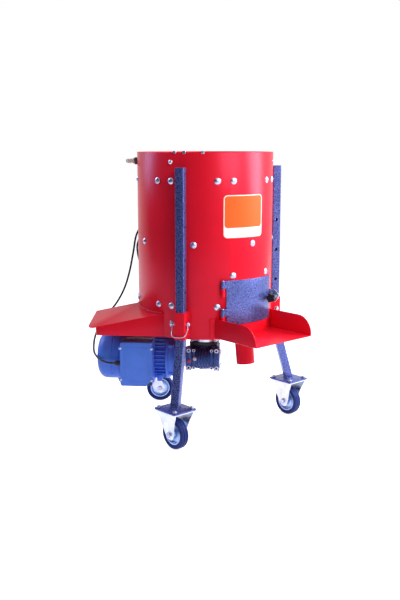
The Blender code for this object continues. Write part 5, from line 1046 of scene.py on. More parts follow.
    def build(self) -> None:
        """Both leads and the mains plug."""
        rear, height = turned(LEGS["rear"]), SWITCH_BOTTOM - GLAND_REACH - HAIR
        supply_start, motor_start = (rear @ Vector((side * SWITCH_SPREAD, -self.switch_reach, height))
                                     for side in (-1, 1))
        down = Vector((0, 0, -3 * self.diameter))
        gland_end = GLAND_LINE @ Vector((0, 0, GLAND_REACH + HAIR))
        gland_out = GLAND_LINE @ Vector((0, 0, GLAND_REACH + HAIR + 2 * self.diameter))
        step = self.diameter * self.step_diameters
        route = [motor_start, motor_start + down, *map(Vector, self.motor_route), gland_out, gland_end]
        motor = smooth_route(route, step)
        lead = self.cord("motor_cord", motor, ["motor_lead"])
        motor[0] + SHIFT
        self.length(motor)
        coil = self.coil_points()
        ahead = (coil[1] - coil[0]).normalized()
        join = coil[0] - ahead * HAIR
        route = [supply_start, supply_start + down, *map(Vector, self.supply_route),
                 join - ahead * self.diameter * 4, join - ahead * self.diameter, join]
        supply = smooth_route(route, step)
        whole = supply[:-1] + self.rounded_loop(coil)
        mains = self.cord("mains_cord", whole, ["supply_lead", "supply_coil"])
        plug = self.build_plug(coil[-1], (coil[-1] - coil[-2]).normalized())
        whole[0] + SHIFT
        self.length(whole)

    def length(self, points: list[Vector]) -> float:
        """The length of a line through points."""
        return round(sum((q - p).length for p, q in zip(points, points[1:])), 4)


@dataclass
class Drum:
    """The drum wall with its sockets, hinge halves, bolts, label, liner and floor."""

    wall: float = 0.003
    cut_edge: float = 0.0007
    rim_rise: float = 0.0012
    rim_ease: float = 0.0009
    opening: Point = (-21.4, 22.8, 0.395, 0.514)
    sleeve: float = 0.0175
    sleeve_bore: float = 0.0144
    sleeve_front: float = 0.2635
    sleeve_heights: Point = (0.342, 0.429)
    sleeve_fold: float = 0.003
    pin_hole: float = 0.0052
    knuckle: float = 0.006
    knuckle_height: float = 0.025
    hinge_pin: float = 0.003
    liners: int = 7
    liner_gap: float = 4.3
    liner_top: float = 0.862
    liner_low: float = 0.424
    liner_over_door: float = 0.532
    bolt_spread: float = 19
    bolt_high: float = 0.836
    bolt_low: float = 0.442
    bolt_over_door: float = 0.5405
    bolt_head: Point = (0.0103, 0.0048)
    bolt_mark: Point = (0.0024, 0.2294, 0.2300)
    bolt_nut: Point = (0.0075, 0.2132, 0.2194)
    clips: Point = (-67, -59, -44)
    label_azimuth: float = -8.3
    label_height: float = 0.730
    floor_base: float = 0.3411
    floor_sheet: float = 0.0028
    hub: float = 0.0386
    husk_reach: float = 0.187
    husk_radius: float = 0.028

    def build_wall(self) -> None:
        """The rolled wall with its door opening and eased edges."""
        left, right, low, high = self.opening
        radius, inside = DRUM_RADIUS, DRUM_RADIUS - self.wall
        cut = bowed(radius - 0.008, radius + 0.004, left, right, low, high, 20)
        start, end = DRUM_BOTTOM + self.cut_edge, DRUM_TOP - self.rim_rise
        shell = lathe([(radius - self.cut_edge, DRUM_BOTTOM), (radius, start), (radius, end),
                       (radius - self.rim_ease, DRUM_TOP), (inside + self.rim_ease, DRUM_TOP), (inside, end),
                       (inside, start), (inside + self.cut_edge, DRUM_BOTTOM)], 216, None, True)
        shell.carved(cut).made("drum_wall", Coat.RED, replaced=["drum_shell"], smooth=50)

    def build_sockets(self) -> None:
        """Square sleeves for the legs, folded from sheet and drilled for the lock pins."""
        half, bore, (low, high) = self.sleeve, self.sleeve_bore, self.sleeve_heights
        sleeve = brick((-half, -self.sleeve_front, low), (half, -DRUM_RADIUS + 0.0025, high))
        folds = [e for e in sleeve.mesh.edges
                 if abs(e.verts[0].co.z - e.verts[1].co.z) > 0.01 and e.verts[0].co.y < -0.26]
        sleeve.bevelled(folds, self.sleeve_fold, 4)
        sleeve.carved(brick((-bore, -LEG_REACH - bore, 0.33), (bore, -LEG_REACH + bore, 0.45)))
        sleeve.carved(rod(self.pin_hole, -0.03, 0.03, moved(0, -LEG_REACH, PIN_HEIGHT) @ X_AXIS, 24))
        sleeve.eased(0.0004, 1)
        sleeve.repeated([turned(a) for a in LEGS.values()]).made("leg_sleeves", Coat.RED)
        beads = []
        for azimuth in LEGS.values():
            for side in (-1, 1):
                spot = azimuth + side * math.degrees(0.018 / DRUM_RADIUS)
                points = [around(spot, DRUM_RADIUS + 0.0004, low + 0.002 + 0.0043 * i) for i in range(20)]
                beads.append(tube(points, 0.0017, 8))
        merged(beads).made("sleeve_welds", Coat.RED)

    def build_hinge(self) -> None:
        """The drum's two hinge knuckles with their pins."""
        knuckles, pins = [], []
        place = turned(HINGE_AZIMUTH)
        line = place @ moved(0, -HINGE_REACH, 0)
        for base in HINGE_BASES:
            top = base + self.knuckle_height
            knuckles.append(rod(self.knuckle, base, top, line, 32, 0.0006))
            knuckles.append(brick((-self.knuckle, -HINGE_REACH + 0.001, base + 0.0005),
                                  (0.0045, -DRUM_RADIUS + 0.001, top - 0.0005), place, 0.0008, 2))
            pins.append(rod(self.hinge_pin, base + 0.001, top + self.knuckle_height * 0.8, line, 20))
            pins.append(dome(0.0046, 0.0022, top + self.knuckle_height + 0.0006, line, 20))
        merged(knuckles).made("hinge_knuckles", Coat.RED)
        merged(pins).made("hinge_pins", Coat.BOLT)

    def liner_places(self) -> list[tuple[float, bool]]:
        """The azimuth of every liner plate, and whether it ends over the door."""
        middle = self.liners // 2
        return [((index - middle) * 360 / self.liners, index == middle) for index in range(self.liners)]

    def bolt_spots(self) -> Outline:
        """Azimuth and height of every liner bolt."""
        spots = []
        for centre, over_door in self.liner_places():
            low = self.bolt_over_door if over_door else self.bolt_low
            spots += [(centre + side * self.bolt_spread, height) for height in (self.bolt_high, low)
                      for side in (-1, 1)]
            spots.append((centre, (self.bolt_high + self.bolt_low) / 2))
        return spots

    def build_bolts(self) -> None:
        """Domed carriage bolts outside, and their nuts on the liner inside."""
        heads, nuts = [], []
        for azimuth, height in self.bolt_spots():
            line = outward(azimuth, height)
            turn = line @ turned(azimuth * 7)
            heads += [dome(*self.bolt_head, DRUM_RADIUS, line, 28), rod(*self.bolt_mark, turn, 12)]
            nuts.append(nut(*self.bolt_nut, turn))
        merged(heads).made("liner_bolt_heads", Coat.BOLT)
        merged(nuts).made("liner_bolt_nuts", Coat.BOLT)

    def build_rim_clips(self) -> None:
        """Small spring clips pushed over the rim."""
        low, high = (-0.0048, -0.2262, DRUM_TOP - 0.005), (0.0048, -0.2208, DRUM_TOP + 0.004)
        clips = [brick(low, high, turned(azimuth), 0.0009, 2) for azimuth in self.clips]
        merged(clips).made("rim_clips", Coat.BOLT)

    def build_label(self) -> None:
        """A bare printed label: an orange field over a white band, with a thin border."""
        for name, coat, low, high, corner, lift in (
                ("label_edge", Coat.LABEL_ORANGE, (-0.0765, -0.0712), (0.0765, 0.0640), 0.0140, 0.00030),
                ("label_ground", Coat.LABEL_WHITE, (-0.0750, -0.0698), (0.0750, 0.0628), 0.0128, 0.00045),
                ("label_field", Coat.LABEL_ORANGE, (-0.0720, -0.0385), (0.0720, 0.0600), 0.0102, 0.00060)):
            flat = slab(rounded(low, high, corner, 8), -0.0002, lift)
            flat.placed(moved(0, self.label_height, 0)).bent(DRUM_RADIUS, self.label_azimuth).made(name, coat)

    def build_liner(self) -> None:
        """Seven curved liner plates."""
        half = 360 / self.liners / 2 - self.liner_gap
        plates = []
        for centre, over_door in self.liner_places():
            low = self.liner_over_door if over_door else self.liner_low
            plate = bowed(LINER_INSIDE, LINER_OUTSIDE, centre - half, centre + half, low, self.liner_top, 18)
            plates.append(plate.eased(0.0004, 1, 60))
        names = ["liner_plate_%d" % (index + 1) for index in range(self.liners)]
        merged(plates).made("liner_plates", Coat.STEEL, replaced=names)

    def build_floor(self) -> None:
        """The drum's floor and the bearing housing under it."""
        low, high = self.floor_base, self.floor_base + self.floor_sheet
        hub, rim = self.hub, LINER_OUTSIDE
        floor = lathe([(hub, low), (rim, low), (rim, high), (hub, high)], 144, None, True)
        floor.carved(rod(self.husk_radius, 0.33, 0.35, moved(0, -self.husk_reach, 0), 64))
        floor.made("drum_floor_sheet", Coat.RED, replaced=["drum_floor"])
        housing = [(0.0485, 0.2871), (0.0490, 0.2877), (0.0490, 0.3402), (0.0484, 0.3407), (0.0380, 0.3407),
                   (0.0380, 0.3552), (0.0372, 0.3560), (0.0140, 0.3560), (0.0131, 0.3552), (0.0131, 0.3257),
                   (0.0260, 0.3257), (0.0260, 0.2871)]
        lathe(housing, 96, None, True).made("bearing_hub", Coat.ZINC, replaced=["bearing_housing"])

    def build(self) -> None:
        """Every piece of the drum."""
        self.build_wall()
        self.build_sockets()
        self.build_hinge()
        self.build_bolts()
        self.build_rim_clips()
        self.build_label()
        self.build_liner()
        self.build_floor()


@dataclass
class Water:
    """The spray pipe under the rim with its hose nipple."""

    ring: float = 0.206
    pipe: float = 0.008
    height: float = 0.894
    inlet: float = -134.0
    first_bolt: float = -70.7
    nozzles: int = 6
    bolts: int = 3
    nipple_start: float = 0.2350
    nipple_length: float = 0.0280
    nipple_bore: float = 0.0046
    barbs: Point = (0.0085, 0.0145, 0.0205)

    def build_pipe(self, inlet: Matrix) -> None:
        """Pipe, nozzles, the tube to the inlet and the fixing bolts."""
        section = [(self.ring + x, self.height + y) for x, y in arc((0, 0), self.pipe, 0, 340, 17)]
        parts = [lathe(section, 144, None, True)]
        nozzle = [(0, -0.0125), (0.0012, -0.0125), (0.0026, -0.0105), (0.0034, -0.0075), (0.0034, -0.004),
                  (0, -0.004)]
        for index in range(self.nozzles):
            azimuth = self.first_bolt + 360 / self.nozzles * (index + 0.5)
            parts.append(lathe(nozzle, 16, turned(azimuth) @ moved(0, -self.ring, self.height)))
        parts.append(rod(0.0072, self.ring, 0.2346, inlet, 32))
        for index in range(self.bolts):
            place = outward(self.first_bolt + 360 / self.bolts * index, self.height)
            parts += [rod(0.004, self.ring, 0.2262, place, 20), dome(0.007, 0.0040, 0.2252, place, 24)]
        merged(parts).made("spray_pipe", Coat.ZINC, replaced=["spray_ring"])

    def build(self) -> None:
        """The pipe and, outside, the lock nut and the barbed nipple."""
        inlet, start, bore = outward(self.inlet, self.height), self.nipple_start, self.nipple_bore
        self.build_pipe(inlet)
        nut(0.0135, 0.2255, 0.2342, inlet).made("inlet_locknut", Coat.BLACK, replaced=["inlet_nut"])
        end = start + self.nipple_length
        profile = [(bore, start), (0.0095, start), (0.0095, start + 0.004), (0.0066, start + 0.0055)]
        for step in self.barbs:
            profile += [(0.0080, start + step), (0.0064, start + step + 0.0045)]
        profile += [(0.0058, end), (bore, end)]
        lathe(profile, 40, inlet, True).made("hose_nipple", Coat.PALE, replaced=["inlet_nipple"])


@dataclass
class Door:
    """The curved door with its straps, lug and star knob, and the bracket it is screwed to."""

    inner: float = 0.2256
    sheet: float = 0.003
    left: float = -25.0
    right: float = 26.4
    bottom: float = 0.383
    top: float = 0.526
    loop_gap: float = 0.0253
    loop_height: float = 0.025
    latch: float = 24.0
    latch_height: float = 0.455
    latch_reach: float = 0.247
    knob: float = 0.0155
    lobes: int = 5
    lobe_depth: float = 0.13
    outline_points: int = 100
    stud_threads: int = 18
    thread_pitch: float = 0.0015
    bracket_half: float = 0.0215
    bracket_back: float = 0.2254

    def latch_line(self, reach: float, height: float) -> Matrix:
        """A frame at the latch whose +Z runs sideways, along the stud."""
        return turned(self.latch) @ moved(0, -reach, height) @ X_AXIS

    def build_leaf(self) -> None:
        """The sheet, its two hinge straps and the lug."""
        leaf = bowed(self.inner, self.inner + self.sheet, self.left, self.right, self.bottom, self.top, 36)
        parts = [leaf.eased(0.0009, 2, 60)]
        hinge = turned(HINGE_AZIMUTH) @ moved(0, -HINGE_REACH, 0)
        for base in HINGE_BASES:
            low = base + self.loop_gap
            high = low + self.loop_height
            parts.append(pipe_ring(0.006, 0.0032, low, high, hinge, 32, 0.0006))
            strap = bowed(0.2287, 0.2318, -27.8, -22.8, low + 0.0004, high - 0.0004, 8)
            parts.append(strap.eased(0.0007, 2, 60))
        middle, back, bend, corner = self.latch_height, -0.2275, -0.2485, 0.006
        outline = [(back, middle - 0.011), (back, middle + 0.011),
                   *arc((bend, middle + 0.005), corner, 90, 180, 6),
                   *arc((bend, middle - 0.005), corner, 180, 270, 6)]
        parts.append(slab(outline, 0.003, 0.007, self.latch_line(0, 0)).eased(0.0006, 2))
        merged(parts).made("door_leaf", Coat.HAMMER, "door", ["door"])

    def build_knob(self) -> None:
        """The five-lobed knob on its stud, with a washer."""
        line = self.latch_line(self.latch_reach, self.latch_height)
        waves = [math.cos(2 * math.pi * self.lobes * index / self.outline_points)
                 for index in range(self.outline_points)]
        lobes = polar(self.knob * (1 + self.lobe_depth * (wave - 1)) for wave in waves)
        grip = slab(lobes, -0.031, -0.017, line).eased(0.0022, 4, 50)
        grip.joined(lathe([(0, -0.018), (0.0085, -0.018), (0.0072, -0.015), (0, -0.015)], 40, line),
                    lathe([(0, -0.0312), (0.006, -0.0312), (0.005, -0.0306), (0, -0.0306)], 40, line))
        knob = grip.made("star_knob", Coat.BLACK, "latch_screw", ["latch_knob"])
        stud = [(0, -0.018), (0.0036, -0.018)]
        for index in range(self.stud_threads):
            crest = -0.0150 + index * self.thread_pitch
            stud += [(0.0039, crest), (0.0034, crest + self.thread_pitch / 2)]
        stud += [(0.0030, 0.0120), (0, 0.0120)]
        metal = lathe(stud, 24, line).joined(pipe_ring(0.0085, 0.0043, -0.0012, 0.0024, line, 32))
        metal.made("latch_stud", Coat.BOLT, "latch_screw").parent = knob

    def build_bracket(self) -> None:
        """The zinc bracket on the drum."""
        base, top = self.latch_height - self.bracket_half, self.latch_height + self.bracket_half
        back, bend, front, cut = -self.bracket_back, -0.246, -0.259, 0.013
        outline = [(back, base + 0.004), (back, top), (bend, top), (front, top - cut), (front, base + cut),
                   (bend, base)]
        plate = slab(outline, 0.0125, 0.0155, self.latch_line(0, 0))
        for radius, reach, height in ((0.0036, 0.2386, top - cut),
                                      (0.0043, self.latch_reach, self.latch_height)):
            plate.carved(rod(radius, 0.010, 0.018, self.latch_line(reach, height), 28))
        plate.eased(0.0005, 2)
        foot = bowed(self.bracket_back, self.bracket_back + 0.003, self.latch + 3.2, self.latch + 7.2,
                     self.latch_height, top - 0.0015, 8)
        plate.joined(foot.eased(0.0005, 2, 60)).made("latch_plate", Coat.ZINC, replaced=["latch_bracket"])

    def build(self) -> None:
        """Leaf, knob and bracket."""
        self.build_leaf()
        self.build_knob()
        self.build_bracket()


@dataclass
class Tray:
    """The discharge tray and the slanted husk outlet."""

    half: float = 0.1275
    front: float = 0.368
    back: float = 0.158
    base: float = 0.3415
    height: float = 0.063
    sheet: float = 0.002
    corner: float = 0.056
    fold: float = 0.0035
    flange: float = 4.0
    outlet: float = 0.030
    outlet_length: float = 0.100
    outlet_reach: float = 0.187
    outlet_top: float = 0.3407
    outlet_lean: float = 7.0

    def build_tray(self) -> None:
        """A folded trough cut to the drum, its front corners rounded."""
        top, back, past = self.base + self.height, self.back, 0.01
        fold, sheet = self.fold, self.sheet
        outer = [(-self.half, top), *arc((fold - self.half, self.base + fold), fold, 180, 270, 6),
                 *arc((self.half - fold, self.base + fold), fold, 270, 360, 6), (self.half, top)]
        half, floor, small = self.half - sheet, self.base + sheet, fold - sheet
        inner = [(half, top), *arc((half - small, floor + small), small, 360, 270, 6),
                 *arc((small - half, floor + small), small, 270, 180, 6), (-half, top)]
        trough = slab(outer + inner, back, self.front, OUTWARD)
        bend = (self.corner - self.front, top - self.corner)
        side = [(past - back, self.base - past), (-self.front, self.base - past),
                *arc(bend, self.corner, 180, 90, 24), (past - back, top)]
        trough.carved(slab(side, -self.half - past, self.half + past, X_AXIS), "INTERSECT")
        trough.carved(rod(DRUM_CONTACT, 0.30, 0.45, None, 216, 0.001)).eased(0.0005, 2, 60)
        contact = math.degrees(math.asin((self.half - 0.001) / DRUM_CONTACT))
        for sign in (-1, 1):
            left, right = sorted((sign * contact, sign * (contact + self.flange)))
            flange = bowed(DRUM_CONTACT, DRUM_CONTACT + sheet, left, right, self.base, top, 6)
            trough.joined(flange.eased(0.0005, 1, 60))
        trough.made("tray_trough", Coat.RED, replaced=["discharge_tray"], smooth=45)
        beads = []
        for sign in (-1, 1):
            spot = sign * (contact + self.flange + 0.2)
            foot = [around(spot, 0.2262, self.base + 0.002 + 0.006 * i) for i in range(11)]
            beads.append(tube(foot, 0.0013, 8))
        merged(beads).made("tray_welds", Coat.RED)

    def build_outlet(self) -> None:
        """The husk outlet, its top drawn level under the floor."""
        tilt = Matrix.Rotation(math.radians(-self.outlet_lean), 4, "X")
        place = moved(0, -self.outlet_reach, self.outlet_top) @ tilt
        spout = pipe_ring(self.outlet, self.outlet - self.sheet, -self.outlet_length, 0, place, 96, 0.0006)
        along = tilt.to_3x3() @ Vector((0, 0, 1))
        for vert in spout.mesh.verts:
            if vert.co.z > self.outlet_top - self.outlet_length / 4:
                vert.co += along * ((self.outlet_top - vert.co.z) / along.z)
        spout.made("outlet_spout", Coat.RED, replaced=["outlet_tube"])

    def build(self) -> None:
        """Tray and outlet."""
        self.build_tray()
        self.build_outlet()


@dataclass
class PeelingDisc:
    """The ribbed disc with its scrapers, on the output shaft."""

    radius: float = 0.214
    bore: float = 0.0133
    base: float = 0.374
    thickness: float = 0.006
    edge: float = 0.0008
    ribs: int = 4
    rib_start: float = 0.0205
    rib_half: float = 0.006
    rib_height: float = 0.010
    rib_ease: float = 0.0028
    screw_reaches: Point = (0.055, 0.12, 0.185)
    scrapers: int = 2
    scraper_start: float = 0.040
    scraper_half: float = 0.0025
    scraper_low: float = 0.350

    def build(self) -> None:
        """Disc, ribs, rib screws, scrapers, shaft and its nut."""
        base, top, radius, half = self.base, self.base + self.thickness, self.radius, self.rib_half
        profile = [(self.bore, base), (radius - self.edge, base), (radius, base + self.edge),
                   (radius, top - self.edge), (radius - self.edge, top), (self.bore, top)]
        parts = [lathe(profile, 160, None, True)]
        end, screws = radius - 0.0015, []
        for index in range(self.ribs):
            turn = turned(360 / self.ribs * index)
            parts.append(brick((self.rib_start, -half, top - 0.0005), (end, half, top + self.rib_height),
                               turn, self.rib_ease, 4))
            screws += [dome(0.0045, 0.0016, top + self.rib_height, turn @ moved(reach, 0, 0), 20)
                       for reach in self.screw_reaches]
        for index in range(self.scrapers):
            parts.append(brick((self.scraper_start, -self.scraper_half, self.scraper_low),
                               (end, self.scraper_half, base + 0.001),
                               turned(45 + 360 / self.scrapers * index), 0.0008, 2))
        merged(parts).made("ribbed_disc", Coat.STEEL, "disc_drive", ["peeling_disc"])
        merged(screws).made("rib_screws", Coat.BOLT, "disc_drive")
        shaft = lathe([(0, 0.218), (0.0117, 0.218), (0.0125, 0.2188), (0.0125, 0.3657), (0.0352, 0.3657),
                       (0.036, 0.3665), (0.036, 0.3729), (0.0353, 0.3737), (0.0125, 0.3737), (0.0125, 0.3865),
                       (0.0115, 0.3873), (0, 0.3873)], 64)
        shaft.joined(nut(0.019, 0.3803, 0.3915, Matrix()), dome(0.0125, 0.0024, 0.3915, Matrix(), 32))
        shaft.made("disc_shaft", Coat.MACHINED, "disc_drive", ["output_shaft"])


@dataclass
class Gearbox:
    """The worm gearbox casting under its square plate."""

    bottom: float = 0.1975
    top: float = 0.2742
    half: float = 0.056
    lug: float = 0.018
    inner: float = 0.0445
    barrel: float = 0.0298
    face: float = 0.033
    rib: float = 0.0365
    ribs: int = 5
    rib_pitch: float = 0.0098
    web_shift: float = 0.0168
    web_half: float = 0.0042
    wheel: float = 0.052
    wheel_waist: float = 0.0495
    cavity: float = 0.0435
    roof: float = 0.012
    shaft: float = 0.0131
    plate: float = 0.048
    plate_low: float = 0.2745
    plate_high: float = 0.2870
    plate_bore: float = 0.030
    bolt_reach: float = 0.039
    bolt_nut: Point = (0.0066, 0.2872, 0.2925)
    cover_screws: int = 6
    screw_reach: float = 0.0425
    screw_head: Point = (0.0042, 0.1909, 0.1935)
    boss: float = 0.0052
    boss_reach: float = 0.027

    def lug_ends(self) -> tuple[tuple[float, float], tuple[float, float]]:
        """Where each of the two end cheeks is centred, and the sense that points inward."""
        middle = self.half - self.lug / 2
        return (-middle, 1), (middle, -1)

    def barrel_outline(self) -> Outline:
        """The barrel's profile with its ring ribs."""
        end = self.half - 0.001
        slope = [(self.barrel, 0.0026), (self.rib - 0.0006, 0.0015), (self.rib, 0.0009)]
        outline = [(0, -end), (self.barrel, -end)]
        for index in range(self.ribs):
            centre = (index - self.ribs // 2) * self.rib_pitch
            outline += [(reach, centre - z) for reach, z in slope]
            outline += [(reach, centre + z) for reach, z in slope[::-1]]
        return outline + [(self.barrel, end), (0, end)]

    def build_casting(self) -> None:
        """Wheel housing, barrel with its ring ribs, end cheeks and inner webs."""
        low, high, wheel, waist = self.bottom, self.top, self.wheel, self.wheel_waist
        housing = [(self.cavity, low), (wheel - 0.0015, low), (wheel, low + 0.0015), (wheel, low + 0.010),
                   (waist, low + 0.013), (waist, high - 0.013), (wheel, high - 0.010), (wheel, high - 0.0015),
                   (wheel - 0.0015, high), (self.shaft, high), (self.shaft, high - self.roof),
                   (self.cavity, high - self.roof)]
        parts = [lathe(self.barrel_outline(), 72, MOTOR_LINE), lathe(housing, 96, None, True)]
        front = MOTOR_LATERAL + self.face
        for middle, inward in self.lug_ends():
            start, end = middle - self.lug / 2, middle + self.lug / 2
            cheek = brick((start, self.inner, low), (end, front, high), MOTOR_FRAME)
            parts.append(cheek.rounded_along(MOTOR_AHEAD, 0.009).eased(0.0012, 2))
            web = middle + inward * self.web_shift
            parts.append(brick((web - self.web_half, self.inner, low + 0.0025),
                               (web + self.web_half, front - 0.0008, high - 0.0025), MOTOR_FRAME, 0.0015, 2))
            reach = self.lug / 2 + 0.0008
            parts += [rod(self.boss, -reach, reach, spot, 24, 0.0006)
                      for spot in motor_corners(self.boss_reach, middle)]
        merged(parts).made("worm_casting", Coat.CASTING, replaced=["gearbox_housing"])

    def build_bright_parts(self) -> None:
        """Machined corner lugs, the bearing cap and the fixing screws."""
        lugs = []
        for middle, inward in self.lug_ends():
            for height in (self.bottom + 0.0085, self.top - 0.0085):
                for along, size in ((0, 0.0070), (inward * self.web_shift, 0.0052)):
                    side = motor_side(middle + along, MOTOR_LATERAL + 0.0255, height)
                    lugs.append(pipe_ring(size, size * 0.60, -0.004, 0.0088, side, 36, 0.0007))
        for height in (self.bottom - 0.0002, self.top - 0.0062):
            for along in (-0.047, 0.047):
                spot = MOTOR_FRAME @ moved(along, 0.064, 0)
                lugs.append(nut(0.0058, height - 0.0028, height + 0.006, spot))
        end = -self.half
        cap = [(0, end - 0.0055), (0.021, end - 0.0055), (0.0255, end - 0.0035), (0.0285, end - 0.003),
               (0.0295, end - 0.002), (0.0295, end + 0.001), (0, end + 0.001)]
        lugs.append(lathe(cap, 64, MOTOR_LINE))
        lugs += [nut(0.0035, end - 0.0066, end - 0.0015, spot) for spot in motor_corners(0.0252, 0)]
        merged(lugs).made("gearbox_bright_parts", Coat.MACHINED)

    def build_plugs(self) -> None:
        """The cream breather and the red oil plug."""
        breather = motor_side(0.026, MOTOR_LATERAL + self.rib - 0.004, 0.238)
        cap = [(0, -0.002), (0.0062, -0.002), (0.0066, 0.003), (0.0060, 0.0065), (0.0044, 0.0085),
               (0, 0.0092)]
        lathe(cap, 28, breather).made("breather_cap", Coat.PALE)
        drain = motor_side(0.0455, MOTOR_LATERAL + self.face - 0.001, 0.2290)
        plug = [(0, -0.001), (0.0062, -0.001), (0.0062, 0.003), (0.0054, 0.0052), (0, 0.0058)]
        lathe(plug, 6, drain).made("oil_plug", Coat.RED_CAP)

    def build_plate(self) -> None:
        """The square plate that carries the gearbox, and the cover under it."""
        half, spot = self.plate, self.bolt_reach
        plate = slab(centred(half, half, 0.008), self.plate_low, self.plate_high, MOTOR_FRAME)
        plate.carved(rod(self.plate_bore, 0.27, 0.29, None, 64)).eased(0.0007, 2)
        plate.made("carrier_plate", Coat.BLACK, replaced=["mounting_plate"])
        bolts = [nut(*self.bolt_nut, MOTOR_FRAME @ moved(x, y, 0)) for x in (-spot, spot)
                 for y in (-spot, spot)]
        merged(bolts).made("carrier_bolts", Coat.BOLT)
        cover = lathe([(0, 0.1932), (0.046, 0.1932), (0.0490, 0.1945), (0.0490, 0.1971), (0, 0.1971)], 72)
        cover.made("wheel_cover", Coat.CASTING, replaced=["gearbox_cover"])
        turns = [turned(360 / self.cover_screws * (index + 0.5)) for index in range(self.cover_screws)]
        screws = [nut(*self.screw_head, turn @ moved(self.screw_reach, 0, 0)) for turn in turns]
        merged(screws).made("cover_screws", Coat.BOLT)

    def build(self) -> None:
        """Every piece of the gearbox."""
        self.build_casting()
        self.build_bright_parts()
        self.build_plugs()
        self.build_plate()


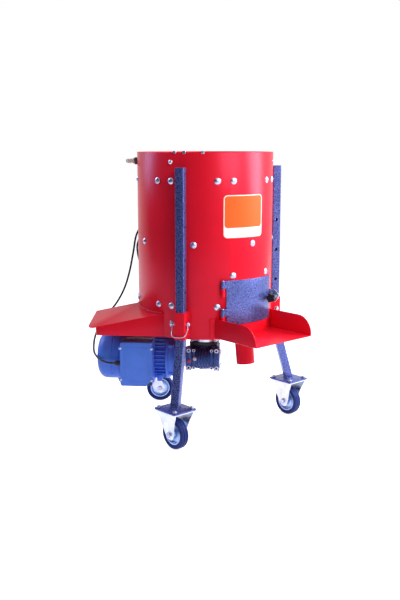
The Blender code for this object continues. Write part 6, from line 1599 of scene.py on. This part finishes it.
@dataclass
class Motor:
    """The motor: end shield, finned frame with its terminal box, gland and fan cover."""

    shield: float = 0.0565
    start: float = 0.122
    end: float = 0.270
    tail: float = 0.356
    core: float = 0.066
    bore: float = 0.0372
    shaft_bore: float = 0.0100
    band: float = 0.0766
    fin: float = 0.0745
    fins: int = 8
    fin_pitch: float = 0.0134
    fin_thickness: float = 0.0030
    foot_across: float = 0.050
    foot_half: float = 0.013
    foot_length: float = 0.016
    box_start: float = 0.1585
    box_length: float = 0.105
    box_height: float = 0.148
    box_face: float = 0.166
    gland_ribs: int = 18
    cover: float = 0.079
    cover_sheet: float = 0.0018
    cover_bend: float = 0.030
    grille: float = 0.0437

    def build_shield(self) -> None:
        """The cast end shield with its flange, its bosses and the bright ring against the gearbox."""
        s, e = self.shield, self.start
        profile = [(self.shaft_bore, s), (0.0322, s), (0.0330, s + 0.0008), (0.0330, s + 0.0205),
                   (0.0350, s + 0.022), (0.0768, s + 0.022), (0.0780, s + 0.0232), (0.0780, s + 0.0318),
                   (0.0768, s + 0.033), (0.0690, s + 0.0345), (0.0665, s + 0.044), (0.0665, e - 0.014),
                   (0.0690, e - 0.0105), (0.0745, e - 0.0085), (0.0745, e - 0.0008), (0.0738, e - 0.0003),
                   (self.bore, e - 0.0003), (self.bore, e - 0.004), (self.shaft_bore, e - 0.022)]
        shield = lathe(profile, 96, MOTOR_LINE, True)
        bright = []
        for turn in QUARTERS:
            boss, bolt = (MOTOR_LINE @ turn @ moved(reach, 0, 0) for reach in (0.0662, 0.0665))
            shield.joined(rod(0.0072, e - 0.024, e - 0.0010, boss, 28, 0.001))
            bright += [nut(0.0062, s + 0.0165, s + 0.0222, bolt), nut(0.0050, e - 0.0280, e - 0.0238, boss)]
        shield.made("end_shield", Coat.MOTOR, replaced=["motor_end_shield"])
        bright.append(pipe_ring(0.0352, 0.0331, s + 0.0006, s + 0.0060, MOTOR_LINE, 64))
        merged(bright).made("shield_bolts", Coat.BOLT)

    def build_frame(self) -> None:
        """The frame: a core with level fins at the sides and upright ones above and below."""
        seat, end, core, half = self.end - 0.0075, self.end, self.core, self.fin_thickness / 2
        body = lathe([(core, self.start), (core, seat), (self.band, seat + 0.0008), (self.band, end - 0.0008),
                      (self.band - 0.0008, end), (self.shaft_bore, end), (self.shaft_bore, end - 0.004),
                      (self.bore, end - 0.004), (self.bore, self.start)], 96, MOTOR_LINE, True)
        for index in range(self.fins):
            offset = (index - (self.fins - 1) / 2) * self.fin_pitch
            inner = math.sqrt(max(core ** 2 - offset ** 2, 0)) - 0.004
            outer = math.sqrt(self.fin ** 2 - offset ** 2)
            for turn in (0, 90, 180, 270):
                body.joined(brick((inner, offset - half, self.start + 0.001),
                                  (outer, offset + half, seat + 0.001), MOTOR_LINE @ turned(turn), 0.0008, 2))
        for along in (self.start + 0.012, end - 0.030):
            for across in (-self.foot_across, self.foot_across):
                low = (across - self.foot_half, -0.071, along)
                high = (across + self.foot_half, -0.050, along + self.foot_length)
                body.joined(brick(low, high, MOTOR_LINE, 0.0015, 2))
        body.made("finned_frame", Coat.MOTOR, replaced=["motor_body"])

    def box_corners(self, inset: float = 0) -> tuple[tuple[float, float], tuple[float, float]]:
        """The box's lower and upper corner, along the motor and in height, drawn in by an inset."""
        half = self.box_height / 2 - inset
        return ((self.box_start + inset, MOTOR_AXIS - half),
                (self.box_start + self.box_length - inset, MOTOR_AXIS + half))

    def build_box(self) -> None:
        """The terminal box with the thicker band of its rim."""
        (low, bottom), (high, top) = self.box_corners()
        box = brick((low, MOTOR_LATERAL + 0.040, bottom), (high, self.box_face, top), MOTOR_FRAME)
        box.rounded_along(MOTOR_SIDE, 0.009).eased(0.0014, 3)
        box.joined(brick((low - 0.0001, MOTOR_LATERAL + 0.071, bottom - 0.0006),
                         (high + 0.0001, MOTOR_LATERAL + 0.078, top + 0.0006), MOTOR_FRAME, 0.0018, 2))
        box.made("terminal_box", Coat.MOTOR)

    def build_lid(self) -> None:
        """The lid with a raised field, four screw ears and a seam gasket."""
        (low, bottom), (high, top) = self.box_corners()
        face, cut, flat = self.box_face, 0.020, MOTOR_FRAME @ FACING
        corners = rounded((low, bottom), (high, top), 0.0075, 6)
        outline = [(low + cut, bottom), *corners[-7:], *corners[:14], (low, bottom + cut)]
        lid = slab(outline, face + 0.0004, face + 0.0062, flat).eased(0.0012, 3, 30)
        field = slab(rounded((low + 0.013, bottom + 0.022), (high - 0.013, top - 0.015), 0.010, 6),
                     face + 0.0055, face + 0.0068, flat)
        lid.joined(field.eased(0.0006, 2, 30))
        inset, screws = self.box_height * 0.14, []
        ear = [(0, 0.0006), (0.0062, 0.0006), (0.0065, 0.0010), (0.0065, 0.0054), (0.0060, 0.0060),
               (0, 0.0060)]
        for along, inward in ((low, 0.001), (high, -0.001)):
            for height in (bottom + inset, top - inset):
                lid.joined(lathe(ear, 32, motor_side(along, face, height)))
                screws.append(dome(0.0040, 0.0013, 0.0060, motor_side(along + inward, face, height), 20))
        lid.made("terminal_lid", Coat.MOTOR, replaced=["terminal_box_lid"])
        merged(screws).made("lid_screws", Coat.BOLT)
        gasket = slab(rounded(*self.box_corners(0.001), 0.008, 6), face - 0.0012, face + 0.0006, flat)
        gasket.made("lid_gasket", Coat.BLACK)

    def build_gland(self) -> None:
        """The cable gland: a hexagon body, a ribbed nut and the tapered sleeve."""
        line = GLAND_LINE
        collar = [(0.0038, -0.002), (0.0085, -0.002), (0.0085, 0.0005), (0.0038, 0.0005)]
        gland = lathe(collar, 32, line, True)
        ribs = polar([0.0080, 0.0086, 0.0086] * self.gland_ribs)
        sleeve = [(0.0072, 0.0160), (0.0066, 0.0200), (0.0050, 0.0245), (0.0044, 0.0258), (0.0037, 0.0258),
                  (0.0037, 0.0160)]
        gland.joined(nut(0.0095, 0.0004, 0.0060, line), slab(ribs, 0.0060, 0.0165, line).eased(0.0004, 1, 60),
                     lathe(sleeve, 40, line, True))
        gland.made("lead_gland", Coat.BLACK, replaced=["cable_gland"])

    def build_cover(self) -> None:
        """The fan cover with its ringed grille, pressed bands and screws."""
        first, last, radius, sheet, bend = (self.end - 0.006, self.tail, self.cover, self.cover_sheet,
                                            self.cover_bend)
        outside = [(radius - 0.0006, first), (radius, first + 0.0006)]
        for along in (first + 0.010, first + 0.036):
            outside += [(radius, along), (radius - 0.0012, along + 0.0012), (radius - 0.0012, along + 0.0032),
                        (radius, along + 0.0044)]
        corner = (radius - bend, last - bend)
        outside += arc(corner, bend, 0, 90, 12) + [(self.grille, last), (self.grille, last - sheet)]
        inside = arc(corner, bend - sheet, 90, 0, 12) + [(radius - sheet, first)]
        cup = lathe(outside + inside, 120, MOTOR_LINE, True)
        disc = [(0, last), (0.0121, last), (0.0125, last - 0.0004), (0.0125, last - sheet), (0, last - sheet)]
        cup.joined(lathe(disc, 96, MOTOR_LINE))
        for low, high in ((0.0187, 0.0250), (0.0312, 0.0375)):
            ring = [(high - 0.0004, last), (high, last - 0.0004), (high, last - sheet), (low, last - sheet),
                    (low, last - 0.0004), (low + 0.0004, last)]
            cup.joined(lathe(ring, 96, MOTOR_LINE, True))
        for turn in (0, 90, 180, 270):
            cup.joined(brick((0.008, -0.0024, last - sheet * 0.9), (0.046, 0.0024, last - sheet * 0.1),
                             MOTOR_LINE @ turned(turn)))
        cup.made("fan_cowl", Coat.MOTOR, replaced=["fan_cover"], smooth=32)
        screws = [dome(0.0042, 0.0018, radius, MOTOR_LINE @ turn @ moved(0, 0, first + 0.005) @ OUTWARD, 20)
                  for turn in QUARTERS]
        merged(screws).made("cowl_screws", Coat.BOLT)

    def build(self) -> None:
        """Every piece of the motor."""
        self.build_shield()
        self.build_frame()
        self.build_box()
        self.build_lid()
        self.build_gland()
        self.build_cover()


@dataclass
class Hood:
    """The folded hood over the motor."""

    half: float = 0.145
    sheet: float = 0.002
    end: float = 0.341
    roof_end: float = 0.367
    eave: float = 0.0015
    corner: float = 0.018
    roof_corner: float = 0.030
    ridge: float = 0.471
    ridge_round: float = 0.0004
    fall_out: float = 0.2232
    fall_side: float = 0.2125
    weld_reach: float = 0.2262
    weld_points: int = 40

    def height(self, along: float, aside: float) -> float:
        """The roof's height at a distance along the motor and aside from the ridge."""
        return self.ridge - self.fall_out * along - self.fall_side * aside

    def roof(self, outline: Sequence[Point], thickness: float, lift: float) -> Workpiece:
        """A gabled sheet over an outline of the motor's frame."""
        sheet = slab(outline, 0, 1)
        for place in (MOTOR_LATERAL - 0.001, MOTOR_LATERAL, MOTOR_LATERAL + 0.001):
            sheet.split((0, place, 0), (0, 1, 0))
        for vert in sheet.mesh.verts:
            aside = max(abs(vert.co.y - MOTOR_LATERAL), self.ridge_round)
            height = self.height(vert.co.x, aside) + lift
            vert.co.z = height if vert.co.z > 0.5 else height - thickness
        bmesh.ops.recalc_face_normals(sheet.mesh, faces=sheet.mesh.faces[:])
        return sheet.placed(MOTOR_FRAME)

    def build_sheet(self) -> None:
        """Roof and skirt, cut to the drum."""
        low, high = MOTOR_LATERAL - self.half, MOTOR_LATERAL + self.half
        radius, eave = self.roof_corner, self.eave
        drum = (DRUM_CONTACT, 0.2, 0.6, None, 216, 0.001)
        edge = [(0, low - eave), *arc((self.roof_end - radius, low - eave + radius), radius, -90, 0, 10),
                *arc((self.roof_end - radius, high + eave - radius), radius, 0, 90, 10), (0, high + eave)]
        top = self.roof(edge, self.sheet, 0).carved(rod(*drum)).eased(0.0006, 2, 50)
        inner = self.sheet
        skirt = slab(rounded((0, low), (self.end, high), self.corner, 8), DRUM_BOTTOM, 0.480, MOTOR_FRAME)
        hollow = rounded((inner, low + inner), (self.end - inner, high - inner), self.corner - inner, 8)
        skirt.carved(slab(hollow, DRUM_BOTTOM - 0.01, 0.490, MOTOR_FRAME))
        wide = [(-DRUM_RADIUS, low - 0.01), (self.roof_end, low - 0.01), (self.roof_end, high + 0.01),
                (-DRUM_RADIUS, high + 0.01)]
        skirt.carved(self.roof(wide, -0.6, -self.sheet / 2)).carved(rod(*drum)).eased(0.0006, 2, 60)
        core = DRUM_CONTACT - 0.002
        top.without_core(core).joined(skirt.without_core(core))
        top.made("hood_sheet", Coat.RED, replaced=["motor_hood"], smooth=42)

    def build(self) -> None:
        """Sheet, and the weld along the drum."""
        self.build_sheet()
        welds = []
        for side in (-1, 1):
            points = []
            for index in range(self.weld_points + 1):
                aside = (self.half - 0.002) * index / self.weld_points
                lateral = MOTOR_LATERAL + side * aside
                along = math.sqrt(self.weld_reach ** 2 - lateral ** 2)
                points.append(MOTOR_FRAME @ Vector((along, lateral, self.height(along, aside) + 0.0012)))
            welds.append(tube(points, 0.0022, 10))
        merged(welds).made("hood_weld", Coat.RED)


@dataclass
class Legs:
    """Square-tube legs with splayed feet and their plates."""

    wall: float = 0.002
    outer_corner: float = 0.0026
    inner_corner: float = 0.0012
    top: float = 0.878
    bend: float = 0.3416
    holes: int = 4
    hole: float = 0.0052
    hole_pitch: float = 0.102
    plate: Point = (0.0465, 0.0505, 0.005)

    def tube(self, half: float, corner: float, low: float, high: float) -> Workpiece:
        """One run of tube: splayed up to the bend, then upright."""
        slope = (FOOT_REACH - LEG_REACH) / (self.bend - FOOT_TOP)
        mesh = bmesh.new()
        lean = FOOT_REACH - (low - FOOT_TOP) * slope
        outline = centred(half, half, corner, 4)
        face = mesh.faces.new([mesh.verts.new((x, y - lean, low)) for x, y in outline])
        for move in ((0, lean - LEG_REACH, self.bend - low), (0, 0, high - self.bend)):
            grown = bmesh.ops.extrude_face_region(mesh, geom=[face])
            face = next(item for item in grown["geom"] if isinstance(item, bmesh.types.BMFace))
            bmesh.ops.translate(mesh, vec=move, verts=face.verts[:])
        between = [f for f in mesh.faces
                   if len(f.verts) > 4 and low + 0.0001 < f.calc_center_median().z < high - 0.0001]
        bmesh.ops.delete(mesh, geom=between, context="FACES_ONLY")
        bmesh.ops.recalc_face_normals(mesh, faces=mesh.faces[:])
        return Workpiece(mesh)

    def build_leg(self, name: str, azimuth: float) -> None:
        """A leg with its foot plate, holes and welds."""
        leg = self.tube(LEG_HALF, self.outer_corner, FOOT_TOP - 0.002, self.top)
        leg.carved(self.tube(LEG_HALF - self.wall, self.inner_corner, FOOT_TOP + 0.001, self.top - self.wall))
        for index in range(self.holes):
            place = moved(0, -LEG_REACH, PIN_HEIGHT + index * self.hole_pitch) @ X_AXIS
            leg.carved(rod(self.hole, -0.02, 0.02, place, 28))
        leg.eased(0.0004, 1, 60).placed(turned(azimuth))
        wide, long, thick = self.plate
        plate = slab(centred(wide, long, 0.006), FOOT_TOP - thick, FOOT_TOP, over_foot(azimuth))
        bead = [turned(azimuth) @ Vector((x * 1.05, y * 1.05 - FOOT_REACH, FOOT_TOP + 0.0008))
                for x, y in centred(LEG_HALF, LEG_HALF, 0.004, 4)]
        leg.joined(plate.eased(0.0008, 2), tube(bead + bead[:1], 0.0022, 8))
        leg.made("tube_leg_" + name, Coat.HAMMER, replaced=["leg_" + name])

    def build(self) -> None:
        """The three legs."""
        for name, azimuth in LEGS.items():
            self.build_leg(name, azimuth)


@dataclass
class LockPins:
    """The lock pins through the sleeves and their hanging wire keepers."""

    half: float = 0.0175
    head: float = 0.020
    tip: float = 0.012
    radius: float = 0.005
    wire: float = 0.0015
    eye: float = 0.0072
    drop: float = 0.045
    lean: float = 29.0
    bow: Sequence[Point] = ((0, 0), (0, 0.35), (0, 0.65), (0.05, 0.86), (0.18, 0.97), (0.42, 1), (0.66, 0.98),
                            (0.84, 0.9), (0.95, 0.7), (1, 0.42), (1, 0))

    def build_pin(self, name: str, place: Matrix) -> None:
        """A pin with a cross bar through its head."""
        start, end, radius = -self.half - self.head, self.half + self.tip, self.radius
        profile = [(0, start), (radius * 0.7, start), (radius, start + 0.0012),
                   (radius, end - self.tip * 0.2), (radius * 0.6, end), (0, end)]
        pin = lathe(profile, 32, place @ X_AXIS)
        pin.joined(rod(0.0030, -0.0095, 0.0095, place @ moved(start + 0.0032, 0, 0), 20, 0.0012))
        pin.made("sleeve_pin_" + name, Coat.BOLT, replaced=["lock_pin_" + name])

    def build_keeper(self, name: str, place: Matrix) -> None:
        """A bowed wire between two eyes on the pin."""
        left, right = -self.half - self.head / 2, self.half + self.tip / 2
        points = [Vector((left + (right - left) * across, 0, -self.eye - (self.drop - self.eye) * down))
                  for across, down in self.bow]
        keeper = tube(smooth_route(points, self.wire * 1.6), self.wire, 12).placed(place)
        for across in (left, right):
            ring = [(self.eye + x, across + y) for x, y in arc((0, 0), self.wire, 0, 330, 11)]
            keeper.joined(lathe(ring, 36, place @ X_AXIS, True))
        keeper.made("wire_keeper_" + name, Coat.BOLT, "keeper_" + name, ["pin_keeper_" + name])

    def build(self) -> None:
        """A pin and a keeper on each sleeve."""
        for name, azimuth in LEGS.items():
            place = turned(azimuth) @ moved(0, -LEG_REACH, PIN_HEIGHT)
            self.build_pin(name, place)
            self.build_keeper(name, place @ Matrix.Rotation(math.radians(-self.lean), 4, "X"))


@dataclass
class Casters:
    """The two rigid casters, the swivelling rear one and the three wheels."""

    wheel: float = 0.050
    tread: float = 0.030
    rim: float = 0.0357
    rim_half: float = 0.0125
    hub_half: float = 0.017
    plate: Point = (0.0445, 0.0485)
    plate_top: float = 0.1272
    bolts: Point = (0.0345, 0.0385)
    bolt_nut: Point = (0.0075, 0.1330, 0.1382)
    bolt_shank: Point = (0.0039, 0.1250, 0.1402)
    axle: float = 0.0049
    axle_nut: float = 0.009
    axle_nut_height: float = 0.006
    sheet: float = 0.003
    gap: float = 0.018
    top_gap: float = 0.037
    end: float = 0.018
    flare: Sequence[Point] = ((0.0240, 0.34), (0.0300, 0.54), (0.0345, 0.68), (0.0398, 0.80), (0.0447, 0.92),
                              (0.0465, 1.0))
    swivel: float = 47.8
    trail: float = 0.036
    crown: float = 0.036

    def top_plate(self, place: Matrix) -> Workpiece:
        """The plate that a fork hangs from."""
        plate = slab(centred(*self.plate, 0.006), self.plate_top - self.sheet, self.plate_top, place)
        return plate.eased(0.0005, 2)

    def build_bolts(self, name: str, place: Matrix) -> None:
        """The plate's four bolts with their nuts up."""
        across, ahead = self.bolts
        bolts = []
        for x in (-across, across):
            for y in (-ahead, ahead):
                spot = place @ moved(x, y, 0)
                bolts += [nut(*self.bolt_nut, spot), rod(*self.bolt_shank, spot, 24, 0.0005)]
        merged(bolts).made("caster_bolts_" + name, Coat.BOLT)

    def build_wheel(self, name: str, place: Matrix, spread: float) -> None:
        """Tyre with three tread bands, dished rim, hub and the axle bolt that the fork holds."""
        line = place @ moved(0, 0, self.wheel) @ X_AXIS
        half, outer, rim, face, hub = self.tread / 2, self.wheel, self.rim, self.rim_half, self.hub_half
        tyre = [(rim + 0.0001, 0.8 * half), (rim + 0.0012, 0.88 * half), (rim + 0.004, 0.94 * half),
                (outer - 0.0075, half), (outer - 0.0040, 0.97 * half), (outer - 0.0016, 0.84 * half),
                (outer - 0.0003, 0.64 * half), (outer - 0.0003, 0.42 * half), (outer - 0.0019, 0.38 * half),
                (outer - 0.0019, 0.28 * half), (outer, 0.24 * half)]
        disc = [(rim, face - 0.0006), (rim - 0.0006, face), (rim - 0.0030, face),
                (rim - 0.0040, face - 0.0010), (rim - 0.0050, 0.0042), (rim - 0.0085, 0.0018),
                (0.0165, 0.0018), (0.0140, 0.0034), (0.0126, hub - 0.0010), (0.0117, hub), (0.0052, hub)]
        for half_profile, steps, piece, coat, node in ((tyre, 96, "ribbed_tyre_", Coat.TYRE, "tyre_"),
                                                       (disc, 72, "pressed_rim_", Coat.RIM, "rim_")):
            profile = half_profile + [(reach, -z) for reach, z in half_profile[::-1]]
            lathe(profile, steps, line, True).made(piece + name, coat, "wheel_" + name, [node + name])
        grip = self.gap + self.sheet + spread + HAIR
        carrier = "rear_swivel_fork" if name == "rear" else "machine"
        wide, high = self.axle_nut, self.axle_nut_height
        axle = rod(self.axle, -grip - 0.005, grip + 0.0085, line, 28, 0.0008)
        axle.joined(nut(wide, -grip - high, -grip, line), nut(wide, grip, grip + high, line))
        axle.made("axle_bolt_" + name, Coat.BOLT, carrier, ["axle_" + name])

    def build_rigid(self, name: str) -> None:
        """A rigid caster."""
        place = over_foot(LEGS[name])
        fork = self.top_plate(place)
        low = self.wheel - self.end
        drop = self.plate_top - self.sheet + 0.0015 - low
        draw, length = math.atan2(self.top_gap - self.gap, drop), math.hypot(self.top_gap - self.gap, drop)
        outline = arc((0, self.end), self.end, 200, 340, 14)
        outline += [(x, length * share) for x, share in self.flare]
        outline += [(-x, length * share) for x, share in self.flare[::-1]]
        for side in (-1, 1):
            cheek = slab(outline, *sorted((0, side * self.sheet)), X_AXIS).eased(0.0006, 2)
            cheek.placed(place @ moved(side * self.gap, 0, low) @ Matrix.Rotation(side * draw, 4, "Y"))
            fork.joined(cheek)
        fork.made("rigid_fork_" + name, Coat.ZINC, replaced=["caster_fork_" + name])
        self.build_bolts(name, place)
        self.build_wheel(name, place, (self.end + 0.009) * math.tan(draw) + HAIR)

    def build_swivelling(self) -> None:
        """The rear caster with its race and fork."""
        place = over_foot(LEGS["rear"])
        top = self.plate_top - self.sheet - HAIR
        low = top - 0.008
        race = [(0, top + 0.0008), (0.0288, top + 0.0008), (0.0295, top - 0.002), (0.0270, low + 0.0006),
                (0.0150, low + 0.0006), (0, low + 0.0006)]
        plate = self.top_plate(place).joined(lathe(race, 64, place))
        plate.made("swivel_plate", Coat.ZINC, replaced=["caster_plate_rear"])
        self.build_bolts("rear", place)
        nut(0.0095, low - 0.0102, low - 0.0046, place).made("kingpin_nut", Coat.BOLT)
        wheel_place = place @ turned(self.swivel) @ moved(0, -self.trail, 0)
        crown, base, bore = self.crown, low - 0.004, 0.0062
        disc = [(bore, base), (crown - 0.001, base), (crown, base + 0.001), (crown - 0.0006, low - 0.0010),
                (crown - 0.003, low), (bore, low)]
        fork = lathe(disc, 72, place, True)
        drop = base - self.wheel
        outline = arc((0, 0), self.end, 170, 330, 14)
        outline += [(self.trail + crown * 0.30, drop * 0.55), (self.trail + crown * 0.55, drop + 0.002),
                    (self.trail - crown * 0.8, drop + 0.002)]
        for side in (-1, 1):
            span = sorted((side * self.gap, side * (self.gap + self.sheet)))
            fork.joined(slab(outline, *span, wheel_place @ moved(0, 0, self.wheel) @ X_AXIS).eased(0.0006, 2))
        fork.made("swivel_fork", Coat.ZINC, "rear_swivel_fork", ["caster_fork_rear"])
        self.build_wheel("rear", wheel_place, 0)

    def build(self) -> None:
        """All three casters."""
        self.build_rigid("front_left")
        self.build_rigid("front_right")
        self.build_swivelling()


@dataclass
class SwitchBox:
    """The switch box on the rear leg with its turn knob and glands."""

    half: float = 0.035
    back: float = 0.2603
    depth: float = 0.055
    height: float = 0.110
    seam: float = 0.0006
    screw_across: float = 0.027
    screw_inset: float = 0.009
    knob_share: float = 0.55

    def build_case(self, place: Matrix, front: float) -> None:
        """Box, seam, glands and screws."""
        low, high, seam = SWITCH_BOTTOM, SWITCH_BOTTOM + self.height, self.seam
        box = slab(rounded((-self.half, front), (self.half, -self.back), 0.006, 6), low, high, place)
        band = rounded((-self.half - seam, front + 0.020), (self.half + seam, front + 0.0222), 0.001, 2)
        box.eased(0.0022, 3, 50).joined(slab(band, low - seam, high + seam, place))
        gland = [(0, -0.0065), (0.0088, -0.0065), (0.0088, -0.0150), (0.0078, -0.0175), (0.0050, -0.0245),
                 (0.0044, -0.0258), (0, -0.0258)]
        for side in (-1, 1):
            spot = place @ moved(side * SWITCH_SPREAD, front + self.depth / 2, low)
            box.joined(nut(0.0095, -0.0070, 0.001, spot), lathe(gland, 40, spot))
        box.made("switch_case", Coat.BLACK, replaced=["switch_box"])
        screws = [dome(0.0036, 0.0014, 0, place @ moved(x, front, z) @ OUTWARD, 20)
                  for x in (-self.screw_across, self.screw_across)
                  for z in (low + self.screw_inset, high - self.screw_inset)]
        merged(screws).made("case_screws", Coat.BOLT)

    def build(self) -> None:
        """Case, dial and knob with its mark."""
        place, front = turned(LEGS["rear"]), -self.back - self.depth
        self.build_case(place, front)
        line = place @ moved(0, front, SWITCH_BOTTOM + self.height * self.knob_share) @ OUTWARD
        pipe_ring(0.0240, 0.0197, -0.0004, 0.0012, line, 64, 0.0003).made("switch_dial", Coat.ZINC)
        knob = lathe([(0, -0.006), (0.004, -0.006), (0.004, HAIR), (0.0185, HAIR), (0.019, 0.0010),
                      (0.0180, 0.0068), (0.0170, 0.0072), (0, 0.0072)], 48, line)
        knob.joined(brick((-0.0171, -0.0040, 0.0054), (0.0171, 0.0040, 0.018), line, 0.0022, 4))
        knob.made("turn_knob", Coat.RED_CAP, "switch_handle", ["switch_knob"])
        mark = brick((-0.0008, -0.0150, 0.0176), (0.0008, -0.004, 0.0182), line @ turned(90))
        mark.made("knob_mark", Coat.LABEL_WHITE, "switch_handle")


class Inside(Enum):
    """CAD nodes that stay, out of sight, with the finish each one gets."""

    worm_wheel = Coat.BRONZE
    motor_shaft = Coat.STEEL
    cooling_fan = Coat.BLACK


def main() -> None:
    """Builds studio and machine."""
    logging.basicConfig(level=logging.INFO, format="%(message)s")
    Studio().build()
    Leads().build()
    for part in (Drum(), Water(), Door(), Tray(), PeelingDisc(), Gearbox(), Motor(), Hood(), Legs(),
                 LockPins(), Casters(), SwitchBox()):
        part.build()
        LOG.info("built %s", type(part).__name__)
    for inner in Inside:
        node = frame["nodes"][inner.name]
        node.data.materials.clear()
        node.data.materials.append(inner.value.value.material())


if __name__ == "__main__":
    main()
